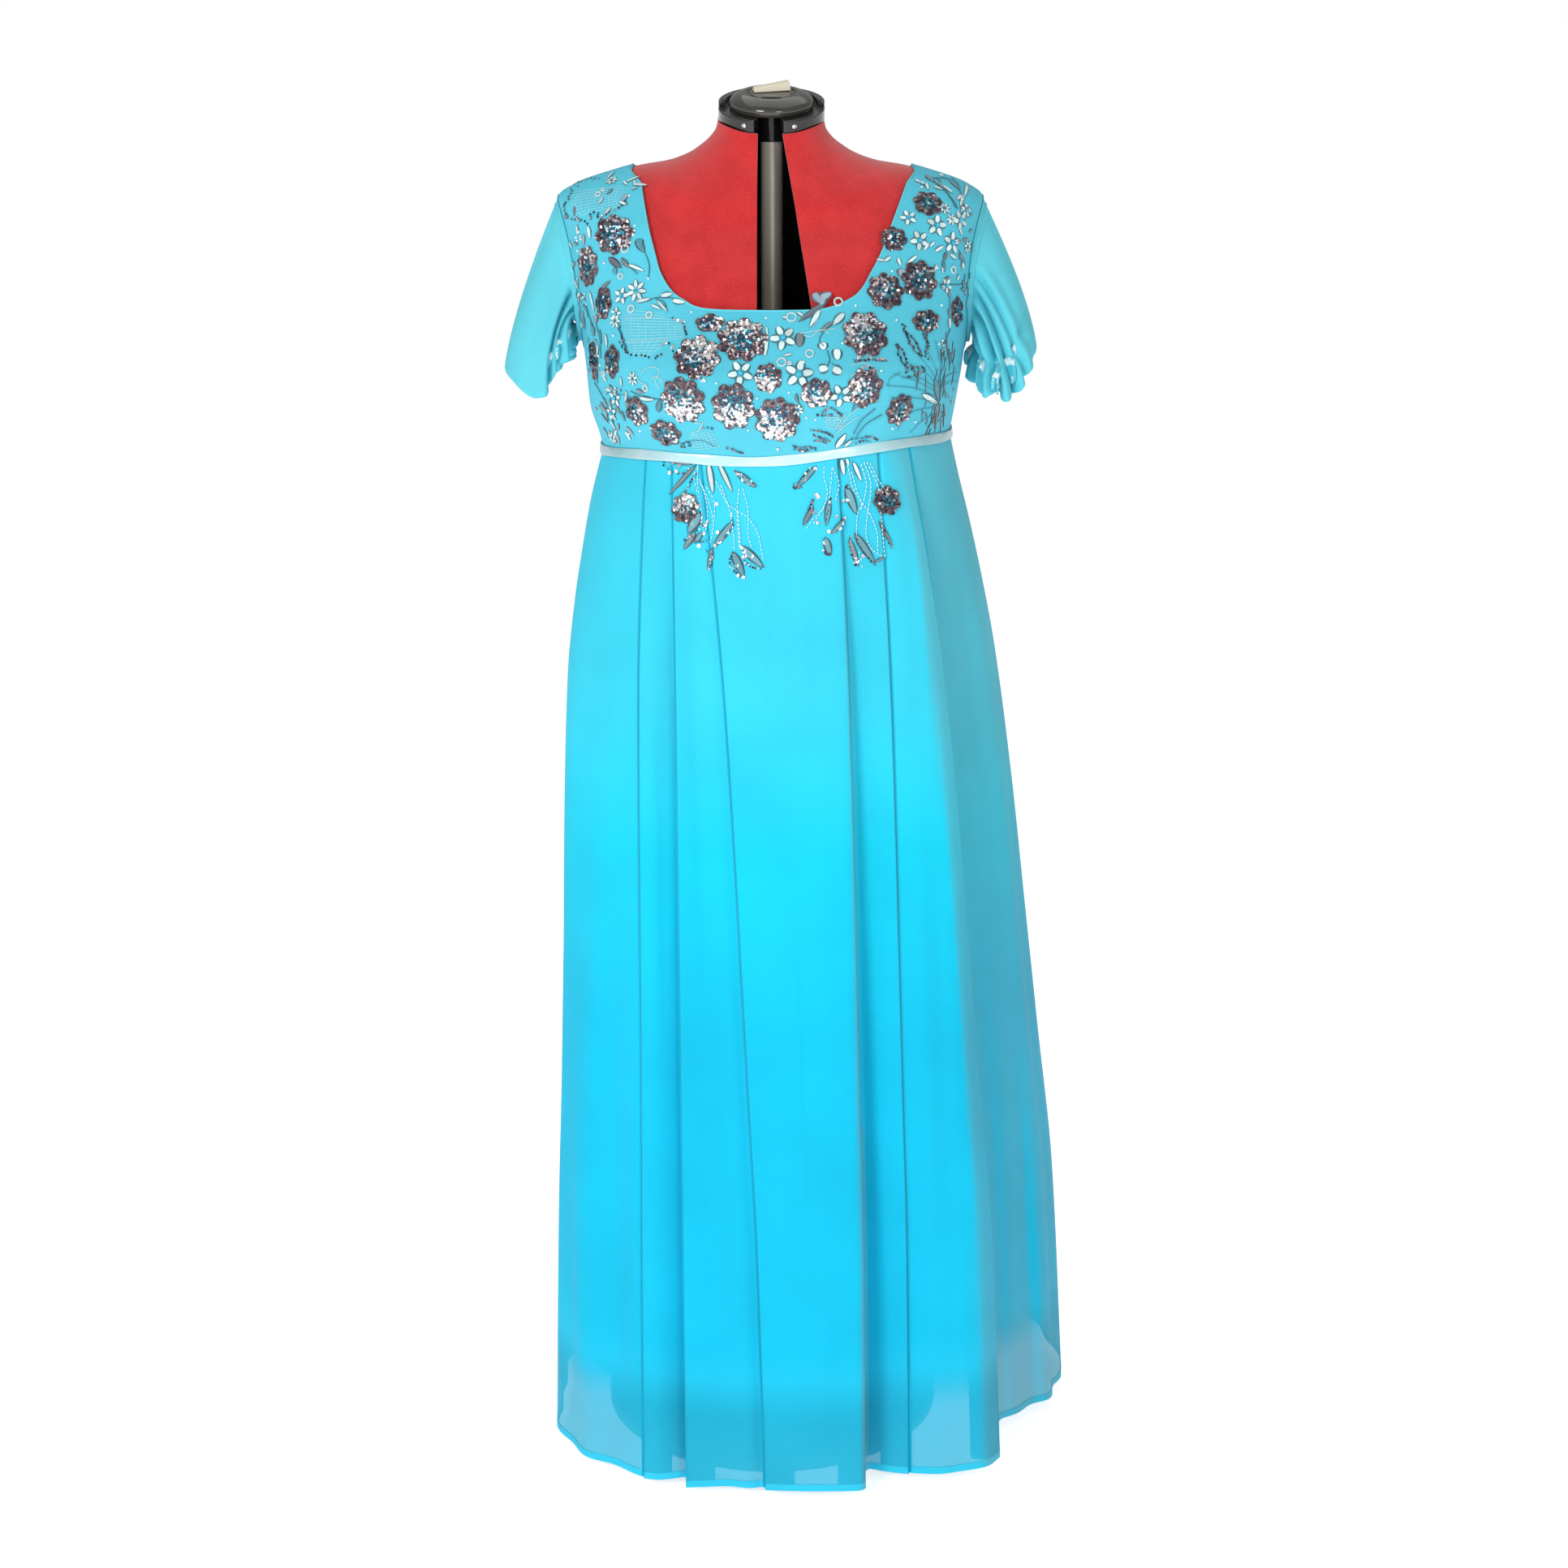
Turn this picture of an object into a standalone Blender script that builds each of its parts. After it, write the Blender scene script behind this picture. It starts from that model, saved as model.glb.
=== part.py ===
"""Regency gown on a limbless dress form, as closed solids.

Units are metres, +Z is up and -Y is the front. The origin is on the floor, on the pole's axis. The gown is
an empire-line bodice, two short puff sleeves, a knife-pleated skirt over a lining, a waist ribbon and
sewn-on lace flowers. Every cloth piece is a thin wall of its own, SEAM apart from its neighbours.
"""
import math

import bmesh
import bpy
import numpy as np
from mathutils import Vector
from mathutils.bvhtree import BVHTree

# ---- driving dimensions --------------------------------------------------------------------------
CLOTH = 0.0012          # thickness of every cloth wall
SEAM = 0.0003           # gap between sewn pieces
SIDE_SEAM = 0.00045     # gap between the skirt's front and back, whose ends meet at a slight angle
HEM_Z = 0.012           # outer hem above the floor
LINING_HEM_Z = 0.088    # lining hem above the floor
WAIST_Z = 1.129         # under-bust seam at the centre front
WAIST_TILT = 0.045      # rise of that seam per metre towards +X
WAIST_LIFT = 0.007      # rise of that seam between the front and the sides
WAIST_HALF = 0.185      # half the torso's width at that seam
RIBBON_WIDTH = 0.010
RIBBON_THICK = 0.001
RIBBON_LIFT = 0.0012    # ribbon clear of the cloth under it
RIBBON_SEARCH = 0.2     # reach of the search for the cloth under the ribbon
RIBBON_SLACK = 0.0015   # most that the ribbon dips from one column to the next
APPLIQUE_LIFT = 0.0007  # lace flowers clear of the cloth under them
APPLIQUE_THICK = 0.0014
SQUARE = 2.25           # how square the torso's plan is; 2 is an ellipse
BUST_CUP = 0.007        # fullness of each cup over the plain plan
CUP_ANGLE = 30.0        # degrees from the centre front to the middle of a cup
CUP_SPREAD = 19.0       # degrees
CUP_Z = 1.212
CUP_HEIGHT = 0.036

# Torso at the cloth's outer face, one row for each ring, from the hips to the neck. The inset is how far
# the dress form's own face lies inside it.
TORSO_COLUMNS = ("z_front", "z_side", "z_back", "left", "right", "front", "back", "inset")
TORSO = (
    ("hip_low",      0.745, 0.745, 0.745, 0.180, 0.180, 0.128, 0.150, 0.0050),
    ("hip",          0.850, 0.850, 0.850, 0.188, 0.188, 0.136, 0.156, 0.0050),
    ("tummy",        0.955, 0.955, 0.955, 0.180, 0.180, 0.142, 0.138, 0.0050),
    ("waist",        1.045, 1.045, 1.045, 0.169, 0.171, 0.138, 0.122, 0.0088),
    ("under_bust",   1.129, 1.130, 1.130, 0.181, 0.188, 0.155, 0.130, 0.0102),
    ("bust_low",     1.165, 1.168, 1.166, 0.192, 0.195, 0.170, 0.134, 0.0085),
    ("bust",         1.208, 1.213, 1.210, 0.196, 0.202, 0.177, 0.137, 0.0066),
    ("bust_high",    1.245, 1.253, 1.250, 0.201, 0.207, 0.164, 0.136, 0.0058),
    ("chest",        1.282, 1.297, 1.290, 0.209, 0.211, 0.144, 0.131, 0.0055),
    ("upper_chest",  1.314, 1.340, 1.330, 0.217, 0.217, 0.125, 0.124, 0.0056),
    ("shoulder_tip", 1.338, 1.380, 1.362, 0.222, 0.221, 0.109, 0.115, 0.0066),
    ("shoulder",     1.354, 1.395, 1.378, 0.204, 0.205, 0.098, 0.107, 0.0066),
    ("strap_outer",  1.367, 1.408, 1.393, 0.167, 0.170, 0.090, 0.099, 0.0046),
    ("strap_inner",  1.379, 1.4155, 1.406, 0.139, 0.142, 0.084, 0.092, 0.0026),
    ("neck_root",    1.393, 1.4205, 1.420, 0.108, 0.111, 0.077, 0.084, 0.0024),
    ("neck_base",    1.406, 1.427, 1.432, 0.088, 0.090, 0.070, 0.076, 0.0018),
    ("neck_low",     1.418, 1.435, 1.443, 0.075, 0.076, 0.064, 0.069, 0.0018),
    ("neck_mid",     1.430, 1.444, 1.454, 0.0645, 0.0645, 0.060, 0.063, 0.0018),
    ("neck",         1.4400, 1.4525, 1.4650, 0.0585, 0.0585, 0.0575, 0.0585, 0.0018),
    ("neck_top",     1.4475, 1.4598, 1.4721, 0.0568, 0.0568, 0.0560, 0.0565, 0.0018),
)

# Neckline edges, from the centre out and up: height, then distance from the middle on each side.
#   z      left    right
FRONT_NECKLINE = (
    (1.2790, 0.000, 0.000),
    (1.2805, 0.066, 0.052),
    (1.2890, 0.089, 0.079),
    (1.2985, 0.102, 0.092),
    (1.3150, 0.1125, 0.1025),
    (1.3330, 0.1180, 0.1125),
    (1.3560, 0.1245, 0.1220),
    (1.3790, 0.1295, 0.1315),
    (1.3990, 0.1335, 0.1400),
)
BACK_NECKLINE = (
    (1.3560, 0.000, 0.000),
    (1.3575, 0.055, 0.055),
    (1.3650, 0.084, 0.084),
    (1.3740, 0.101, 0.101),
    (1.3850, 0.116, 0.117),
    (1.3960, 0.127, 0.130),
    (1.4060, 0.134, 0.140),
)
NECKLINE_CORNER = 3                      # row of both tables where a strap starts
SHOULDER_SEAM_IN = {-1: 0.1405, 1: 0.1480}   # inner end of each shoulder seam from the middle
SHOULDER_SEAM_Z = 1.4145
ARMHOLE_Z = 1.304
ARMHOLE_HALF_HEIGHT = 0.079
ARMHOLE_FRONT = 0.046
ARMHOLE_BACK = 0.052
STRAP_CELLS = 6
STRAP_ROWS = 7
MID_ROWS = 2
LOW_ROWS = 3
FRONT_CELLS = 18                         # from the side seam to the centre front
BACK_CELLS = 12

# Skirt flare: share of the way down, then how far each side has opened from the waist to the hem.
#  down    left   right
FLARE = (
    (0.000, 0.00, 0.000),
    (0.049, 0.21, 0.085),
    (0.080, 0.31, 0.145),
    (0.144, 0.49, 0.255),
    (0.208, 0.61, 0.350),
    (0.341, 0.70, 0.497),
    (0.476, 0.75, 0.620),
    (0.614, 0.81, 0.745),
    (0.757, 0.90, 0.876),
    (1.000, 1.00, 1.000),
)
SKIRT_ROWS = (0.0, 0.03, 0.09, 0.20, 0.39, 0.61, 0.82, 1.0)
LAYER_GAP = 0.0008      # air between the layers pressed into a pleat
UNDERLAY_GAP = 0.0016   # air inside a pleat's hidden fold
UNDERLAY_TOP = 0.014    # depth of a pleat's hidden fold at the waist
UNDERLAY_HEM = 0.030
PLEAT_RETURN = 0.0055   # where the lower layer comes back to the surface beside a fold, at the waist

# Panels of the front skirt from the centre out on each side: where the fold that ends the panel lies at the
# waist (a side panel ends at the side seam), its cells, and its plan at the hem from its inner side out.
CENTRE_X = 0.045
#    panel    fold_x  cells  hem_plan (x, y)
RIGHT_PANELS = (
    ("centre", 0.067, 4, ((CENTRE_X, -0.2500), (0.080, -0.2495), (0.097, -0.2480), (0.103, -0.2435))),
    ("first",  0.108, 4, ((0.108, -0.2010), (0.130, -0.2085), (0.150, -0.2125))),
    ("second", 0.140, 5, ((0.157, -0.2110), (0.185, -0.2125), (0.209, -0.2065), (0.239, -0.1960),
                          (0.255, -0.1750))),
    ("side",    None, 9, ((0.263, -0.0880), (0.281, -0.0740), (0.304, -0.0550), (0.331, -0.0160),
                          (0.343, 0.0350))),
)
LEFT_PANELS = (
    ("centre", -0.070, 4, ((CENTRE_X, -0.2500), (0.020, -0.2490), (-0.006, -0.2475))),
    ("first",  -0.100, 4, ((-0.0115, -0.2405), (-0.025, -0.2430), (-0.050, -0.2390), (-0.0925, -0.2420))),
    ("second", -0.127, 4, ((-0.0950, -0.2190), (-0.122, -0.2250), (-0.140, -0.2225))),
    ("side",     None, 9, ((-0.1455, -0.2165), (-0.164, -0.2030), (-0.184, -0.1860), (-0.209, -0.1680),
                           (-0.230, -0.1440), (-0.239, -0.1220), (-0.243, -0.0840), (-0.246, -0.0300))),
)
BACK_HEM = ((0.343, 0.035), (0.336, 0.110), (0.293, 0.190), (0.190, 0.246), (0.050, 0.268),
            (-0.090, 0.256), (-0.190, 0.204), (-0.236, 0.110), (-0.246, -0.030))
SKIRT_BACK_CELLS = 38
SIDE_WAVES = 2.5        # soft folds across each side panel
SIDE_WAVE_DEPTH = 0.005
BACK_WAVES = 9.0        # soft folds across the back
BACK_WAVE_DEPTH = 0.008

# Lining: plan at its hem, anticlockwise from above, starting at the right; then how it opens down its length.
LINING_HEM = ((0.232, 0.000), (0.212, 0.090), (0.140, 0.165), (0.030, 0.195), (-0.090, 0.180),
              (-0.180, 0.115), (-0.222, 0.010), (-0.205, -0.085), (-0.135, -0.165), (-0.020, -0.192),
              (0.100, -0.180), (0.190, -0.105))
LINING_FLARE = ((0.0, 0.0), (0.10, 0.26), (0.25, 0.52), (0.5, 0.74), (0.75, 0.88), (1.0, 1.0))
LINING_ROWS = (0.0, 0.10, 0.28, 0.6, 1.0)
LINING_INSET = 0.0068   # lining inside the skirt's outer face at the waist
LINING_CELLS = 40

# Sleeves: each row is for one side. The cuff is where the puff is lowest; its heights are at the outer tip,
# the front, the inner side and the back.
#        tip_x  inner_x z_tip  z_front z_inner z_back waves ruffle
SLEEVES = {
    -1: (0.2815, 0.2090, 1.2080, 1.1850, 1.2060, 1.1880, 13, 0.0030),
    1: (0.2805, 0.2100, 1.2260, 1.1830, 1.1960, 1.1860, 15, 0.0045),
}
SLEEVE_DEPTH_FRONT = 0.068
SLEEVE_DEPTH_BACK = 0.074
SLEEVE_ROWS = (0.0, 0.14, 0.38, 0.66, 0.92)   # shares of the way from the armhole to the cuff
PUFF_OUT = 0.020        # how far the sleeve runs on from the shoulder's slope before it falls
PUFF_ABOVE = 0.060      # and how high above the cuff, and how far in from it, the puff turns down
PUFF_IN = 0.010
CUFF_ROUND = ((0.0015, 0.0018), (0.0060, 0.0030))   # the cuff's round: how far in and down its two rings lie
SLEEVE_SPLITS = 3       # sleeve columns for each step of the armhole's edge
ARMHOLE_SEAM = 0.0008   # from the armhole's edge to the sleeve, which sets off at an angle
CUFF_TURN_IN = 0.011    # how far the gathered cuff turns in under the puff
CUFF_TURN_UP = 0.009
SLEEVE_CLEAR = 0.0040   # sleeve clear of the bodice
LONGEST_MITRE = 2.0     # most that a wall's half thickness grows at a sharp turn

# Dress form and stand
FORM_WALL = 0.004
FORM_RINGS = (0, 1, 2, 3, 4, 5, 6, 7, 8, 9, 9.6, 10.2, 11, 12.5, 14, 15, 16, 17, 19)
FORM_CELLS = 13
GAP_LEFT = 0.0140       # edge of the left shell from the middle, at the front
GAP_RIGHT_TOP = 0.0128  # edge of the right shell at the neck
GAP_RIGHT_LOW = 0.0450  # and below the neckline
GAP_RIGHT_SPAN = (1.446, 1.265)
GAP_BACK = 0.006
NECK_TILT = math.radians(13.3)
NECK_Z = 1.4601         # underside of the neck plate on the pole's axis
# Sectors of the neck plate, between two bearings in degrees from the centre front.
#                     start end cells rim_height
NECK_PLATES = {
    "neck_plate_left":  (-92, -19, 9, 0.0),
    "neck_plate_right": (13, 92, 9, 0.0),
    "neck_plate_back":  (94, 266, 16, 0.0065),
}
PLATE_HEIGHT = 0.0128
PLATE_CHAMFER = 0.0012
PLATE_RADIUS = 0.0550
PLATE_INNER = 0.0400
RIM_INNER = 0.0475      # inner radius of the rim that stands up behind the knob
POLE_X = 0.0006
POLE_RADIUS = 0.0115
COLLAR_RADIUS = 0.0140
COLLAR_BOTTOM = 1.4375
KNOB_RADIUS = 0.0438
KNOB_HEIGHT = 0.0165
KNOB_FOOT = 0.0055      # height of the knob's foot, where it is widest
KNOB_TAPER = 0.0018     # how much narrower it is underneath
KNOB_DISH = 0.0010      # hollow of its top
KNOB_LOW = PLATE_HEIGHT + SEAM
KNOB_SIDES = 28
GRIP_HALF_X = 0.0195
GRIP_HALF_Y = 0.0065
GRIP_HEIGHT = 0.0065
GRIP_SLOPE = 0.0025     # rise of its top from the middle to its end
GRIP_TURN = math.radians(12)
GRIP_BACK = 0.004       # its middle behind the knob's
COLLAR_TOP = 1.4655
ROUND_SIDES = 20
BASE_SIDES = 36
BASE_RADIUS = 0.190
BASE_HEIGHT = 0.020
BASE_CHAMFER = 0.003
BASE_HUB_RADIUS = 0.030
BASE_HUB_HEIGHT = 0.030

# Lace flowers on the bodice: bearing round the torso from the centre front (degrees, + to +X), height of the
# middle, half its width, half its height and the turn of its petals (degrees).
#   bearing  z     half_w  half_h  turn
FLOWERS = (
    (-61.8, 1.3500, 0.0215, 0.0205, 10),
    (-69.0, 1.3160, 0.0160, 0.0200, 35),
    (-61.2, 1.2810, 0.0115, 0.0165, 0),
    (-22.2, 1.2670, 0.0145, 0.0095, 20),
    (-10.0, 1.2520, 0.0250, 0.0225, 5),
    (-24.6, 1.2350, 0.0235, 0.0225, 40),
    (-28.6, 1.1925, 0.0235, 0.0245, 15),
    (-12.2, 1.1875, 0.0215, 0.0245, 30),
    (2.2, 1.1735, 0.0220, 0.0235, 0),
    (-0.8, 1.2160, 0.0135, 0.0145, 25),
    (14.8, 1.2010, 0.0155, 0.0150, 45),
    (30.5, 1.2050, 0.0185, 0.0210, 10),
    (43.5, 1.1790, 0.0165, 0.0165, 50),
    (33.0, 1.2560, 0.0235, 0.0235, 20),
    (43.6, 1.2960, 0.0190, 0.0185, 0),
    (55.6, 1.3050, 0.0205, 0.0200, 30),
    (54.8, 1.2650, 0.0180, 0.0110, 15),
    (67.3, 1.3790, 0.0150, 0.0145, 5),
    (52.0, 1.3460, 0.0135, 0.0125, 40),
    (-46.0, 1.1765, 0.0155, 0.0155, 20),
    (-36.5, 1.1560, 0.0175, 0.0145, 0),
    (-55.5, 1.2240, 0.0125, 0.0165, 35),
    (-67.5, 1.2200, 0.0125, 0.0200, 10),
    (69.5, 1.2700, 0.0125, 0.0150, 25),
)
FLOWER_PETALS = 6
PETAL_DIP = 0.80        # radius between two petals as a share of the radius at their tips

# Sprays: root below the ribbon from x_from to x_to, then the fingers' tips (x, z) and their half widths.
SPRAY_ROOT = 0.006      # height of the strip that joins the fingers
SPRAY_STEPS = 5
SPRAY_BRIDGE = 0.010
SPRAY_LIFT = 0.0012
SPRAYS = {
    "spray_left": (-0.088, -0.046, ((-0.116, 1.094, 0.0050), (-0.107, 1.058, 0.0080), (-0.081, 1.028, 0.0080),
                                    (-0.048, 1.017, 0.0080), (-0.019, 1.082, 0.0060))),
    "spray_right": (0.042, 0.084, ((0.019, 1.088, 0.0052), (0.033, 1.042, 0.0070), (0.060, 1.047, 0.0065),
                                   (0.087, 1.026, 0.0080), (0.114, 1.064, 0.0080))),
}

# ---- scene and materials -------------------------------------------------------------------------
for old in list(bpy.data.objects):
    bpy.data.objects.remove(old, do_unlink=True)


def finish(name, colour, roughness, metallic=0.0):
    """A plain Principled material."""
    material = bpy.data.materials.new(name)
    material.use_nodes = True
    shader = material.node_tree.nodes["Principled BSDF"]
    shader.inputs["Base Color"].default_value = (*colour, 1.0)
    shader.inputs["Roughness"].default_value = roughness
    shader.inputs["Metallic"].default_value = metallic
    return material


CHIFFON = finish("chiffon", (0.03, 0.66, 0.84), 0.75)
SATIN = finish("satin", (0.55, 0.85, 0.90), 0.30)
LINING = finish("lining", (0.02, 0.55, 0.74), 0.60)
LACE = finish("lace", (0.24, 0.27, 0.33), 0.45, 0.3)
JERSEY = finish("jersey", (0.66, 0.03, 0.04), 0.90)
BLACK_PLASTIC = finish("black_plastic", (0.02, 0.02, 0.02), 0.25)
CREAM_PLASTIC = finish("cream_plastic", (0.72, 0.68, 0.55), 0.45)
GREY_METAL = finish("grey_metal", (0.33, 0.31, 0.30), 0.35, 0.8)
BASE_METAL = finish("base_metal", (0.05, 0.05, 0.05), 0.45, 0.5)


# ---- mesh making ---------------------------------------------------------------------------------
def add_solid(name, points, faces, material, smooth=True):
    """One object from points and faces, cut into triangles."""
    mesh = bpy.data.meshes.new(name)
    work = bmesh.new()
    corners = [work.verts.new(point) for point in points]
    for face in faces:
        work.faces.new([corners[index] for index in face])
    bmesh.ops.triangulate(work, faces=work.faces[:], quad_method="FIXED")
    work.to_mesh(mesh)
    work.free()
    mesh.materials.append(material)
    if smooth:
        mesh.shade_smooth()
        mesh.set_sharp_from_angle(angle=math.radians(40))
    solid = bpy.data.objects.new(name, mesh)
    bpy.context.collection.objects.link(solid)
    return solid


def add_wall(name, outer, inner, faces, material):
    """A closed wall: the outer faces, the same faces reversed inside, and a rim along every open edge."""
    count = len(outer)
    edges = {(face[i], face[(i + 1) % len(face)]) for face in faces for i in range(len(face))}
    rims = [(b, a, a + count, b + count) for a, b in sorted(edges) if (b, a) not in edges]
    insides = [tuple(index + count for index in (face[0], *face[:0:-1])) for face in faces]
    points = [tuple(point) for point in outer] + [tuple(point) for point in inner]
    return add_solid(name, points, list(faces) + insides + rims, material)


def grid_faces(rows, columns, closed=False, start=0):
    """Faces of a grid stored row by row, facing the viewer when columns run right and rows run up."""
    last = columns if closed else columns - 1
    return [(start + r * columns + c, start + r * columns + (c + 1) % columns,
             start + (r + 1) * columns + (c + 1) % columns, start + (r + 1) * columns + c)
            for r in range(rows - 1) for c in range(last)]


def smooth_table(table, column, at):
    """A column of a table against its first column, with smooth slopes that never overshoot a row."""
    keys = np.array([row[0] for row in table], float)
    values = np.array([row[column] for row in table], float)
    steps = np.diff(values) / np.diff(keys)
    slopes = np.zeros(len(keys))
    slopes[0], slopes[-1] = steps[0], steps[-1]
    flat = steps[:-1] * steps[1:] <= 0
    slopes[1:-1] = np.where(flat, 0.0, 2 * steps[:-1] * steps[1:] / (steps[:-1] + steps[1:] + 1e-12))
    at = np.clip(np.asarray(at, float), keys[0], keys[-1])
    cell = np.clip(np.searchsorted(keys, at, side="right") - 1, 0, len(keys) - 2)
    span = keys[cell + 1] - keys[cell]
    t = (at - keys[cell]) / span
    return ((1 + 2 * t) * (1 - t) ** 2 * values[cell] + t * (1 - t) ** 2 * span * slopes[cell]
            + t * t * (3 - 2 * t) * values[cell + 1] + t * t * (t - 1) * span * slopes[cell + 1])


def smooth_curve(points, count, closed=False):
    """Evenly spaced points on a Catmull-Rom curve through a few plan or space points."""
    points = np.array(points, float)
    if closed:
        padded = np.vstack([points[-1], points, points[0], points[1]])
    else:
        padded = np.vstack([2 * points[0] - points[1], points, 2 * points[-1] - points[-2]])
    t = np.linspace(0, 1, 17)[:-1, None]
    dense = []
    for a, b, c, d in zip(padded, padded[1:], padded[2:], padded[3:]):
        dense.append(0.5 * (2 * b + (c - a) * t + (2 * a - 5 * b + 4 * c - d) * t ** 2
                            + (3 * b - a - 3 * c + d) * t ** 3))
    dense = np.vstack(dense + [padded[-2][None]])
    return spread(dense, count + 1 if closed else count)[:count]


def spread(line, count):
    """Points at even distances along a line of points."""
    line = np.asarray(line, float)
    run = np.concatenate([[0], np.cumsum(np.linalg.norm(np.diff(line, axis=0), axis=1))])
    at = np.linspace(0, run[-1], count)
    return np.stack([np.interp(at, run, line[:, axis]) for axis in range(line.shape[1])], axis=1)


# ---- torso ---------------------------------------------------------------------------------------
TORSO_ROWS = tuple((ring, *row[1:]) for ring, row in enumerate(TORSO))


def torso_column(name, ring):
    """One column of the torso's table at ring numbers between its rows."""
    return smooth_table(TORSO_ROWS, TORSO_COLUMNS.index(name) + 1, ring)


def torso(angle, ring):
    """Points of the torso at the cloth's outer face, for angles in radians and ring numbers."""
    z_front, z_side, z_back, left, right, front, back = (
        torso_column(name, ring) for name in TORSO_COLUMNS[:-1])
    across, along = np.sin(angle), np.cos(angle)
    half = np.where(across < 0, left, right)
    depth = np.where(along > 0, front, back)
    power = 2 / SQUARE
    x = half * np.sign(across) * np.abs(across) ** power
    y = -depth * np.sign(along) * np.abs(along) ** power
    z_middle = np.where(along > 0, z_front, z_back)
    z = z_middle + (z_side - z_middle) * (x / half) ** 2
    bearing = np.degrees(np.arctan2(x, -y))
    cups = np.exp(-((np.abs(bearing) - CUP_ANGLE) / CUP_SPREAD) ** 2 - ((z - CUP_Z) / CUP_HEIGHT) ** 2)
    return np.stack([x, y - BUST_CUP * cups, z], axis=-1)


def torso_inside(angle, ring, inset):
    """The torso moved in along its own normals."""
    step = 0.004
    around = torso(angle + step, ring) - torso(angle - step, ring)
    up = torso(angle, np.minimum(ring + step, len(TORSO) - 1)) - torso(angle, np.maximum(ring - step, 0))
    normal = np.cross(around, up)
    normal /= np.linalg.norm(normal, axis=-1, keepdims=True)
    return torso(angle, ring) - normal * np.asarray(inset)[..., None]


def surface_tree(points, rows, columns, closed):
    return BVHTree.FromPolygons([tuple(point) for point in points], grid_faces(rows, columns, closed))


TREE_ANGLES, TREE_RINGS = np.meshgrid(np.linspace(-math.pi, math.pi, 361)[:-1],
                                      np.linspace(3, len(TORSO) - 1, 161))
TORSO_TREE = surface_tree(torso(TREE_ANGLES, TREE_RINGS).reshape(-1, 3), *TREE_ANGLES.shape, True)


def touch(origin, direction):
    """Where a line from outside meets the torso."""
    hit = TORSO_TREE.ray_cast(Vector(origin), Vector(direction))
    return np.array(hit[0])


def from_front(x, z):
    return touch((x, -0.5, z), (0, 1, 0))


def from_back(x, z):
    return touch((x, 0.5, z), (0, -1, 0))


def from_side(side, y, z):
    return touch((0.5 * side, y, z), (-side, 0, 0))


def from_round(bearing, z):
    """The torso at a height, seen along a bearing in radians from the centre front."""
    across, along = math.sin(bearing), -math.cos(bearing)
    return touch((0.5 * across, 0.5 * along, z), (-across, -along, 0))


def settle(points):
    """The nearest points of the torso, and its normals there."""
    hits = [TORSO_TREE.find_nearest(Vector(point)) for point in points]
    return np.array([hit[0] for hit in hits]), np.array([hit[1] for hit in hits])


def waist_height(bearing):
    """Height of the under-bust seam at a bearing in radians."""
    return WAIST_Z + WAIST_TILT * WAIST_HALF * np.sin(bearing) + WAIST_LIFT * np.sin(2 * bearing) ** 2


SIDE_BEARING = math.pi / 2 - SEAM / 2 / WAIST_HALF      # a panel's end at the side seams


# ---- bodice --------------------------------------------------------------------------------------
def armhole_point(side, facing, share):
    """A point of the armhole, from the underarm, share 0, to the shoulder tip, 1. Facing -1 is the front."""
    turn = math.pi * share
    depth = ARMHOLE_FRONT if facing < 0 else ARMHOLE_BACK
    y = facing * max(depth * math.sin(turn), SEAM)
    return from_side(side, y, ARMHOLE_Z - ARMHOLE_HALF_HEIGHT * math.cos(turn))


def bodice_half(side, facing):
    """Half a front or back: its body rows from the side seam to the middle, and its strap rows."""
    cells = FRONT_CELLS if facing < 0 else BACK_CELLS
    neckline = FRONT_NECKLINE if facing < 0 else BACK_NECKLINE
    cast = from_front if facing < 0 else from_back
    column = 1 if side < 0 else 2
    middle_gap = 0.0 if facing < 0 else SEAM / 2
    quarter = np.linspace(SIDE_BEARING, 0, cells + 1)
    bearings = side * quarter if facing < 0 else side * (math.pi - quarter)

    rows = []
    top = ARMHOLE_Z - ARMHOLE_HALF_HEIGHT
    for r in range(LOW_ROWS + 1):
        share = r / LOW_ROWS
        rows.append(np.array([from_round(b, (waist_height(b) + SEAM / 2) * (1 - share) + top * share)
                              for b in bearings]))
    edge = [cast(side * max(row[column], middle_gap), row[0]) for row in neckline]
    bottom = spread(np.array(edge[NECKLINE_CORNER::-1]), cells - STRAP_CELLS + 1)
    edge_shares = np.linspace(0, 1, MID_ROWS + 1 + STRAP_ROWS + 1)
    mid_top = armhole_point(side, facing, edge_shares[MID_ROWS + 1])
    run_in = np.linspace(mid_top, edge[NECKLINE_CORNER], STRAP_CELLS + 1)[:-1]
    top_row, _ = settle(np.vstack([run_in, bottom]))
    for r in range(1, MID_ROWS + 1):
        share = r / (MID_ROWS + 1)
        row = rows[LOW_ROWS] * (1 - share) + top_row * share
        pull = armhole_point(side, facing, edge_shares[r]) - row[0]
        fade = np.clip(1 - np.arange(cells + 1) / STRAP_CELLS, 0, 1)[:, None]
        rows.append(settle(row + pull * fade)[0])
    rows.append(top_row)
    seam_end = np.array([side * SHOULDER_SEAM_IN[side], facing * SEAM, SHOULDER_SEAM_Z])
    inner_edge = spread(np.array(edge[NECKLINE_CORNER:] + [settle([seam_end])[0][0]]), STRAP_ROWS + 1)
    straps = []
    for r in range(1, STRAP_ROWS + 1):
        outer_end = armhole_point(side, facing, edge_shares[MID_ROWS + 1 + r])
        line = np.linspace(outer_end, inner_edge[r], STRAP_CELLS + 1)
        straps.append(settle(line)[0])
    for row in rows:
        row[-1][0] = side * middle_gap
    return np.array(rows), np.array(straps)


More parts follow.
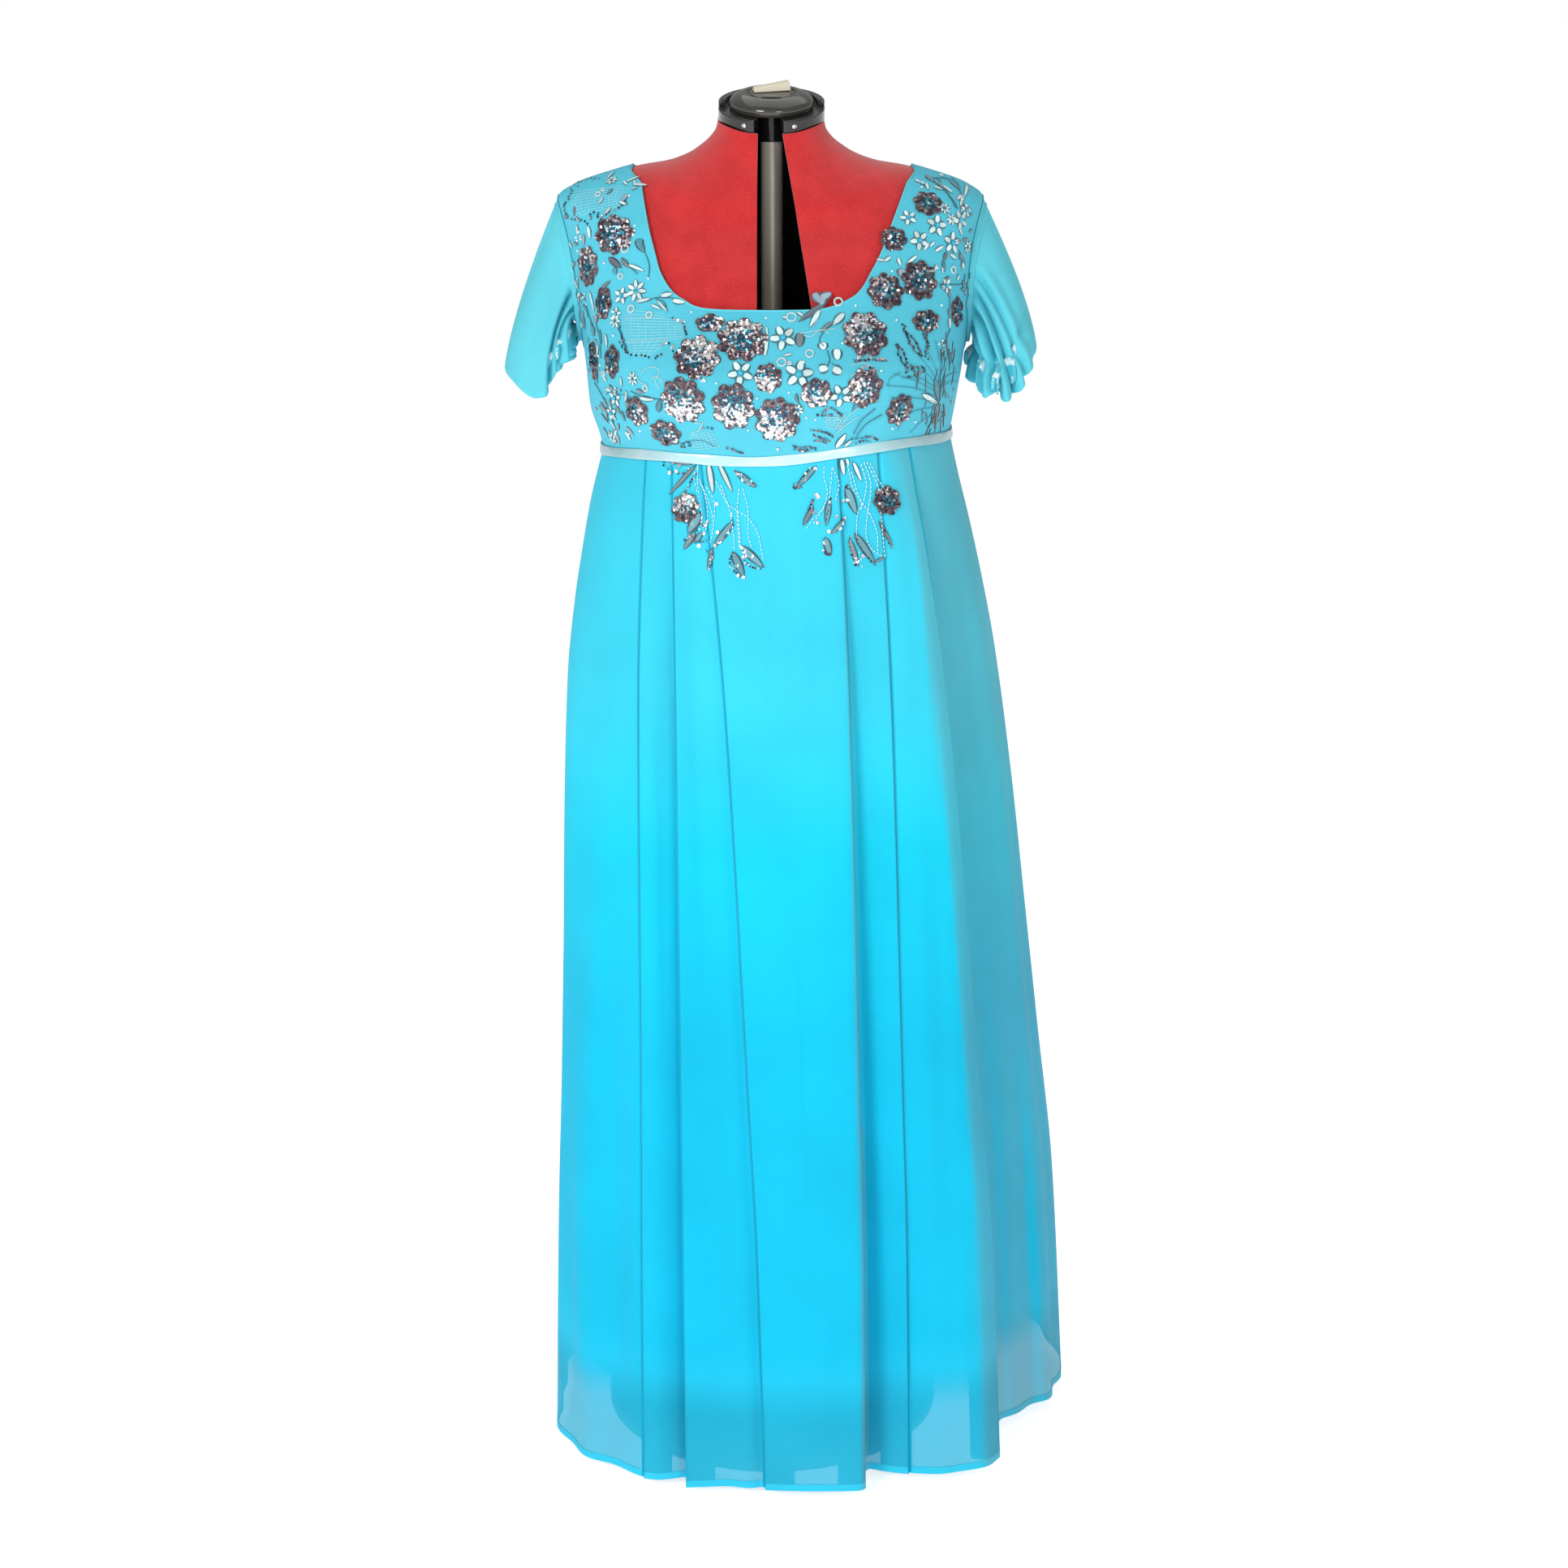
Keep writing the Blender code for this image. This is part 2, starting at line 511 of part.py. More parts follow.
def bodice_panel(name, facing, parts):
    """A wall from the grids of one or two halves, which share the middle column when there are two."""
    places, faces = [], []

    def put(points):
        start = len(places)
        places.extend(points)
        return np.arange(start, start + len(points))

    columns = []
    for side, rows, straps in parts:
        ids = np.array([put(row) for row in rows])
        if columns:
            ids[:, -1] = columns[0][:, -1]
        columns.append(ids)
        strap_ids = np.vstack([ids[-1][:STRAP_CELLS + 1]] + [put(row) for row in straps])
        for block in (ids, strap_ids):
            for r in range(len(block) - 1):
                for c in range(block.shape[1] - 1):
                    first, *others = block[r][c + 1], block[r + 1][c + 1], block[r + 1][c], block[r][c]
                    faces.append((first, *others) if side * facing > 0 else (first, *others[::-1]))
    outer, normals = settle(places)
    used = sorted({int(index) for face in faces for index in face})
    renumber = {index: place for place, index in enumerate(used)}
    faces = [tuple(renumber[int(index)] for index in face) for face in faces]
    outer, normals = outer[used], normals[used]
    return add_wall(name, outer, outer - normals * CLOTH, faces, CHIFFON)


front_left, front_right = bodice_half(-1, -1), bodice_half(1, -1)
back_left, back_right = bodice_half(-1, 1), bodice_half(1, 1)
bodice_panel("bodice_front", -1, [(-1, *front_left), (1, *front_right)])
bodice_panel("bodice_back_left", 1, [(-1, *back_left)])
bodice_panel("bodice_back_right", 1, [(1, *back_right)])


# ---- sleeves -------------------------------------------------------------------------------------
def armhole_ring(front, back):
    """The armhole's edge from the underarm, over the front, to the shoulder tip and down the back."""
    line = []
    for half, (rows, straps) in enumerate((front, back)):
        edge = np.vstack([rows[LOW_ROWS:, 0], straps[:, 0]])
        steps = [np.linspace(a, b, SLEEVE_SPLITS + 1)[:-1] for a, b in zip(edge, edge[1:])]
        fine = np.vstack(steps + [edge[-1:]])
        line.append(fine[:-1] if half == 0 else fine[:0:-1])
    return np.vstack(line)


def grid_normals(grid):
    """Normals of rings of points, rings first, closed along the second axis. Each halves the angle between
    the steps to its two neighbouring rings, and is longer where that angle is sharp, as a mitre is."""
    around = np.roll(grid, -1, axis=1) - np.roll(grid, 1, axis=1)
    steps = np.diff(grid, axis=0)
    steps /= np.linalg.norm(steps, axis=-1, keepdims=True)
    after = np.concatenate([steps, steps[-1:]])
    halfway, square = (np.cross(around, along) for along in (after + np.concatenate([steps[:1], steps]), after))
    halfway /= np.linalg.norm(halfway, axis=-1, keepdims=True)
    square /= np.linalg.norm(square, axis=-1, keepdims=True)
    return halfway / np.clip(np.sum(halfway * square, axis=-1, keepdims=True), 1 / LONGEST_MITRE, 1)


def sleeve_grid(side, front, back):
    """Mid-surface rings of a sleeve, from the armhole to the gathered cuff."""
    tip_x, inner_x, z_tip, z_front, z_inner, z_back, waves, ruffle = SLEEVES[side]
    edge = armhole_ring(front, back)
    count = len(edge)
    _, skin = settle(edge)
    edge = edge - skin * CLOTH / 2
    along = np.roll(edge, -1, axis=0) - np.roll(edge, 1, axis=0)
    away = np.cross(skin, along) * side
    away /= np.linalg.norm(away, axis=1, keepdims=True)
    away *= np.sign(away[:, :1] * side)
    start = edge + away * ARMHOLE_SEAM

    turn = np.linspace(0, 2 * math.pi, count, endpoint=False)
    middle_x, half_x = (tip_x + inner_x) / 2, (tip_x - inner_x) / 2
    gather = np.cos(waves * turn)
    calm = 0.45 + 0.55 * np.cos(turn / 2) ** 2
    z_ring = (z_tip + z_inner) / 2 - (z_tip - z_inner) / 2 * np.cos(turn)
    sag = np.where(np.sin(turn) > 0, z_front, z_back) - (z_tip + z_inner) / 2
    z_ring += sag * np.sin(turn) ** 2
    depth = np.where(np.sin(turn) > 0, SLEEVE_DEPTH_FRONT, SLEEVE_DEPTH_BACK)
    radial = np.stack([-np.cos(turn) * side, -np.sin(turn), np.zeros(count)], axis=1)
    cuff = np.stack([side * (middle_x - half_x * np.cos(turn)), -depth * np.sin(turn), z_ring], axis=1)
    lift = np.array([0, 0, 1.0])

    rings = []
    out = start + away * PUFF_OUT
    above = cuff + lift * PUFF_ABOVE - radial * PUFF_IN
    for share in SLEEVE_ROWS:
        blend = ((1 - share) ** 3 * start + 3 * (1 - share) ** 2 * share * out
                 + 3 * (1 - share) * share ** 2 * above + share ** 3 * cuff)
        rings.append(blend + radial * (gather * calm * ruffle * share ** 1.5)[:, None])
    for turn_in, drop in CUFF_ROUND:
        rings.append(cuff + radial * (gather * calm * ruffle - turn_in)[:, None] - lift * drop)
    rings.append(cuff + lift * CUFF_TURN_UP + radial * (gather * ruffle - CUFF_TURN_IN)[:, None])
    grid = np.array(rings)
    for r in range(1, len(grid)):
        near, skin = settle(grid[r])
        out = np.sum((grid[r] - near) * skin, axis=1)
        grid[r] += skin * np.maximum(SLEEVE_CLEAR - out, 0)[:, None]
    return grid


def make_sleeve(name, side, front, back):
    grid = sleeve_grid(side, front, back)
    normals = grid_normals(grid)
    centre = grid.mean(axis=(0, 1))
    if np.sum(normals[3] * (grid[3] - centre)) < 0:
        normals = -normals
    rows, columns = grid.shape[:2]
    faces = grid_faces(rows, columns, closed=True)
    a, b, _, d = (grid.reshape(-1, 3)[index] for index in faces[3 * columns])
    if np.dot(np.cross(b - a, d - a), normals[3][0]) < 0:
        faces = [face[::-1] for face in faces]
    outer = (grid + normals * CLOTH / 2).reshape(-1, 3)
    inner = (grid - normals * CLOTH / 2).reshape(-1, 3)
    add_wall(name, outer, inner, faces, CHIFFON)


make_sleeve("sleeve_left", -1, front_left, back_left)
make_sleeve("sleeve_right", 1, front_right, back_right)


# ---- skirt ---------------------------------------------------------------------------------------
WAIST_BEARINGS = np.radians(np.linspace(-180, 180, 241))
WAIST_LINE = np.array([from_round(b, waist_height(b)) for b in WAIST_BEARINGS])


def waist_points(bearings):
    """Points of the under-bust seam on the skirt's outer face, for bearings in radians."""
    turned = (np.asarray(bearings) + math.pi) % (2 * math.pi) - math.pi
    return np.stack([np.interp(turned, WAIST_BEARINGS, WAIST_LINE[:, axis]) for axis in range(3)], axis=1)


def bearing_at(x):
    """Bearing of the front waist at a distance from the middle."""
    front = np.abs(WAIST_BEARINGS) <= math.pi / 2
    return float(np.interp(x, WAIST_LINE[front, 0], WAIST_BEARINGS[front]))


def flare(down, x_waist):
    """How far the skirt has opened, between the left side's and the right side's own rates."""
    share = np.clip((x_waist + 0.13) / 0.05, 0, 1)
    share = share * share * (3 - 2 * share)
    return smooth_table(FLARE, 1, down) * (1 - share) + smooth_table(FLARE, 2, down) * share


def plan_normals(line):
    """Normals in plan, to the right of the line's direction, mitred between the two edges at each point."""
    steps = np.diff(line[:, :2], axis=0)
    steps /= np.linalg.norm(steps, axis=1, keepdims=True)
    sides = np.stack([steps[:, 1], -steps[:, 0]], axis=1)
    first, second = np.vstack([sides[:1], sides]), np.vstack([sides, sides[-1:]])
    total = first + second
    total /= np.linalg.norm(total, axis=1, keepdims=True)
    reach = 1 / np.clip(np.sum(total * first, axis=1), 0.72, 1)
    return np.hstack([total * reach[:, None], np.zeros((len(line), 1))])


def panel_line(hem_plan, cells, start, end, down, wave_depth):
    """One panel's section: its waist run opened towards its plan at the hem."""
    waist = waist_points(np.linspace(start, end, cells + 1))
    hem = smooth_curve(hem_plan, cells + 1)
    opened = flare(down, waist[:, 0])[:, None]
    line = waist.copy()
    line[:, :2] = waist[:, :2] * (1 - opened) + hem * opened
    line[:, 2] = (waist[:, 2] - SEAM / 2) * (1 - down) + HEM_Z * down
    share = np.linspace(0, 1, cells + 1)
    ripple = wave_depth * down * np.sin(math.pi * share) * np.sin(2 * math.pi * SIDE_WAVES * share)
    return line + plan_normals(line) * ripple[:, None]


def point_back(line, distance):
    """The point of a line at a distance back from its end, and the line's direction there."""
    run = np.concatenate([[0], np.cumsum(np.linalg.norm(np.diff(line, axis=0), axis=1))])
    at = run[-1] - distance
    here = np.array([np.interp(at, run, line[:, axis]) for axis in range(3)])
    ahead = np.array([np.interp(at + 0.002, run, line[:, axis]) for axis in range(3)])
    back = np.array([np.interp(at - 0.002, run, line[:, axis]) for axis in range(3)])
    direction = (ahead - back)[:2]
    return here, direction / np.linalg.norm(direction)


def fold_points(upper, lower_start, side, down):
    """Hidden layers of a knife pleat, from the end of its upper panel to the start of the lower one."""
    underlay = UNDERLAY_TOP * (1 - down) + UNDERLAY_HEM * down

    def place(distance, depth, ahead=0.0):
        here, direction = point_back(upper, distance)
        inward = np.array([-direction[1], direction[0]]) * side
        moved = here.copy()
        moved[:2] += inward * depth + direction * ahead
        return moved

    edge, direction = point_back(upper, 0.0)
    inward = np.array([-direction[1], direction[0]]) * side
    drop = max(float(np.dot(lower_start[:2] - edge[:2], inward)), 0.0)
    turned = 2 * CLOTH + LAYER_GAP
    middle = max(turned, 0.5 * drop)
    low = max(turned + LAYER_GAP, 0.82 * drop)
    return np.array([
        place(0, turned / 2, turned / 2),
        place(0, turned),
        place(underlay / 2, (turned + middle) / 2),
        place(underlay, middle),
        place(underlay, middle + UNDERLAY_GAP / 2, -UNDERLAY_GAP / 2),
        place(underlay, middle + UNDERLAY_GAP),
        place(underlay / 2, (middle + UNDERLAY_GAP + low) / 2),
        place(0, low),
    ])


def front_half(panels, side, down):
    """Half the front's section, from the middle of its centre panel out to the side seam."""
    pieces = []
    start = bearing_at(0.0)
    for name, fold_x, cells, hem_plan in panels:
        if name == "side":
            line = panel_line(hem_plan, cells, start, side * SIDE_BEARING, down, SIDE_WAVE_DEPTH)
        else:
            line = panel_line(hem_plan, cells, start, bearing_at(fold_x), down, 0.0)
            start = bearing_at(fold_x + side * PLEAT_RETURN)
        if pieces:
            pieces.append(fold_points(pieces[-1], line[0], side, down))
        pieces.append(line)
    return np.vstack(pieces)


def front_section(down):
    left = front_half(LEFT_PANELS, -1, down)
    right = front_half(RIGHT_PANELS, 1, down)
    return np.vstack([left[::-1], right[1:]])


def wall_from_sections(name, sections, material):
    """A wall from section lines, given from the top down, whose direction keeps the outside on the right."""
    outer, inner = [], []
    for line in reversed(sections):
        normals = plan_normals(line)
        outer.extend(line)
        inner.extend(line - normals * CLOTH)
    return add_wall(name, outer, inner, grid_faces(len(sections), len(sections[0])), material)


front_sections = [front_section(down) for down in SKIRT_ROWS]
wall_from_sections("skirt_front", front_sections, CHIFFON)


def back_section(down, front_line):
    """The back's section from the right side seam round to the left one."""
    turns = np.linspace(math.pi / 2, 3 * math.pi / 2, SKIRT_BACK_CELLS + 1)
    waist = waist_points(turns)
    hem = smooth_curve(BACK_HEM, SKIRT_BACK_CELLS + 1)
    share = np.linspace(0, 1, SKIRT_BACK_CELLS + 1)
    blend = share * share * (3 - 2 * share)
    opened = (smooth_table(FLARE, 2, down) * (1 - blend) + smooth_table(FLARE, 1, down) * blend)[:, None]
    line = waist.copy()
    line[:, :2] = waist[:, :2] * (1 - opened) + hem * opened
    line[:, 2] = (waist[:, 2] - SEAM / 2) * (1 - down) + HEM_Z * down
    ripple = np.sqrt(np.sin(math.pi * share)) * np.sin(2 * math.pi * BACK_WAVES * share)
    line += plan_normals(line) * (BACK_WAVE_DEPTH * down * ripple)[:, None]
    for end, beside, before in ((0, front_line[-1], front_line[-2]), (-1, front_line[0], front_line[1])):
        away = (beside - before)[:2]
        line[end, :2] = beside[:2] + away / np.linalg.norm(away) * SIDE_SEAM
        line[end, 2] = beside[2]
    return line


back_sections = [back_section(down, line) for down, line in zip(SKIRT_ROWS, front_sections)]
wall_from_sections("skirt_back", back_sections, CHIFFON)
SKIRT_TREES = [surface_tree(np.vstack(sections[::-1]), len(sections), len(sections[0]), False)
               for sections in (front_sections, back_sections)]


def lining_wall():
    """The lining, a tube inside the pleats from just under the seam to its own hem."""
    turns = math.pi / 2 + np.linspace(0, 2 * math.pi, LINING_CELLS, endpoint=False)
    waist = waist_points(turns)
    reach = np.linalg.norm(waist[:, :2], axis=1, keepdims=True)
    waist[:, :2] *= 1 - LINING_INSET / reach
    hem = smooth_curve(LINING_HEM, LINING_CELLS, closed=True)
    outer, inner = [], []
    for down in reversed(LINING_ROWS):
        opened = float(smooth_table(LINING_FLARE, 1, down))
        line = waist.copy()
        line[:, :2] = waist[:, :2] * (1 - opened) + hem * opened
        line[:, 2] = (waist[:, 2] - SEAM) * (1 - down) + LINING_HEM_Z * down
        wrapped = np.vstack([line[-1:], line, line[:1]])
        outer.extend(line)
        inner.extend(line - plan_normals(wrapped)[1:-1] * CLOTH)
    add_wall("skirt_lining", outer, inner, grid_faces(len(LINING_ROWS), LINING_CELLS, closed=True), LINING)


lining_wall()


# ---- ribbon --------------------------------------------------------------------------------------
def ribbon_wall():
    """The ribbon lies on the bodice above the seam and on the skirt below it."""
    front = np.linspace(-math.pi / 2, math.pi / 2, 2 * FRONT_CELLS + 1)[:-1]
    back = np.linspace(math.pi / 2, 3 * math.pi / 2, 2 * BACK_CELLS + 1)[:-1]
    bearings = np.concatenate([front, back])
    outward = np.stack([np.sin(bearings), -np.cos(bearings), np.zeros(len(bearings))], axis=1)
    middle = waist_points(bearings)
    above = np.array([from_round(b, waist_height(b) + RIBBON_WIDTH / 2) for b in bearings])
    reach = []
    for place, out in zip(middle, outward):
        start = Vector((*(place[:2] + out[:2] * RIBBON_SEARCH * 0.9), place[2] - RIBBON_WIDTH / 2))
        hits = [tree.ray_cast(start, Vector(-out), RIBBON_SEARCH)[0] for tree in SKIRT_TREES]
        reach.append(max(math.hypot(hit[0], hit[1]) for hit in hits if hit is not None))
    reach = np.maximum(reach, np.maximum(np.roll(reach, 1), np.roll(reach, -1)) - RIBBON_SLACK)
    low_z = middle[:, 2:] - RIBBON_WIDTH / 2
    below = outward * reach[:, None] + low_z * (0, 0, 1)
    inner = np.vstack([row + outward * RIBBON_LIFT for row in (below, above)])
    outer = inner + np.tile(outward, (2, 1)) * RIBBON_THICK
    add_wall("waist_ribbon", outer, inner, grid_faces(2, len(bearings), closed=True), SATIN)


ribbon_wall()


# ---- lace flowers and sprays ---------------------------------------------------------------------
def flower(name, bearing, z, half_width, half_height, turn):
    """A scalloped disc of lace, laid over the cloth."""
    middle = from_round(math.radians(bearing), z)
    _, skin = settle([middle])
    across = np.cross((0, 0, 1), skin[0])
    across /= np.linalg.norm(across)
    up = np.cross(skin[0], across)
    tips = 2 * FLOWER_PETALS
    places = [(0.0, 0.0)]
    for count, radius, dip in ((FLOWER_PETALS, 0.5, 1.0), (tips, 1.0, PETAL_DIP)):
        for i in range(count):
            angle = math.radians(turn) + 2 * math.pi * i / count
            reach = radius * (dip if i % 2 else 1.0)
            places.append((reach * math.cos(angle), reach * math.sin(angle)))
    points = [middle + across * u * half_width + up * v * half_height for u, v in places]
    near, skin = settle(points)
    inner = near + skin * APPLIQUE_LIFT
    faces = []
    ring, rim = 1, 1 + FLOWER_PETALS
    for i in range(FLOWER_PETALS):
        nxt = (i + 1) % FLOWER_PETALS
        tip, dip, next_tip = rim + 2 * i, rim + 2 * i + 1, rim + (2 * i + 2) % tips
        faces += [(0, ring + i, ring + nxt), (ring + i, tip, dip), (ring + i, dip, ring + nxt),
                  (ring + nxt, dip, next_tip)]
    add_wall(name, inner + skin * APPLIQUE_THICK, inner, faces, LACE)


for number, row in enumerate(FLOWERS):
    flower(f"flower_{number + 1:02d}", *row)


def front_of_skirt(x, z):
    """The foremost cloth near a place, so that what hangs there bridges the pleats."""
    hits = [SKIRT_TREES[0].ray_cast(Vector((x + aside, -0.5, z)), Vector((0, 1, 0)))[0]
            for aside in (-SPRAY_BRIDGE, 0, SPRAY_BRIDGE)]
    return np.array((x, min(hit[1] for hit in hits), z))


def spray(name, x_from, x_to, fingers):
    """A comb of lace: a root strip under the ribbon and a tapering finger for each row."""
    roots = np.linspace(x_from, x_to, 2 * len(fingers))
    tops = [float(waist_height(bearing_at(x))) - RIBBON_WIDTH / 2 - SEAM for x in roots]
    total = len(roots)
    places = [*zip(roots, tops), *((x, top - SPRAY_ROOT) for x, top in zip(roots, tops))]
    faces = [(total + c, total + c + 1, c + 1, c) for c in range(total - 1)]
    for number, (tip_x, tip_z, half_width) in enumerate(fingers):
        left, right = total + 2 * number, total + 2 * number + 1
        root_x = (roots[2 * number] + roots[2 * number + 1]) / 2
        root_z = tops[2 * number] - SPRAY_ROOT
        for step in range(1, SPRAY_STEPS + 1):
            share = step / SPRAY_STEPS
            x = root_x + (tip_x - root_x) * share ** 0.85
            z = root_z + (tip_z - root_z) * share
            width = half_width * math.sin(math.pi * min(0.14 + 0.78 * share, 0.94)) + 0.0006
            new = len(places)
            places += [(x - width, z), (x + width, z)]
            faces.append((new, new + 1, right, left))
            left, right = new, new + 1
    inner, outer = [], []
    for x, z in places:
        place = front_of_skirt(x, z)
        skin = place * (1, 1, 0) / math.hypot(place[0], place[1])
        inner.append(place + skin * SPRAY_LIFT)
        outer.append(inner[-1] + skin * APPLIQUE_THICK)
    add_wall(name, outer, inner, faces, LACE)


for name, row in SPRAYS.items():
    spray(name, *row)


# ---- dress form ----------------------------------------------------------------------------------
def form_shell(name, side):
    """One shell of the form, from its front edge round its side to its back edge."""
    rings = np.array(FORM_RINGS, float)
    if side < 0:
        front_edge = np.full(len(rings), GAP_LEFT)
    else:
        heights = torso_column("z_front", rings)
        fall = np.clip((GAP_RIGHT_SPAN[0] - heights) / (GAP_RIGHT_SPAN[0] - GAP_RIGHT_SPAN[1]), 0, 1)
        front_edge = GAP_RIGHT_TOP + (GAP_RIGHT_LOW - GAP_RIGHT_TOP) * fall
    half = torso_column("left" if side < 0 else "right", rings)
    start = np.arcsin((front_edge / half) ** (SQUARE / 2))
    end = math.pi - np.arcsin((GAP_BACK / half) ** (SQUARE / 2))
    share = np.linspace(0, 1, FORM_CELLS + 1)
    angles = side * (start[:, None] * (1 - share) + end[:, None] * share)
    ring_grid = np.repeat(rings[:, None], FORM_CELLS + 1, axis=1)
    inset = torso_column("inset", ring_grid)
    outer = torso_inside(angles, ring_grid, inset)
    inner = torso_inside(angles, ring_grid, inset + FORM_WALL)
    for wall in (outer, inner):
        wall[-1, :, 2] = neck_plane(wall[-1, :, 1]) - SEAM
    faces = grid_faces(len(rings), FORM_CELLS + 1)
    if side < 0:
        faces = [face[::-1] for face in faces]
    add_wall(name, outer.reshape(-1, 3), inner.reshape(-1, 3), faces, JERSEY)


def neck_plane(y):
    """Height of the underside of the tilted neck plate."""
    return NECK_Z + math.tan(NECK_TILT) * y


form_shell("form_left", -1)
form_shell("form_right", 1)


def tilted(point):
    """From the neck plate's own frame to the world."""
    x, y, z = point
    return (x + POLE_X, y * math.cos(NECK_TILT) - z * math.sin(NECK_TILT),
            NECK_Z + y * math.sin(NECK_TILT) + z * math.cos(NECK_TILT))


def arc_plate(name, start, end, cells, rim_height):
    """A sector of the neck ring with chamfered edges and maybe a raised rim."""
    high = PLATE_HEIGHT + rim_height
    profile = ((PLATE_RADIUS - PLATE_CHAMFER, 0), (PLATE_RADIUS, PLATE_CHAMFER),
               (PLATE_RADIUS, high - PLATE_CHAMFER), (PLATE_RADIUS - PLATE_CHAMFER, high))
    if rim_height:
        profile += ((RIM_INNER, high), (RIM_INNER, PLATE_HEIGHT))
    profile += ((PLATE_INNER, PLATE_HEIGHT), (PLATE_INNER, 0))
    bearings = np.radians(np.linspace(start, end, cells + 1))
    points = [tilted((r * math.sin(b), -r * math.cos(b), z)) for b in bearings for r, z in profile]
    sides = len(profile)
    faces = [(i * sides + j, i * sides + sides + j, i * sides + sides + (j + 1) % sides,
              i * sides + (j + 1) % sides)
             for i in range(cells) for j in range(sides)]
    last = cells * sides
    faces += [tuple(range(sides)), tuple(last + j for j in reversed(range(sides)))]
    add_solid(name, points, faces, BLACK_PLASTIC)


for name, row in NECK_PLATES.items():
    arc_plate(name, *row)


def turned(name, profile, sides, material, place=lambda point: point):
    """A closed body of revolution about +Z, whose profile runs up from the axis to the axis."""
    turns = 2 * math.pi * np.arange(sides) / sides
    points, rings = [], []
    for r, z in profile:
        if r == 0:
            rings.append([len(points)])
            points.append(place((0, 0, z)))
        else:
            rings.append(list(range(len(points), len(points) + sides)))
            points += [place((r * math.cos(turn), r * math.sin(turn), z)) for turn in turns]
    faces = []
    for low, high in zip(rings, rings[1:]):
        for i in range(sides):
            j = (i + 1) % sides
            if len(low) == 1:
                faces.append((low[0], high[j], high[i]))
            elif len(high) == 1:
                faces.append((low[i], low[j], high[0]))
            else:
                faces.append((low[i], low[j], high[j], high[i]))
    add_solid(name, points, faces, material)


knob_profile = [(0, KNOB_LOW), (KNOB_RADIUS - KNOB_TAPER, KNOB_LOW)]
knob_profile += [(KNOB_RADIUS * math.cos(a), KNOB_LOW + KNOB_FOOT + (KNOB_HEIGHT - KNOB_FOOT) * math.sin(a))
                 for a in np.radians((0, 22, 44, 64))]
knob_profile += [(0, KNOB_LOW + KNOB_HEIGHT - KNOB_DISH)]
turned("neck_knob", knob_profile, KNOB_SIDES, BLACK_PLASTIC, tilted)


def grip():
    """The wedge that turns the knob, seated in its top."""
    low = KNOB_LOW + KNOB_HEIGHT - KNOB_DISH + SEAM
    corners = []
    for x in (-GRIP_HALF_X, GRIP_HALF_X):
        for y in (-GRIP_HALF_Y, GRIP_HALF_Y):
            corners.append((x, y, low))
            corners.append((x * 0.94, y * 0.8, low + GRIP_HEIGHT + GRIP_SLOPE * math.copysign(1, x)))
    along, across = math.cos(GRIP_TURN), math.sin(GRIP_TURN)
    points = [tilted((x * along - y * across, x * across + y * along + GRIP_BACK, z)) for x, y, z in corners]
    faces = [(0, 2, 6, 4), (1, 5, 7, 3), (0, 4, 5, 1), (4, 6, 7, 5), (6, 2, 3, 7), (2, 0, 1, 3)]
    add_solid("knob_grip", points, faces, CREAM_PLASTIC, smooth=False)


grip()


def about_pole(point):
    return (point[0] + POLE_X, point[1], point[2])


POLE_FOOT = BASE_HEIGHT + SEAM
POLE_TOP = NECK_Z + (KNOB_LOW - SEAM) / math.cos(NECK_TILT) - POLE_RADIUS * math.tan(NECK_TILT)
turned("pole", [(0, POLE_FOOT), (POLE_RADIUS, POLE_FOOT), (POLE_RADIUS, POLE_TOP), (0, POLE_TOP)],
       ROUND_SIDES, GREY_METAL, about_pole)


def tube(name, inner_radius, outer_radius, low, high, material):
    """A short ring about the pole."""
    sides = ROUND_SIDES
    bearings = 2 * math.pi * np.arange(sides) / sides
    profile = ((outer_radius, low), (outer_radius, high), (inner_radius, high), (inner_radius, low))
    points = [(POLE_X + r * math.cos(b), r * math.sin(b), z) for b in bearings for r, z in profile]
    faces = [(i * 4 + j, (i + 1) % sides * 4 + j, (i + 1) % sides * 4 + (j + 1) % 4, i * 4 + (j + 1) % 4)
             for i in range(sides) for j in range(4)]
    add_solid(name, points, faces, material)


tube("pole_collar", POLE_RADIUS + SEAM, COLLAR_RADIUS, COLLAR_BOTTOM, COLLAR_TOP, BLACK_PLASTIC)
tube("base_hub", POLE_RADIUS + SEAM, BASE_HUB_RADIUS, POLE_FOOT, BASE_HEIGHT + BASE_HUB_HEIGHT, BASE_METAL)
turned("base", [(0, 0), (BASE_RADIUS - BASE_CHAMFER, 0), (BASE_RADIUS, BASE_CHAMFER),
                (BASE_RADIUS, BASE_HEIGHT - 2 * BASE_CHAMFER), (BASE_RADIUS - 2 * BASE_CHAMFER, BASE_HEIGHT),
                (0, BASE_HEIGHT)], BASE_SIDES, BASE_METAL)
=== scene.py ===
import math

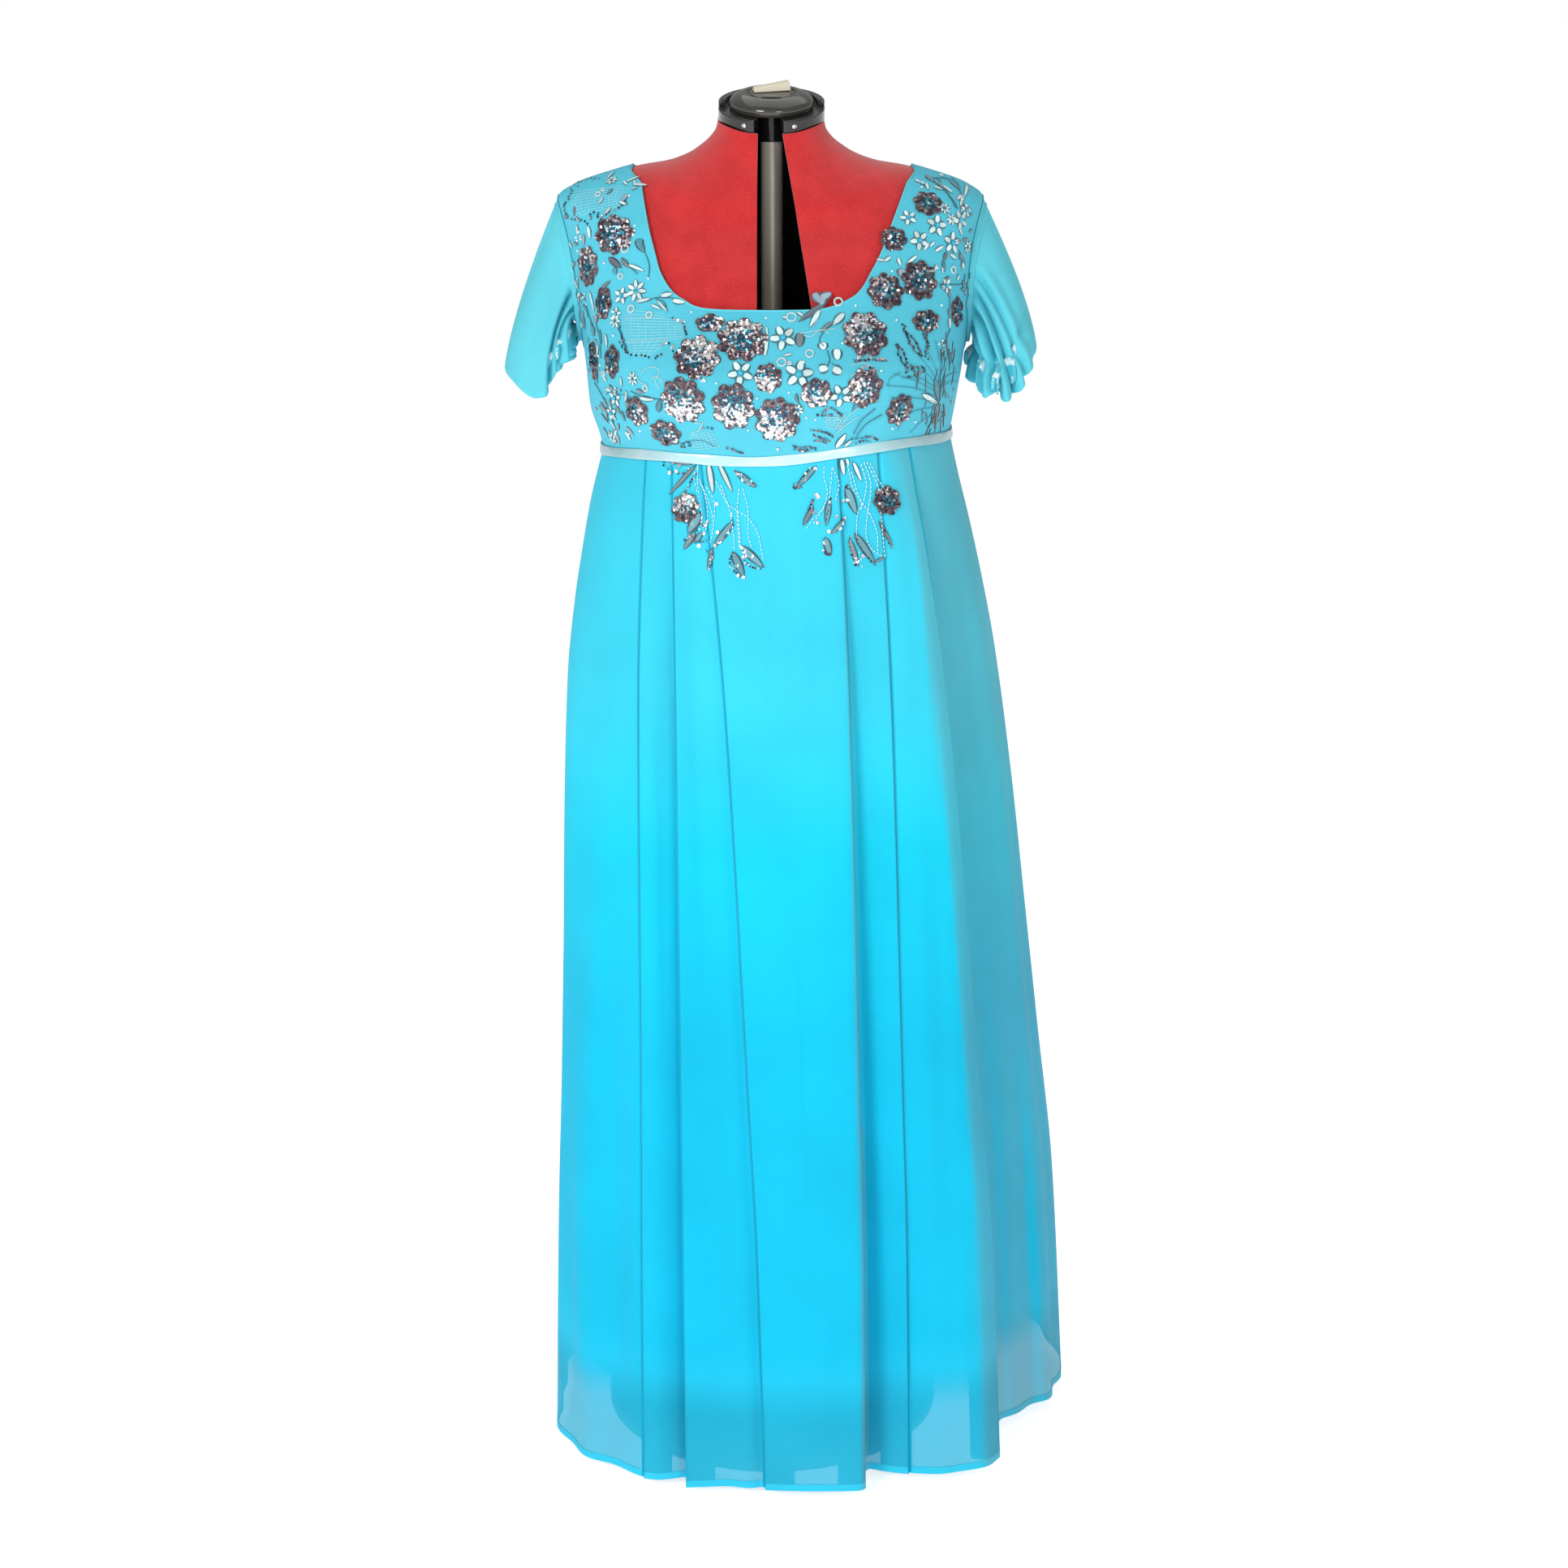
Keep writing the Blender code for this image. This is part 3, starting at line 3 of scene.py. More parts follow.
import bmesh
import bpy
import numpy as np
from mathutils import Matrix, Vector


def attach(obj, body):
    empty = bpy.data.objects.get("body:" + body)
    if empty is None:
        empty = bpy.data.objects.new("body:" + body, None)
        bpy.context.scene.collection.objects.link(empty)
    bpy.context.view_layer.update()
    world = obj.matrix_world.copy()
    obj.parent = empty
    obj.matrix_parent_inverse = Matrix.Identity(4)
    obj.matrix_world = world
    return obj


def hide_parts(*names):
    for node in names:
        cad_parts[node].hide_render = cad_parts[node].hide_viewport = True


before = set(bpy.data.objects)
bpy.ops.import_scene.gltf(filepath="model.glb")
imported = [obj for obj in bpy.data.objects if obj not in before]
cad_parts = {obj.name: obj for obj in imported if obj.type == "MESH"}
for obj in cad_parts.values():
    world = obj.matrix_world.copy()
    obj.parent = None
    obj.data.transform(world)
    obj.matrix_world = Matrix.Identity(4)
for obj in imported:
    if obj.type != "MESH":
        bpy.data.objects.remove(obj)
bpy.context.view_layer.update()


# ---- Floor, lights and camera ---------------------------------------------------------------------
# A white sweep under the stand, a bright even surround, a soft lamp from the left, a weaker one from the right
# and one above. The camera stands a little above the bust and looks slightly down the skirt.
SWEEP_HALF, SWEEP_GLOW = 90.0, 0.70
SURROUND_LIGHT = 0.33
#        name     place                aim                 width  watts
LAMPS = (("lamp_key", (-1.9, -3.3, 2.6), (0.0, 0.0, 0.95), 1.1, 72.0),
         ("lamp_front", (1.1, -3.3, 1.9), (0.0, 0.0, 1.0), 0.8, 24.0),
         ("lamp_top", (0.2, 0.6, 3.4), (0.0, 0.0, 0.0), 2.6, 18.0))
CAMERA_PLACE = (0.0135, -3.0, 1.6)
CAMERA_PITCH = math.radians(15.93)
CAMERA_LENS = 64.79


def new_finish(name, colour, roughness, **inputs):
    """A Principled material with plain numbers on its own sockets, and its node tree."""
    finish = bpy.data.materials.new(name)
    finish.use_nodes = True
    shader = finish.node_tree.nodes["Principled BSDF"]
    shader.inputs["Base Color"].default_value = (*colour, 1.0)
    shader.inputs["Roughness"].default_value = roughness
    for socket, value in inputs.items():
        shader.inputs[socket.replace("_", " ")].default_value = value
    return finish


def add_node(finish, kind, values=(), wires=(), **settings):
    """A node in a material: its settings, its socket values and the sockets wired into it."""
    node = finish.node_tree.nodes.new(kind)
    for setting, value in settings.items():
        setattr(node, setting, value)
    for socket, value in values:
        node.inputs[socket].default_value = value
    for socket, source in wires:
        finish.node_tree.links.new(source, node.inputs[socket])
    return node


def wire(finish, source, socket):
    """Joins a node's output to the material's shader."""
    finish.node_tree.links.new(source, finish.node_tree.nodes["Principled BSDF"].inputs[socket])


def noise(finish, scale, detail=2.0, at="Object", stretch=None):
    """A noise texture over the object's own coordinates or its UV map, which may be stretched."""
    place = add_node(finish, "ShaderNodeTexCoord").outputs[at]
    if stretch:
        place = add_node(finish, "ShaderNodeMapping", (("Scale", stretch),), (("Vector", place),)).outputs[0]
    return add_node(finish, "ShaderNodeTexNoise", (("Scale", scale), ("Detail", detail)),
                    (("Vector", place),)).outputs[0]


def relief(finish, height, strength, distance=0.0003):
    """A bump from a height, joined to the material's shader."""
    bump = add_node(finish, "ShaderNodeBump", (("Strength", strength), ("Distance", distance)),
                    (("Height", height),))
    wire(finish, bump.outputs[0], "Normal")


scene = bpy.context.scene
sweep = bpy.data.objects.new("sweep", bpy.data.meshes.new("sweep"))
sweep.data.from_pydata([(x * SWEEP_HALF, y * SWEEP_HALF, 0.0) for x, y in ((-1, -1), (1, -1), (1, 1), (-1, 1))],
                       [], [(0, 1, 2, 3)])
scene.collection.objects.link(sweep)
paper = new_finish("white_paper", (0.96, 0.96, 0.96), 0.9, Emission_Strength=SWEEP_GLOW,
                   Emission_Color=(1.0, 1.0, 1.0, 1.0))
relief(paper, noise(paper, 0.333), 0.03, 0.001)
sweep.data.materials.append(paper)

surround = bpy.data.worlds.new("surround")
surround.use_nodes = True
tree = surround.node_tree
tree.nodes.clear()
seen, light, mix = (tree.nodes.new(kind) for kind in ("ShaderNodeBackground", "ShaderNodeBackground",
                                                      "ShaderNodeMixShader"))
seen.inputs["Strength"].default_value = 1.0
seen.inputs["Color"].default_value = light.inputs["Color"].default_value = (1.0, 1.0, 1.0, 1.0)
light.inputs["Strength"].default_value = SURROUND_LIGHT
path = tree.nodes.new("ShaderNodeLightPath")
tree.links.new(path.outputs["Is Camera Ray"], mix.inputs[0])
tree.links.new(light.outputs[0], mix.inputs[1])
tree.links.new(seen.outputs[0], mix.inputs[2])
tree.links.new(mix.outputs[0], tree.nodes.new("ShaderNodeOutputWorld").inputs[0])
scene.world = surround
scene.view_settings.view_transform = "Standard"

for name, place, aim, width, watts in LAMPS:
    lamp = bpy.data.lights.new(name, "AREA")
    lamp.shape, lamp.size, lamp.energy = "SQUARE", width, watts
    holder = bpy.data.objects.new(name, lamp)
    holder.location = place
    holder.rotation_euler = (Vector(aim) - Vector(place)).to_track_quat("-Z", "Y").to_euler()
    scene.collection.objects.link(holder)

camera = bpy.data.objects.new("camera", bpy.data.cameras.new("camera"))
camera.data.lens = CAMERA_LENS
camera.location = CAMERA_PLACE
camera.rotation_euler = (math.pi / 2 - CAMERA_PITCH, 0.0, 0.0)
scene.collection.objects.link(camera)
scene.camera = camera


# ---- Dress form shells ----------------------------------------------------------------------------
# Two halves of a moulded torso, covered in brushed red jersey, dark plastic inside. They stand apart at the
# front, where the pole shows, and hang from the neck plates.
MM, PI, TAU = 0.001, math.pi, 2 * math.pi
# One row for each ring of the torso at the cloth's outer face, from the hips to the neck, in mm: height in front,
# at the side and behind, reach to the left, right, front and back, and how far the form lies inside.
TORSO = MM * np.array(((745, 745, 745, 180, 180, 128, 150, 5), (850, 850, 850, 188, 188, 136, 156, 5),
    (955, 955, 955, 180, 180, 142, 138, 5), (1045, 1045, 1045, 169, 171, 138, 122, 8.8),
    (1129, 1130, 1130, 181, 188, 155, 130, 10.2), (1165, 1168, 1166, 192, 195, 170, 134, 8.5),
    (1208, 1213, 1210, 196, 202, 177, 137, 6.6), (1245, 1253, 1250, 201, 207, 164, 136, 5.8),
    (1282, 1297, 1290, 209, 211, 144, 131, 5.5), (1314, 1340, 1330, 217, 217, 125, 124, 5.6),
    (1338, 1380, 1362, 222, 221, 109, 115, 6.6), (1354, 1395, 1378, 204, 205, 98, 107, 6.6),
    (1367, 1408, 1393, 167, 170, 90, 99, 4.6), (1379, 1415.5, 1406, 139, 142, 84, 92, 2.6),
    (1393, 1420.5, 1420, 108, 111, 77, 84, 2.4), (1406, 1427, 1432, 88, 90, 70, 76, 1.8),
    (1418, 1435, 1443, 75, 76, 64, 69, 1.8), (1430, 1444, 1454, 64.5, 64.5, 60, 63, 1.8),
    (1440, 1452.5, 1465, 58.5, 58.5, 57.5, 58.5, 1.8), (1447.5, 1459.8, 1472.1, 56.8, 56.8, 56, 56.5, 1.8)))
Z_FRONT, Z_SIDE, Z_BACK, LEFT, RIGHT, FRONT, BACK, INSET = range(8)
SQUARE = 2.25                # how square the torso's plan is; 2 is an ellipse
CUP_FULL, CUP_ANGLE, CUP_SPREAD, CUP_Z, CUP_HEIGHT = 0.007, 30.0, 19.0, 1.212, 0.036
FORM_WALL = 0.004
GAP_LEFT, GAP_RIGHT_TOP, GAP_RIGHT_LOW, GAP_BACK = 0.0140, 0.0128, 0.0450, 0.006
GAP_RIGHT_SPAN = (1.446, 1.265)
NECK_TILT = math.radians(13.3)
NECK_Z = 1.4601              # underside of the neck plate on the pole's axis
SEAM = 0.0003


def unit(vectors):
    """Vectors brought to a length of one."""
    return vectors / np.maximum(np.linalg.norm(vectors, axis=-1, keepdims=True), 1e-15)


def together(*parts):
    """Arrays spread to one shape and laid together as the coordinates of points."""
    return np.stack(np.broadcast_arrays(*parts), axis=-1)


def full_turn(count):
    """Angles evenly spaced round a full turn."""
    return np.linspace(0, TAU, count, endpoint=False)


def eased(share):
    """A share from 0 to 1 that starts and ends level."""
    share = np.clip(share, 0, 1)
    return share * share * (3 - 2 * share)


def smooth_column(keys, values, at):
    """Cubic through a table's rows, with each slope the harmonic mean of its two steps, so that it never
    overshoots a row."""
    steps = np.diff(values) / np.diff(keys)
    slopes = np.concatenate([steps[:1], np.zeros(len(steps) - 1), steps[-1:]])
    flat = steps[:-1] * steps[1:] <= 0
    slopes[1:-1] = np.where(flat, 0.0, 2 * steps[:-1] * steps[1:] / (steps[:-1] + steps[1:] + 1e-12))
    at = np.clip(at, keys[0], keys[-1])
    cell = np.clip(np.searchsorted(keys, at, side="right") - 1, 0, len(keys) - 2)
    span = keys[cell + 1] - keys[cell]
    t = (at - keys[cell]) / span
    return ((1 + 2 * t) * (1 - t) ** 2 * values[cell] + t * (1 - t) ** 2 * span * slopes[cell]
            + t * t * (3 - 2 * t) * values[cell + 1] + t * t * (t - 1) * span * slopes[cell + 1])


def column_at(table, at, column=1):
    """A column of a table at values of its first."""
    table = np.array(table, float)
    return smooth_column(table[:, 0], table[:, column], at)


def ring_column(column, ring):
    """A column of the torso's table at ring numbers between its rows."""
    return smooth_column(np.arange(len(TORSO), dtype=float), TORSO[:, column], np.asarray(ring, float))


def torso(angle, ring):
    """Torso points: a superellipse in plan, half as wide and deep as its ring says, whose height rises with
    the square of the way out to the side, with two Gaussian cups pushed forward."""
    across, along = np.sin(angle), np.cos(angle)
    half = np.where(across < 0, ring_column(LEFT, ring), ring_column(RIGHT, ring))
    depth = np.where(along > 0, ring_column(FRONT, ring), ring_column(BACK, ring))
    x = half * np.sign(across) * np.abs(across) ** (2 / SQUARE)
    y = -depth * np.sign(along) * np.abs(along) ** (2 / SQUARE)
    middle = np.where(along > 0, ring_column(Z_FRONT, ring), ring_column(Z_BACK, ring))
    z = middle + (ring_column(Z_SIDE, ring) - middle) * (x / half) ** 2
    bearing = np.degrees(np.arctan2(x, -y))
    cups = np.exp(-((np.abs(bearing) - CUP_ANGLE) / CUP_SPREAD) ** 2 - ((z - CUP_Z) / CUP_HEIGHT) ** 2)
    return together(x, y - CUP_FULL * cups, z)


def torso_skin(angle, ring):
    """Outward normals of the torso, from the cross product of two central differences."""
    step = 0.004
    around = torso(angle + step, ring) - torso(angle - step, ring)
    up = torso(angle, np.minimum(ring + step, len(TORSO) - 1)) - torso(angle, np.maximum(ring - step, 0))
    return unit(np.cross(around, up))


def grid_quads(rows, columns, closed=False):
    """Corner numbers of a grid's cells, row by row; a closed grid joins its last column to its first."""
    here = np.arange(rows * columns).reshape(rows, columns)
    beside = np.roll(here, -1, axis=1)
    cells = np.stack([here[:-1], beside[:-1], beside[1:], here[1:]], axis=-1)
    return (cells if closed else cells[:, :-1]).reshape(-1, 4)


def add_piece(name, points, faces, finishes, slot, uv=None, marks=None, tint=None, sharp=None, replaces=(),
              bevel=None):
    """One object from an (n, 3) array and corner numbers: doubles merged, faces turned outwards, carried by
    the stand's body. It stands for the solid of its own name, or for those named. Marks number the finish of
    each face; tint is a colour for each point."""
    replaces = replaces or [name] * (name in bpy.data.objects)
    mesh = bpy.data.meshes.new(name)
    mesh.from_pydata(np.asarray(points, float).tolist(), [], [list(map(int, face)) for face in faces])
    for finish in finishes:
        mesh.materials.append(finish)
    corner = np.zeros(len(mesh.loops), np.int32)
    mesh.loops.foreach_get("vertex_index", corner)
    if uv is not None:
        layer = mesh.uv_layers.new(name="cloth")
        layer.data.foreach_set("uv", np.asarray(uv, np.float32)[corner].ravel())
    if tint is not None:
        layer = mesh.color_attributes.new("tint", "FLOAT_COLOR", "POINT")
        layer.data.foreach_set("color", np.asarray(tint, np.float32).ravel())
    if marks is not None:
        mesh.polygons.foreach_set("material_index", np.asarray(marks, np.int32))
    work = bmesh.new()
    work.from_mesh(mesh)
    bmesh.ops.remove_doubles(work, verts=work.verts[:], dist=2e-6)
    bmesh.ops.recalc_face_normals(work, faces=work.faces[:])
    work.to_mesh(mesh)
    work.free()
    mesh.shade_smooth()
    if sharp:
        mesh.set_sharp_from_angle(angle=math.radians(sharp))
    made = bpy.data.objects.new(f"{name}_piece" if name in replaces else name, mesh)
    scene.collection.objects.link(made)
    if bevel:
        edge = made.modifiers.new("edge", "BEVEL")
        edge.width, edge.segments, edge.limit_method, edge.angle_limit = bevel, 3, "ANGLE", math.radians(35)
        edge.harden_normals = False
    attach(made, "root")
    if replaces:
        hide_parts(*replaces)
    return made


def wall_faces(rows, columns, closed=False):
    """Faces of a closed wall stored as an outer grid and then an inner one, with a rim along open edges."""
    outer = grid_quads(rows, columns, closed)
    count = rows * columns
    here = np.arange(count).reshape(rows, columns)
    edges = [here[0], here[-1]] if closed else [here[0], here[-1], here[:, 0], here[:, -1]]
    rims = []
    for edge in edges:
        a, b = (edge, np.roll(edge, -1)) if closed else (edge[:-1], edge[1:])
        rims.append(together(a, b, b + count, a + count))
    return np.vstack([outer, outer[:, ::-1] + count, *rims])


def add_wall(name, outer, inner, finishes, slot, marks=(), closed=True, **more):
    """A piece from the grids of its outer and inner faces. Marks number the finish of the first faces, outer
    and then inner; the rest take the first finish."""
    faces = wall_faces(*outer.shape[:2], closed)
    marks = np.pad(np.asarray(marks, int), (0, len(faces) - len(marks)))
    return add_piece(name, np.stack([outer, inner]).reshape(-1, 3), faces, finishes, slot, marks=marks, **more)


def run_of(points, axis):
    """Distance run along one axis of a grid of points, started at nought."""
    steps = np.linalg.norm(np.diff(points, axis=axis), axis=-1)
    return np.insert(np.cumsum(steps, axis=axis), 0, 0.0, axis=axis)


def cloth_uv(grid):
    """Cloth coordinates in metres: the run along the middle row, and the run down each column."""
    across = np.broadcast_to(run_of(grid, 1)[len(grid) // 2], grid.shape[:2])
    down = np.broadcast_to(run_of(grid, 0).mean(axis=1, keepdims=True), grid.shape[:2])
    return np.tile(together(across, down).reshape(-1, 2), (2, 1))


def shades(finish, value, *stops):
    """A colour ramp over a value, through stops of place and colour; a lone stop colours all of it."""
    ramp = add_node(finish, "ShaderNodeValToRGB", (), (("Fac", value),))
    stops = stops if len(stops) > 1 else (stops[0], (1.0, stops[0][1]))
    for element, (share, colour) in zip(ramp.color_ramp.elements, (stops[0], stops[-1])):
        element.position, element.color = share, (*colour, 1.0)
    for share, colour in stops[1:-1]:
        ramp.color_ramp.elements.new(share).color = (*colour, 1.0)
    return ramp.outputs[0]


jersey = new_finish("brushed_jersey", (0.66, 0.028, 0.040), 0.92, Sheen_Weight=0.25, Sheen_Roughness=0.6,
                    Specular_IOR_Level=0.2)
fuzz = noise(jersey, 700.0, 4.0)
both = add_node(jersey, "ShaderNodeMix", (("Factor", 0.35),), (("A", fuzz), ("B", noise(jersey, 38.0))))
wire(jersey, shades(jersey, both.outputs[0], (0.36, (0.475, 0.010, 0.012)), (0.66, (0.640, 0.026, 0.028))),
     "Base Color")
relief(jersey, fuzz, 0.35, 0.0006)
shell_inside = new_finish("shell_inside", (0.012, 0.011, 0.012), 0.6)
relief(shell_inside, noise(shell_inside, 700.0), 0.2, 0.0004)


def form_shell(name, side):
    """One shell: the torso set in by the form's inset, from its front edge round its side to its back edge."""
    rings = np.linspace(0, len(TORSO) - 1, 150)
    fall = (GAP_RIGHT_SPAN[0] - ring_column(Z_FRONT, rings)) / (GAP_RIGHT_SPAN[0] - GAP_RIGHT_SPAN[1])
    right_edge = GAP_RIGHT_TOP + (GAP_RIGHT_LOW - GAP_RIGHT_TOP) * np.clip(fall, 0, 1)
    front_edge = np.full(len(rings), GAP_LEFT) if side < 0 else right_edge
    half = ring_column(LEFT if side < 0 else RIGHT, rings)
    start = np.arcsin((front_edge / half) ** (SQUARE / 2))
    end = PI - np.arcsin((GAP_BACK / half) ** (SQUARE / 2))
    share = np.linspace(0, 1, 72)
    angle = side * (start[:, None] * (1 - share) + end[:, None] * share)
    ring = np.repeat(rings[:, None], len(share), axis=1)
    face, skin = torso(angle, ring), torso_skin(angle, ring)
    inset = ring_column(INSET, ring)[..., None]
    outer, inner = face - skin * inset, face - skin * (inset + FORM_WALL)
    for wall in (outer, inner):
        wall[-1, :, 2] = NECK_Z + math.tan(NECK_TILT) * wall[-1, :, 1] - SEAM
    cells = (angle.shape[0] - 1) * (angle.shape[1] - 1)
    add_wall(name, outer, inner, (jersey, shell_inside), "jersey", [0] * cells + [1] * cells, False, sharp=50,
             bevel=0.0010)


form_shell("form_left", -1)
form_shell("form_right", 1)


# ---- Neck plates, knob and grip -------------------------------------------------------------------
# The shells hang from a split ring of glossy black plastic, open at the front and screwed to them. Behind
# the knob the ring has a raised rim. The knob opens the shells, and a cream wedge turns the neck size.
PLATE_HEIGHT, PLATE_RADIUS, PLATE_INNER, RIM_INNER = 0.0128, 0.0550, 0.0400, 0.0475
#                      start end  rim height
NECK_PLATES = {"neck_plate_left": (-92, -19, 0.0), "neck_plate_right": (13, 92, 0.0),
               "neck_plate_back": (94, 266, 0.0065)}
SCREW_BEARINGS = (-31.0, 25.5)
SCREW_RADIUS, SCREW_HEIGHT = 0.0027, 0.0062
POLE_X, POLE_RADIUS = 0.0006, 0.0115
KNOB_LOW = PLATE_HEIGHT + SEAM
# Radius and height above the knob's foot, in mm.
KNOB_PROFILE = MM * np.array(((0, 0), (42, 0), (43.2, 2.6), (43.8, 5.2), (43.4, 7), (42, 9), (39.6, 11), (36.6, 12.7),
    (33.2, 14.1), (30.2, 15), (27.6, 15.5), (26.2, 15.4), (25.4, 14.4), (24.7, 13.2), (23.6, 13.1), (22.8, 14.1),
    (21.8, 15), (20, 15.4), (0, 15.5)))
GRIP_HALF_X, GRIP_HALF_Y, GRIP_HEIGHT, GRIP_SLOPE = 0.0195, 0.0065, 0.0065, 0.0025
GRIP_TURN, GRIP_BACK = math.radians(12), 0.004


def tilted(points):
    """From the neck plate's own frame, tilted forward about X, to the world."""
    x, y, z = np.moveaxis(np.asarray(points, float), -1, 0)
    return together(x + POLE_X, y * math.cos(NECK_TILT) - z * math.sin(NECK_TILT),
                    NECK_Z + y * math.sin(NECK_TILT) + z * math.cos(NECK_TILT))


def on_pole(points):
    """From the pole's own frame to the world."""
    return np.asarray(points, float) + (POLE_X, 0.0, 0.0)


def graded(finish, value, low, high, start=0.0, end=1.0, **settings):
    """A value whose range from start to end is moved to another, from low to high."""
    return add_node(finish, "ShaderNodeMapRange", (("From Min", start), ("From Max", end), ("To Min", low),
                                                   ("To Max", high)), (("Value", value),), **settings).outputs[0]


black_plastic = new_finish("gloss_black_plastic", (0.011, 0.011, 0.012), 0.16, Coat_Weight=0.3)
wire(black_plastic, graded(black_plastic, noise(black_plastic, 820.0, 5.0), 0.12, 0.30), "Roughness")
knob_plastic = new_finish("knob_plastic", (0.040, 0.038, 0.030), 0.20, Coat_Weight=0.4)
wire(knob_plastic, graded(knob_plastic, noise(knob_plastic, 4800.0, 3.0), 0.15, 0.36, 0.35), "Roughness")
cream_plastic = new_finish("cream_plastic", (0.74, 0.69, 0.54), 0.42)
wire(cream_plastic, shades(cream_plastic, noise(cream_plastic, 3000.0), (0.0, (0.62, 0.56, 0.40)),
                           (1.0, (0.82, 0.78, 0.64))), "Base Color")
screw_steel = new_finish("screw_steel", (0.62, 0.62, 0.64), 0.28, Metallic=1.0)
relief(screw_steel, noise(screw_steel, 9000.0), 0.2, 0.0002)


def arc_plate(name, start, end, rim):
    """A plate's profile swept about the neck's axis between two bearings, with a flat end at each."""
    high = PLATE_HEIGHT + rim
    profile = [(PLATE_RADIUS, 0), (PLATE_RADIUS, high)]
    profile += [(RIM_INNER, high), (RIM_INNER, PLATE_HEIGHT)] if rim else []
    profile += [(PLATE_INNER, PLATE_HEIGHT), (PLATE_INNER, 0)]
    r, z = np.array(profile).T
    bearings = np.radians(np.linspace(start, end, int((end - start) / 2) + 1))[:, None]
    points = tilted(together(r * np.sin(bearings), -r * np.cos(bearings), z))
    rows, sides = len(bearings), len(profile)
    faces = [*grid_quads(rows, sides, True), range(sides), range((rows - 1) * sides, rows * sides)]
    add_piece(name, points.reshape(-1, 3), faces, (black_plastic,), "black_plastic", sharp=40, bevel=0.0011)


for name, row in NECK_PLATES.items():
    arc_plate(name, *row)


def turned(profile, sides):
    """A profile of radius and height turned about the axis; its two ends lie on the axis and close it."""
    r, z = np.array(profile[1:-1]).T
    turn = full_turn(sides)
    ring = together(r[:, None] * np.cos(turn), r[:, None] * np.sin(turn), z[:, None])
    ends = [(0, 0, profile[0][1]), (0, 0, profile[-1][1])]
    faces = list(grid_quads(len(r), sides, True))
    here = np.arange(sides)
    low, high = len(r) * sides, len(r) * sides + 1
    faces += list(together(here, np.roll(here, -1), np.full(sides, low)))
    top = here + (len(r) - 1) * sides
    faces += list(together(top, np.roll(top, -1), np.full(sides, high)))
    return np.vstack([ring.reshape(-1, 3), ends]), faces


points, faces = turned(KNOB_PROFILE + (0, KNOB_LOW), 96)
add_piece("neck_knob", tilted(points), faces, (knob_plastic,), "black_plastic", sharp=60)

tab = np.array(((-0.0105, -0.0225), (0.0105, -0.0225), (0.0068, -0.0155), (-0.0068, -0.0155)))
tab = np.vstack([np.column_stack([tab, np.full(4, KNOB_LOW + h)]) for h in (0.0140, 0.0163)])
box_faces = ((0, 3, 2, 1), (4, 5, 6, 7), (0, 1, 5, 4), (1, 2, 6, 5), (2, 3, 7, 6), (3, 0, 4, 7))
add_piece("knob_tab", tilted(tab), box_faces, (knob_plastic,), "black_plastic", bevel=0.0006)

low = KNOB_LOW + 0.0155 + SEAM
grip = np.array([(x * k, y * h, low + rise + (GRIP_SLOPE * np.sign(x) if rise else 0.0))
                 for rise, k, h in ((0.0, 1.0, 1.0), (GRIP_HEIGHT, 0.94, 0.8))
                 for x, y in ((-GRIP_HALF_X, -GRIP_HALF_Y), (GRIP_HALF_X, -GRIP_HALF_Y),
                              (GRIP_HALF_X, GRIP_HALF_Y), (-GRIP_HALF_X, GRIP_HALF_Y))])
along, across = math.cos(GRIP_TURN), math.sin(GRIP_TURN)
grip = np.column_stack([grip[:, 0] * along - grip[:, 1] * across,
                        grip[:, 0] * across + grip[:, 1] * along + GRIP_BACK, grip[:, 2]])
add_piece("knob_grip", tilted(grip), box_faces, (cream_plastic,), "cream_plastic", sharp=30, bevel=0.0012)

# Each screw is a low domed head with a cross slot, driven square to the ring's outside.
heads, head_faces = [], []
head, one = turned(((0, -0.0004), (SCREW_RADIUS, -0.0004), (SCREW_RADIUS, 0.0003), (SCREW_RADIUS * 0.8, 0.0008),
                    (SCREW_RADIUS * 0.35, 0.0010), (SCREW_RADIUS * 0.3, 0.0004), (0, 0.0004)), 24)
for bearing in np.radians(SCREW_BEARINGS):
    out = np.array((math.sin(bearing), -math.cos(bearing), 0.0))
    side = np.array((math.cos(bearing), math.sin(bearing), 0.0))
    spot = out * PLATE_RADIUS + (0, 0, SCREW_HEIGHT)
    head_faces += [np.asarray(face) + len(head) * len(heads) for face in one]
    heads.append(tilted(spot + side * head[:, :1] + np.array((0, 0, 1.0)) * head[:, 1:2] + out * head[:, 2:]))
add_piece("plate_screws", np.vstack(heads), head_faces, (screw_steel,), "grey_metal", sharp=40)


# ---- Pole, collar and base ------------------------------------------------------------------------
# A satin metal tube runs from a weighted black base up through the gap between the shells, where a black
# moulded collar joins it to the neck plates.
BASE_RADIUS, BASE_HEIGHT, HUB_RADIUS, HUB_HEIGHT = 0.190, 0.020, 0.030, 0.030
COLLAR_RADIUS, COLLAR_LOW, COLLAR_HIGH = 0.0140, 1.4375, 1.4655
POLE_FOOT = BASE_HEIGHT + SEAM
POLE_TOP = NECK_Z + (KNOB_LOW - SEAM) / math.cos(NECK_TILT) - POLE_RADIUS * math.tan(NECK_TILT)

pole_metal = new_finish("satin_tube", (0.80, 0.74, 0.62), 0.34, Metallic=0.25)
streaks = noise(pole_metal, 1.0, 3.0, stretch=(900.0, 900.0, 6.0))
wire(pole_metal, graded(pole_metal, streaks, 0.28, 0.48), "Roughness")
relief(pole_metal, streaks, 0.08, 0.0002)
base_metal = new_finish("powder_coat", (0.030, 0.030, 0.032), 0.5, Metallic=0.3)
relief(base_metal, noise(base_metal, 1850.0), 0.4)

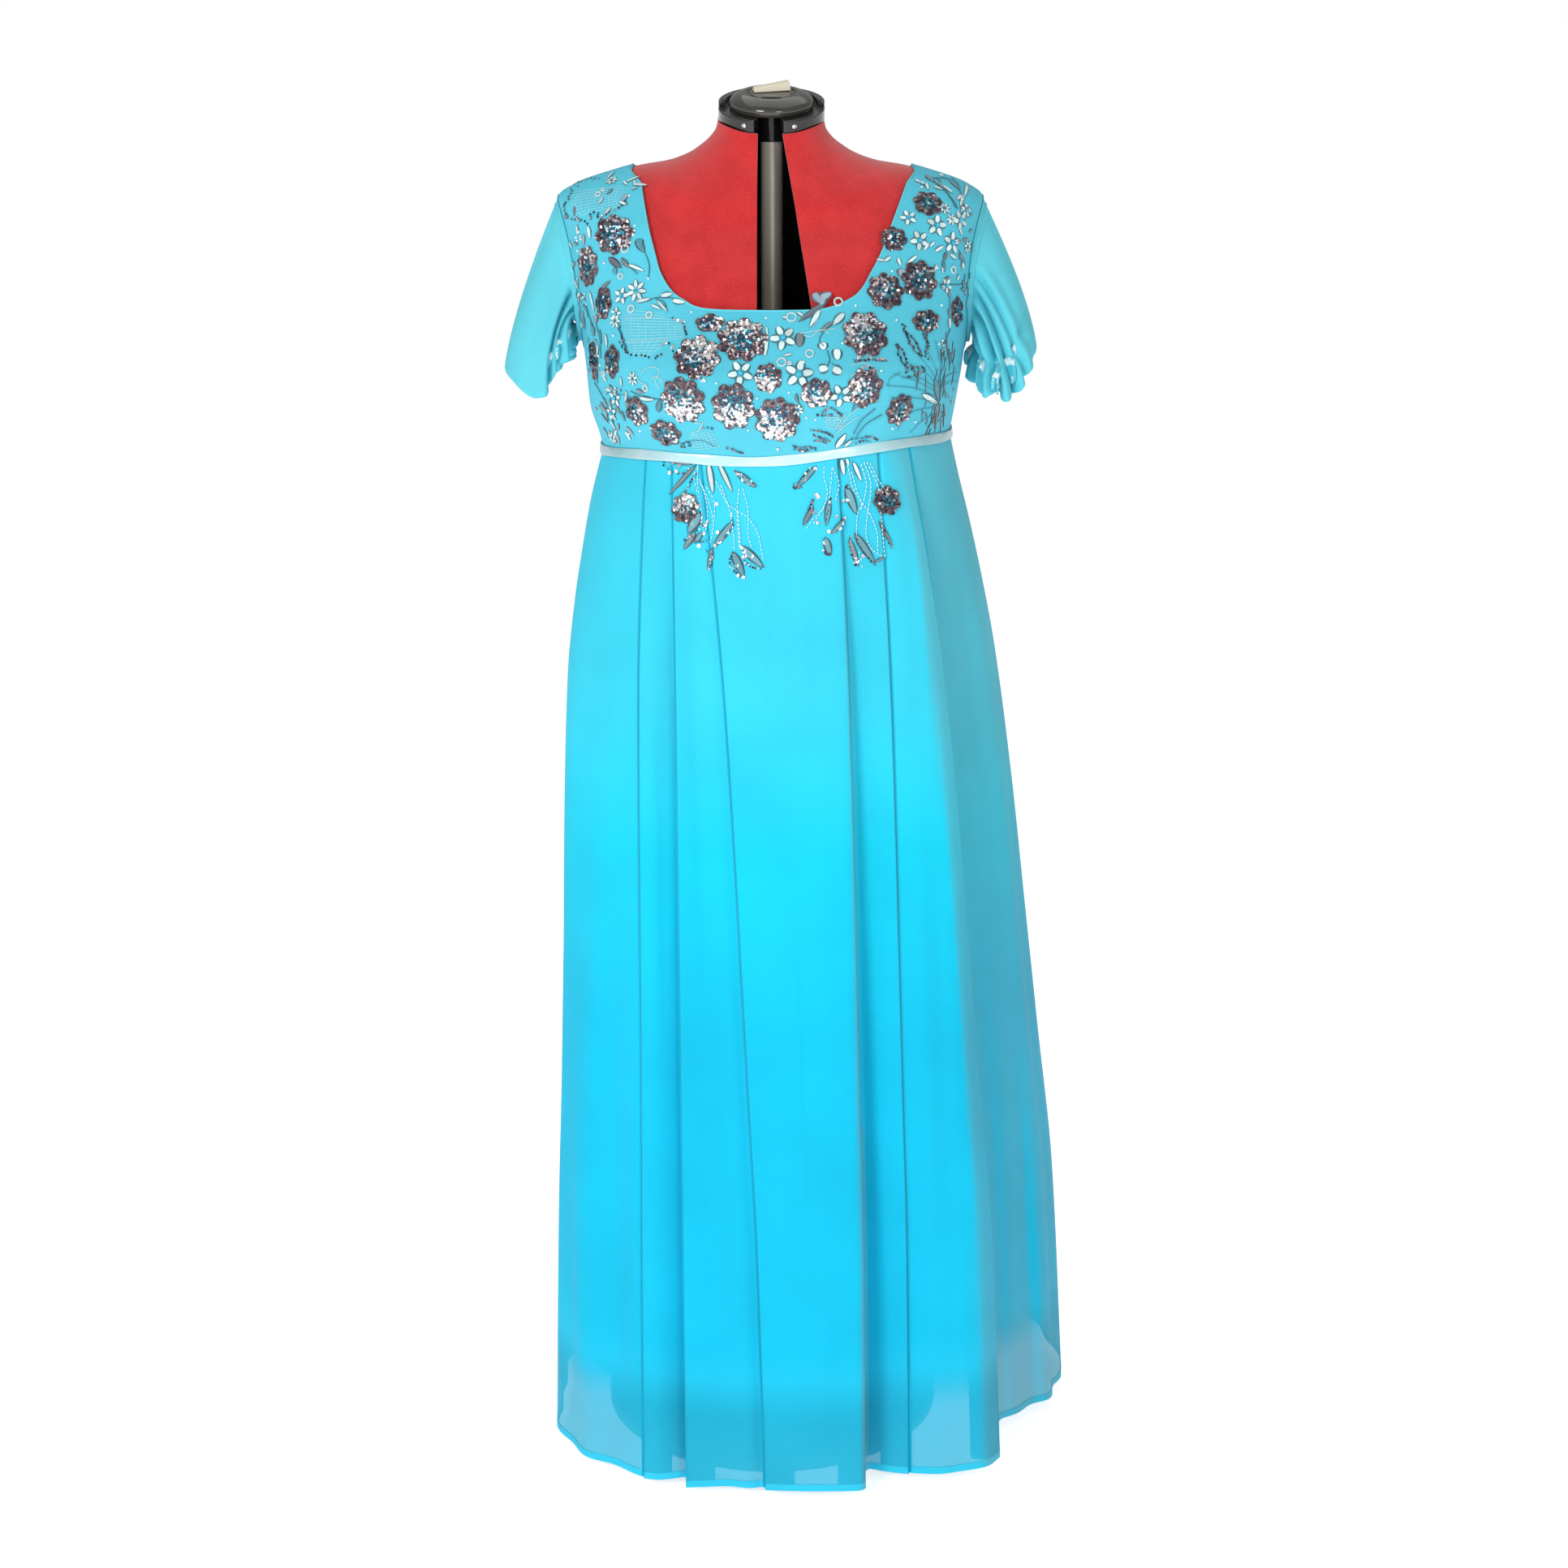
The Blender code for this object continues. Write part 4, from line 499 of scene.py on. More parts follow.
points, faces = turned(((0, POLE_FOOT), (POLE_RADIUS, POLE_FOOT), (POLE_RADIUS, POLE_TOP), (0, POLE_TOP)), 64)
add_piece("pole", on_pole(points), faces, (pole_metal,), "grey_metal", sharp=40)


def tube(name, inner_radius, outer_radius, low, high, finish, slot):
    """A ring about the pole: a rectangle turned about the axis."""
    turn = full_turn(64)[:, None]
    r = np.array((outer_radius, outer_radius, inner_radius, inner_radius))
    z = np.array((low, high, high, low))
    points = on_pole(together(r * np.cos(turn), r * np.sin(turn), z))
    cells = grid_quads(65, 4, True)
    add_piece(name, points.reshape(-1, 3), cells % (64 * 4), (finish,), slot, sharp=40, bevel=0.0009)


tube("pole_collar", POLE_RADIUS + SEAM, COLLAR_RADIUS, COLLAR_LOW, COLLAR_HIGH, black_plastic, "black_plastic")
tube("base_hub", POLE_RADIUS + SEAM, HUB_RADIUS, POLE_FOOT, BASE_HEIGHT + HUB_HEIGHT, base_metal, "base_metal")
points, faces = turned(((0, 0), (BASE_RADIUS - 0.003, 0), (BASE_RADIUS, 0.003), (BASE_RADIUS, BASE_HEIGHT - 0.006),
                        (BASE_RADIUS - 0.002, BASE_HEIGHT - 0.002), (BASE_RADIUS - 0.006, BASE_HEIGHT),
                        (0, BASE_HEIGHT)), 128)
add_piece("base", points, faces, (base_metal,), "base_metal", sharp=50)


# ---- Bodice ---------------------------------------------------------------------------------------
# An empire bodice of turquoise chiffon over a firm lining: a front in one piece and two backs, with a deep
# square-round neckline, darted under the bust and sewn at the sides and shoulders.
CLOTH = 0.0012
WAIST_Z, WAIST_TILT, WAIST_LIFT, WAIST_HALF = 1.129, 0.045, 0.007, 0.185
# Height of the neckline's edge, then its distance from the middle on the left and on the right, in mm.
FRONT_NECKLINE = MM * np.array(((1279, 0, 0), (1280.5, 66, 52), (1289, 89, 79), (1298.5, 102, 92),
    (1315, 112.5, 102.5), (1333, 118, 112.5), (1356, 124.5, 122), (1379, 129.5, 131.5), (1399, 133.5, 140)))
BACK_NECKLINE = MM * np.array(((1356, 0, 0), (1357.5, 55, 55), (1365, 84, 84), (1374, 101, 101), (1385, 116, 117),
    (1396, 127, 130), (1406, 134, 140)))
NECKLINE_CORNER = 3
SHOULDER_SEAM_Z = 1.4145
ARMHOLE_Z, ARMHOLE_HALF_HEIGHT = 1.304, 0.079
ARMHOLE_DEPTH = {-1: 0.046, 1: 0.052}
STRAP_SHARE = 0.3            # share of the armhole below the strap
SIDE_BEARING = PI / 2 - SEAM / 2 / WAIST_HALF
# Soft creases: x and z of one end and of the other, width and depth (+ is a ridge), in mm.
BODICE_CREASES = MM * np.array(((-95, 1135, -70, 1185, 5, 1), (-60, 1130, -52, 1175, 4, -0.8),
    (-12, 1132, -6, 1165, 4, 0.6), (40, 1133, 46, 1180, 4.5, 0.9), (72, 1135, 98, 1178, 5, -0.9),
    (95, 1140, 128, 1170, 4.5, 1), (120, 1142, 150, 1163, 4, -0.8), (-140, 1142, -122, 1176, 4.5, 0.9),
    (20, 1262, 60, 1250, 6, 0.6), (-165, 1215, -120, 1238, 6, 0.8), (150, 1232, 185, 1212, 6, 0.9)))


def ring_where(height_at, z):
    """Ring numbers at which a rising height reaches z, by halving the range thirty times."""
    low, high = np.full(z.shape, 2.0), np.full(z.shape, len(TORSO) - 1.0)
    for _ in range(30):
        middle = (low + high) / 2
        under = height_at(middle) < z
        low, high = np.where(under, middle, low), np.where(under, high, middle)
    return (low + high) / 2


def ring_height(ring, out, facing):
    """Height of a ring where it has gone a share out to the side, in front (-1) or behind (1)."""
    middle = ring_column(Z_FRONT if facing < 0 else Z_BACK, ring)
    return middle + (ring_column(Z_SIDE, ring) - middle) * np.clip(out, 0, 1) ** 2


def half_at(x, ring):
    """Half width of a ring on the side that x lies on."""
    return np.where(x < 0, ring_column(LEFT, ring), ring_column(RIGHT, ring))


def on_ring(sign, out, z, facing):
    """Angle and ring of the torso at a height, where out gives each ring's share of the way to the side."""
    ring = ring_where(lambda r: ring_height(r, out(r), facing), z)
    turn = sign * np.arcsin(np.clip(out(ring), 0, 1) ** (SQUARE / 2))
    return (turn if facing < 0 else PI - turn), ring


def on_face(x, z, facing=-1):
    """Angle and ring at a place seen square from the front or the back."""
    x, z = np.broadcast_arrays(np.asarray(x, float), np.asarray(z, float))
    return on_ring(np.sign(x), lambda r: np.abs(x) / half_at(x, r), z, facing)


def on_round(bearing, z, facing=-1):
    """Angle and ring at a height, seen along a bearing from the front's middle: the plan's radius there is
    that of the superellipse."""
    bearing, z = np.broadcast_arrays(np.asarray(bearing, float), np.asarray(z, float))
    across, along = np.sin(bearing), np.abs(np.cos(bearing))

    def out(r):
        share, depth = np.abs(across) / half_at(across, r), ring_column(FRONT if facing < 0 else BACK, r)
        return share * (share ** SQUARE + (along / depth) ** SQUARE) ** (-1 / SQUARE)

    return on_ring(np.sign(across), out, z, facing)


def on_side(side, y, z, facing):
    """Angle and ring at a place seen square from one side."""
    y, z = np.broadcast_arrays(np.abs(np.asarray(y, float)), np.asarray(z, float))

    def out(r):
        along = np.clip(y / ring_column(FRONT if facing < 0 else BACK, r), 0, 1) ** SQUARE
        return (1 - along) ** (1 / SQUARE)

    return on_ring(side, out, z, facing)


def waist_height(bearing):
    """The under-bust seam: tilted towards +X, and lifted between the front and the sides."""
    return WAIST_Z + WAIST_TILT * WAIST_HALF * np.sin(bearing) + WAIST_LIFT * np.sin(2 * bearing) ** 2


def smooth_curve(points, count, closed=False):
    """Evenly spaced points on a Catmull-Rom curve through a few points."""
    points = np.array(points, float)
    padded = (np.vstack([points[-1:], points, points[:2]]) if closed
              else np.vstack([2 * points[0] - points[1], points, 2 * points[-1] - points[-2]]))
    t = np.linspace(0, 1, 17)[:-1, None, None]
    a, b, c, d = padded[:-3], padded[1:-2], padded[2:-1], padded[3:]
    dense = 0.5 * (2 * b + (c - a) * t + (2 * a - 5 * b + 4 * c - d) * t ** 2 + (3 * b - a - 3 * c + d) * t ** 3)
    dense = np.vstack([np.moveaxis(dense, 0, 1).reshape(-1, points.shape[1]), padded[-2:-1]])
    return spread(dense, count + 1 if closed else count)[:count]


def spread(line, count):
    """Points at even distances along a line of points."""
    run = run_of(line, 0)
    return np.stack([np.interp(np.linspace(0, run[-1], count), run, column) for column in line.T], axis=1)


def creased(grid, table):
    """Height of the creases in a table, each a ridge or trough with a Gaussian section about a line from one
    end to the other, fading to nothing towards both ends; places are taken as x and z."""
    total = np.zeros(grid.shape[:-1])
    plan = grid[..., [0, 2]]
    for *start, x1, z1, width, depth in table:
        line = np.array((x1, z1)) - start
        share = np.sum((plan - start) * line, axis=-1) / np.dot(line, line)
        off = np.linalg.norm(plan - start - np.clip(share, 0, 1)[..., None] * line, axis=-1)
        total += depth * np.exp(-(off / width) ** 2) * np.sin(PI * np.clip(share, 0.04, 0.96)) ** 0.7
    return total


def armhole(side, facing, share):
    """The armhole's edge, half an ellipse seen from the side, from the underarm, 0, to the shoulder tip, 1."""
    y = np.maximum(ARMHOLE_DEPTH[facing] * np.sin(PI * share), SEAM)
    return on_side(side, y, ARMHOLE_Z - ARMHOLE_HALF_HEIGHT * np.cos(PI * share), facing)


def neckline(side, facing):
    """Points of one side's neckline, seen square from the front or the back, from the middle up."""
    table = FRONT_NECKLINE if facing < 0 else BACK_NECKLINE
    return np.column_stack([side * table[:, 1 if side < 0 else 2], table[:, 0]])


def bodice_blocks(side, facing, low_rows=26, mid_rows=16, strap_rows=34, strap_columns=22, columns=64):
    """Half a front or back as two grids of angle and ring: one from the waist up to the neckline's lower
    edge, pulled in to the armhole, and one for the strap."""
    quarter = np.linspace(SIDE_BEARING, 0, columns + 1)
    bearing = side * (quarter if facing < 0 else PI - quarter)
    top = ARMHOLE_Z - ARMHOLE_HALF_HEIGHT
    share = np.linspace(0, 1, low_rows + 1)[:, None]
    low = np.stack(on_round(bearing, (waist_height(bearing) + SEAM / 2) * (1 - share) + top * share, facing), -1)
    low[:, -1, 0] = 0.0 if facing < 0 else PI - side * 0.0004

    edge = neckline(side, facing)
    edge[0, 0] = 0.0 if facing < 0 else side * SEAM / 2
    bottom = smooth_curve(edge, 400)
    corner = int(np.argmin(np.linalg.norm(bottom - edge[NECKLINE_CORNER], axis=1)))
    under = np.stack(on_face(*spread(bottom[corner::-1], columns - strap_columns + 1).T, facing), -1)
    if facing < 0:
        under[-1, 0] = 0.0
    start = np.stack(armhole(side, facing, np.array(STRAP_SHARE)), -1)
    reach = np.linspace(0, 1, strap_columns + 1)[:-1, None]
    top_row = np.vstack([start * (1 - reach) + under[0] * reach, under])
    share = np.linspace(0, 1, mid_rows + 1)[1:, None, None]
    mid = low[-1] * (1 - share) + top_row * share
    hole = np.stack(armhole(side, facing, STRAP_SHARE * share[:, 0, 0]), -1)
    fade = np.cos(np.clip(np.arange(columns + 1) / strap_columns, 0, 1) * PI / 2)[None, :, None] ** 2
    mid = mid + (hole[:, None] - mid[:, :1]) * fade

    rise = np.linspace(0, 1, strap_rows + 1)
    outer = np.stack(armhole(side, facing, STRAP_SHARE + (1 - STRAP_SHARE) * rise), -1)
    over = np.stack(on_side(side, SEAM, np.array(SHOULDER_SEAM_Z), facing), -1)
    inner = np.stack(on_face(*bottom[corner:].T, facing), -1)
    inner = np.vstack([inner, inner[-1] * 0.5 + over * 0.5, over])
    run = run_of(torso(*inner.T), 0)
    inner = np.stack([np.interp(rise * run[-1], run, column) for column in inner.T], axis=1)
    across = np.linspace(0, 1, strap_columns + 1)[None, :, None]
    strap = outer[:, None] * (1 - across) + inner[:, None] * across
    strap[0] = top_row[:strap_columns + 1]
    return np.vstack([low, mid]), strap


THREAD, CREPE = 0.00085, 520.0          # width of a thread in metres, crinkles to a metre


def mixed(finish, kind, operation, first, second):
    """Two sockets put through a Math or Vector Math node."""
    return add_node(finish, f"ShaderNode{kind}", (), ((0, first), (1, second)), operation=operation).outputs[0]


def chiffon_finish(name, *stops, low_alpha=1.0):
    """Crepe chiffon: a fine crinkle and a plain weave in cloth coordinates, and the colours of its stops down
    from the waist. On the skirt its colour is painted greyer and darker where it faces towards +X, a painted
    shade on the side turned from the key lamp, and its hem, where no lining backs it, lets some light through."""
    cloth = new_finish(name, stops[0][1], 0.78, Sheen_Weight=0.05, Sheen_Roughness=0.45, Specular_IOR_Level=0.2)
    coords = add_node(cloth, "ShaderNodeTexCoord")
    scaled = add_node(cloth, "ShaderNodeVectorMath", (("Scale", 1 / THREAD),), (("Vector", coords.outputs["UV"]),),
                      operation="SCALE")
    weave = [add_node(cloth, "ShaderNodeTexWave", (("Scale", 0.5), ("Distortion", 0.6), ("Detail", 1.0)),
                      (("Vector", scaled.outputs[0]),), bands_direction=way).outputs["Fac"] for way in ("X", "Y")]
    crepe = noise(cloth, CREPE, 3.0, "UV")
    height = add_node(cloth, "ShaderNodeSeparateXYZ", (), (("Vector", coords.outputs["Object"]),)).outputs["Z"]
    colour = shades(cloth, graded(cloth, height, 0.0, 1.0, 1.12, 0.02), *stops)
    uneven = mixed(cloth, "Math", "MULTIPLY", graded(cloth, noise(cloth, 7.0, 3.0, "UV"), 0.93, 1.05, 0.3, 0.7),
                   graded(cloth, crepe, 0.96, 1.03, 0.3, 0.7))
    colour = mixed(cloth, "VectorMath", "MULTIPLY", colour, uneven)
    if low_alpha < 1.0:
        # Painted shade: where the cloth faces towards +X its colour is greyed and darkened.
        facing = add_node(cloth, "ShaderNodeSeparateXYZ", (), (("Vector", coords.outputs["Normal"]),)).outputs["X"]
        painted_side_shade = add_node(cloth, "ShaderNodeVectorMath", ((1, (1.0, 0.83, 0.78)), (2, (0.045, 0.0, 0.0))),
                        ((0, colour),), operation="MULTIPLY_ADD").outputs[0]
        painted_shade_mask = graded(cloth, facing, 0.0, 1.0, 0.36, 0.62, interpolation_type="SMOOTHSTEP")
        colour = add_node(cloth, "ShaderNodeMix", (), (("Factor", painted_shade_mask), (4, colour), (5, painted_side_shade)),
                          data_type="VECTOR").outputs[1]
        sheer = graded(cloth, height, low_alpha, 1.0, 0.085, 0.150, interpolation_type="SMOOTHSTEP")
        hem = graded(cloth, height, 0.0, 1.0, 0.0215, 0.0195)
        wire(cloth, mixed(cloth, "Math", "MAXIMUM", sheer, hem), "Alpha")
    wire(cloth, colour, "Base Color")
    thread = mixed(cloth, "Math", "ADD", *weave)
    relief(cloth, add_node(cloth, "ShaderNodeMath", ((1, 1.6),), ((0, crepe), (2, thread)),
                           operation="MULTIPLY_ADD").outputs[0], 0.22)
    return cloth


chiffon = chiffon_finish("bodice_chiffon", (0.0, (0.090, 0.535, 0.680)))


def bodice_piece(name, facing, sides):
    """A wall from the blocks of one or two halves. Shared edges are merged, and only open ones get a rim."""
    points, uvs, skins, rims, start = [], [], [], [], 0
    for side in sides:
        for block in bodice_blocks(side, facing):
            at = block[..., 0], block[..., 1]
            face, skin = torso(*at), torso_skin(*at)
            outer = face + skin * (creased(face, BODICE_CREASES) if facing < 0 else 0 * at[0])[..., None]
            points.append(np.stack([outer, outer - skin * CLOTH]).reshape(-1, 3))
            uvs.append(np.tile(np.stack([at[0] * 0.18, outer[..., 2]], -1).reshape(-1, 2), (2, 1)))
            faces, cells = wall_faces(*at[0].shape) + start, (at[0].shape[0] - 1) * (at[0].shape[1] - 1)
            skins.append(faces[:2 * cells])
            rims.append(faces[2 * cells:])
            start += len(points[-1])
    points, rims = np.vstack(points), np.vstack(rims)
    merged = np.unique(np.round(points, 6), axis=0, return_inverse=True)[1].reshape(-1)
    edges = np.sort(merged[rims[:, :2]], axis=1)
    _, first, uses = np.unique(edges, axis=0, return_index=True, return_counts=True)
    return add_piece(name, points, np.vstack([*skins, rims[first[uses == 1]]]), (chiffon,), "chiffon",
                     uv=np.vstack(uvs), sharp=60)


bodice_front = bodice_piece("bodice_front", -1, (-1, 1))
bodice_backs = [bodice_piece("bodice_back_left", 1, (-1,)), bodice_piece("bodice_back_right", 1, (1,))]


# ---- Puff sleeves ---------------------------------------------------------------------------------
# Chiffon cut full, sewn smooth into the armhole and drawn in by a narrow turned cuff. The left one hangs
# smooth outside, with deep folds where it meets the bodice; the right one falls in long folds to a ruffle.
#         tip_x   inner_x z_tip   z_front z_inner z_back  waves ruffle
SLEEVES = {-1: (0.2815, 0.2090, 1.2080, 1.1850, 1.2060, 1.1880, 13, 0.0045),
           1: (0.2805, 0.2100, 1.2260, 1.1830, 1.1960, 1.1860, 11, 0.0050)}
SLEEVE_DEPTH_FRONT, SLEEVE_DEPTH_BACK = 0.068, 0.074
PUFF_OUT, PUFF_ABOVE, PUFF_IN = 0.020, 0.060, 0.010
ARMHOLE_SEAM, SLEEVE_CLEAR = 0.0008, 0.0040
#             in      down: the cuff's round and its turned-in edge, below and inside the puff
CUFF_ROUND = ((0.0006, 0.0007), (0.0022, 0.0022), (0.0045, 0.0028), (0.0066, 0.0018), (0.0080, -0.0010),
              (0.0096, -0.0050), (0.0108, -0.0085))
# Folds: degrees round the sleeve from the underarm over the front at the armhole and at the cuff, half width
# in degrees, depth in mm (+ is a ridge), then the shares of the way down where it starts and is full.
SLEEVE_FOLDS = {
    -1: ((80, 74, 6, 3.5, 0.02, 0.45), (69, 64, 4, -10.5, 0.02, 0.4), (60, 56, 4, 6, 0.04, 0.45),
        (51, 47, 4, -9.5, 0.04, 0.5), (42, 38, 4, 6.5, 0.08, 0.55), (33, 30, 4, -8.5, 0.1, 0.6),
        (24, 22, 4, 5, 0.15, 0.7), (14, 13, 4, -5, 0.2, 0.8), (115, 108, 14, -1, 0.1, 0.6),
        (152, 148, 14, 1, 0.2, 0.9), (200, 206, 9, -3, 0.15, 0.8), (228, 236, 7, 3.5, 0.2, 0.8),
        (250, 262, 8, -4.5, 0.15, 0.8), (284, 290, 7, 4, 0.25, 0.8), (305, 309, 6, -5.5, 0.25, 0.9),
        (325, 329, 6, 4, 0.3, 0.9)),
    1: ((86, 134, 8, 3.5, 0.02, 0.5), (78, 124, 5, -8, 0.04, 0.45), (70, 117, 9, 5.5, 0.1, 0.6),
        (60, 103, 5, -8.5, 0.04, 0.4), (52, 90, 8, 8.5, 0.12, 0.5), (46, 75, 5, -12.5, 0.08, 0.45),
        (38, 61, 8, 8, 0.16, 0.65), (30, 47, 4.5, -8.5, 0.1, 0.5), (22, 37, 6, 6, 0.15, 0.7),
        (14, 24, 4.5, -7, 0.2, 0.8), (100, 146, 8, -2, 0.2, 0.8), (200, 204, 8, 3.5, 0.15, 0.8),
        (222, 230, 7, -5, 0.15, 0.8), (246, 254, 7, 4.5, 0.15, 0.8), (268, 276, 6, -5, 0.2, 0.8),
        (292, 298, 7, 4.5, 0.25, 0.9), (318, 320, 6, -5, 0.25, 0.9))}
# How full the gathers are at places round the sleeve, in degrees, and how many mm the hem is lifted there.
GATHERS = {-1: ((0, 1.0), (58, 1.0), (76, 0.08), (175, 0.05), (215, 0.6), (360, 1.0)),
           1: ((0, 0.9), (20, 1.0), (110, 0.9), (135, 0.20), (190, 0.10), (225, 0.8), (360, 0.9))}
HEM_LIFT = {-1: ((0, 22), (25, 22), (50, 18), (62, 4), (74, -2), (90, -2), (130, 1), (180, 0), (270, 1), (340, 12),
                 (360, 20)),
            1: ((0, 4), (25, -1), (45, -3), (62, 3), (70, 6), (80, 1), (98, -3), (120, 0), (150, 3), (180, 0),
                 (270, 2), (360, 4))}
# The right cuff is drawn in above its edge, which stands out below as a ruffle: where, how deep, how wide.
CASING = {-1: (0.86, 0.0000, 0.045), 1: (0.80, 0.0060, 0.055)}


def nearest(points, angle, ring, rounds=6):
    """Angle and ring of the torso nearest to points, by Gauss-Newton steps from a first guess: the offset is
    split between the two tangents, whose own products make a 2 by 2 system."""
    step = 1e-3
    for _ in range(rounds):
        gap = points - torso(angle, ring)
        around = (torso(angle + step, ring) - torso(angle - step, ring)) / (2 * step)
        up = (torso(angle, ring + step) - torso(angle, ring - step)) / (2 * step)
        aa, uu, au = (np.sum(p * q, axis=-1) for p, q in ((around, around), (up, up), (around, up)))
        ga, gu = np.sum(gap * around, axis=-1), np.sum(gap * up, axis=-1)
        size = aa * uu - au * au + 1e-15
        angle = angle + np.clip((ga * uu - gu * au) / size, -0.25, 0.25)
        ring = np.clip(ring + np.clip((gu * aa - ga * au) / size, -0.6, 0.6), step, len(TORSO) - 1 - step)
    return angle, ring


def kept_clear(grid, side, least):
    """Moves the points that come too near the bodice out along its normals."""
    guess = on_side(side, grid[..., 1], np.clip(grid[..., 2], 1.14, 1.385), -1)
    at = nearest(grid, np.where(grid[..., 1] < 0, guess[0], PI - guess[0]), guess[1])
    skin = torso_skin(*at)
    off = np.sum((grid - torso(*at)) * skin, axis=-1)
    return grid + skin * np.maximum(least - off, 0)[..., None]


def wall_normals(grid, closed=True):
    """Normals of rings of points that halve the angle between each ring's two steps, lengthened as a mitre
    is, to at most a third more."""
    around = (np.roll(grid, -1, axis=1) - np.roll(grid, 1, axis=1)) if closed else np.gradient(grid, axis=1)
    steps = unit(np.diff(grid, axis=0))
    after = np.concatenate([steps, steps[-1:]])
    before = np.concatenate([steps[:1], steps])
    halfway, square = (unit(np.cross(around, way)) for way in (after + before, after))
    return halfway / np.clip(np.sum(halfway * square, axis=-1, keepdims=True), 0.75, 1)


def sleeve_grid(side, rows=56, columns=320):
    """Rings of a sleeve: cubic Bezier curves from the armhole's edge out along its slope and down to the
    cuff, pushed out and in by gathers and folds, then the cuff's round; kept clear of the bodice."""
    tip_x, inner_x, z_tip, z_front, z_inner, z_back, waves, ruffle = SLEEVES[side]
    turn = full_turn(columns)
    half_turn = np.where(turn <= PI, turn, TAU - turn) / PI
    share = np.interp(half_turn, (0, 2 / 9, 1), (0, STRAP_SHARE, 1))
    facing = np.where(turn <= PI, -1, 1)
    edge_at = [np.where(facing < 0, front, back)
               for front, back in zip(armhole(side, -1, share), armhole(side, 1, share))]
    edge, skin = torso(*edge_at), torso_skin(*edge_at)
    edge = edge - skin * CLOTH / 2
    away = unit(np.cross(skin, np.roll(edge, -1, axis=0) - np.roll(edge, 1, axis=0)))
    away *= np.sign(away[:, :1] * side)
    start = edge + away * ARMHOLE_SEAM

    middle_x, half_x = (tip_x + inner_x) / 2, (tip_x - inner_x) / 2
    bent = turn + 0.10 * np.sin(3 * turn + 1.1) + 0.06 * np.sin(5 * turn + 2.3)
    gather = 2.2 * np.sqrt(np.sin(waves * bent / 2) ** 2 + 0.02) - 1.5
    gather *= 1 + 0.35 * np.sin(2 * turn + 0.6) + 0.2 * np.sin(7 * turn)
    gather *= column_at(GATHERS[side], np.degrees(turn))
    z_ring = (z_tip + z_inner) / 2 - (z_tip - z_inner) / 2 * np.cos(turn)
    z_ring += (np.where(np.sin(turn) > 0, z_front, z_back) - (z_tip + z_inner) / 2) * np.sin(turn) ** 2
    z_ring += MM * column_at(HEM_LIFT[side], np.degrees(turn)) - (0.25 * ruffle * gather if side > 0 else 0)
    depth = np.where(np.sin(turn) > 0, SLEEVE_DEPTH_FRONT, SLEEVE_DEPTH_BACK)
    radial = together(-np.cos(turn) * side, -np.sin(turn), 0)
    cuff = together(side * (middle_x - half_x * np.cos(turn)), -depth * np.sin(turn), z_ring)
    lift = np.array([0, 0, 1.0])

    s = np.linspace(0, 1, rows)[:, None, None]
    out, above = start + away * PUFF_OUT, cuff + lift * PUFF_ABOVE - radial * PUFF_IN
    grid = (1 - s) ** 3 * start + 3 * (1 - s) ** 2 * s * out + 3 * (1 - s) * s ** 2 * above + s ** 3 * cuff
    degrees, s = np.degrees(turn)[None, :], s[..., 0]
    casing, drawn_in, spread_out = CASING[side]
    ramp = np.clip((s - casing) / (1 - casing), 0, 1)
    push = gather * ruffle * (0.25 * s ** 2 + 0.75 * ramp * (2 - ramp) if side > 0 else s ** 2.2)
    push = push - drawn_in * np.exp(-((s - casing) / spread_out) ** 2) * np.clip(1.5 * np.sin(turn), 0, 1)
    for top, low, width, deep, begins, full in SLEEVE_FOLDS[side]:
        off = (degrees - top * (1 - s) - low * s + 180) % 360 - 180
        push = push + deep * MM * eased((s - begins) / (full - begins)) * np.exp(-(off / width) ** 2)
    grid = grid + radial * push[..., None]
    turned_in = [grid[-1] - radial * inward - lift * down for inward, down in CUFF_ROUND]
    grid = np.concatenate([grid, turned_in])
    return np.concatenate([grid[:6], kept_clear(grid[6:], side, SLEEVE_CLEAR)])


sleeve_chiffon = chiffon_finish("sleeve_chiffon", (0.0, (0.115, 0.600, 0.710)))

for name, side in (("sleeve_left", -1), ("sleeve_right", 1)):
    grid = sleeve_grid(side)
    skin = wall_normals(grid)
    skin *= np.sign(np.sum(skin[12] * (grid[12] - grid.mean(axis=(0, 1))))) * CLOTH / 2
    sleeve = add_wall(name, grid + skin, grid - skin, (sleeve_chiffon,), "chiffon", uv=cloth_uv(grid))


# A satin-faced frill is gathered on inside each cuff; it turns over in loops, and its bright satin face shows,
# with white glints painted on it in patches.
#             waves  out    drop    reach of its loops   how full it is at places round the sleeve
FRILLS = {-1: (15, 0.0010, 0.0150, 0.0045, ((0, 1.0), (60, 1.0), (78, 0.0), (190, 0.0), (220, 0.8), (360, 1.0))),
          1: (11, 0.0040, 0.0240, 0.0115, ((0, 0.5), (30, 0.9), (60, 1.0), (115, 1.0), (140, 0.2), (190, 0.1),
                                           (230, 0.8), (360, 0.5)))}
FRILL_THICK, FRILL_HEAD, FRILL_ROW, FRILL_SMOOTH = 0.0008, 0.004, 44, 14
frill_satin_painted_glints = new_finish("frill_satin_painted_glints", (0.40, 0.80, 0.88), 0.20, Anisotropic=0.5, Specular_IOR_Level=0.9)
# Painted glints: white patches of a noise on the satin's pale blue stand in for light caught by the loops.
wire(frill_satin_painted_glints, shades(frill_satin_painted_glints, noise(frill_satin_painted_glints, 75), (0.51, (0.085, 0.54, 0.66)),
                         (0.57, (0.84, 0.94, 0.95))), "Base Color")


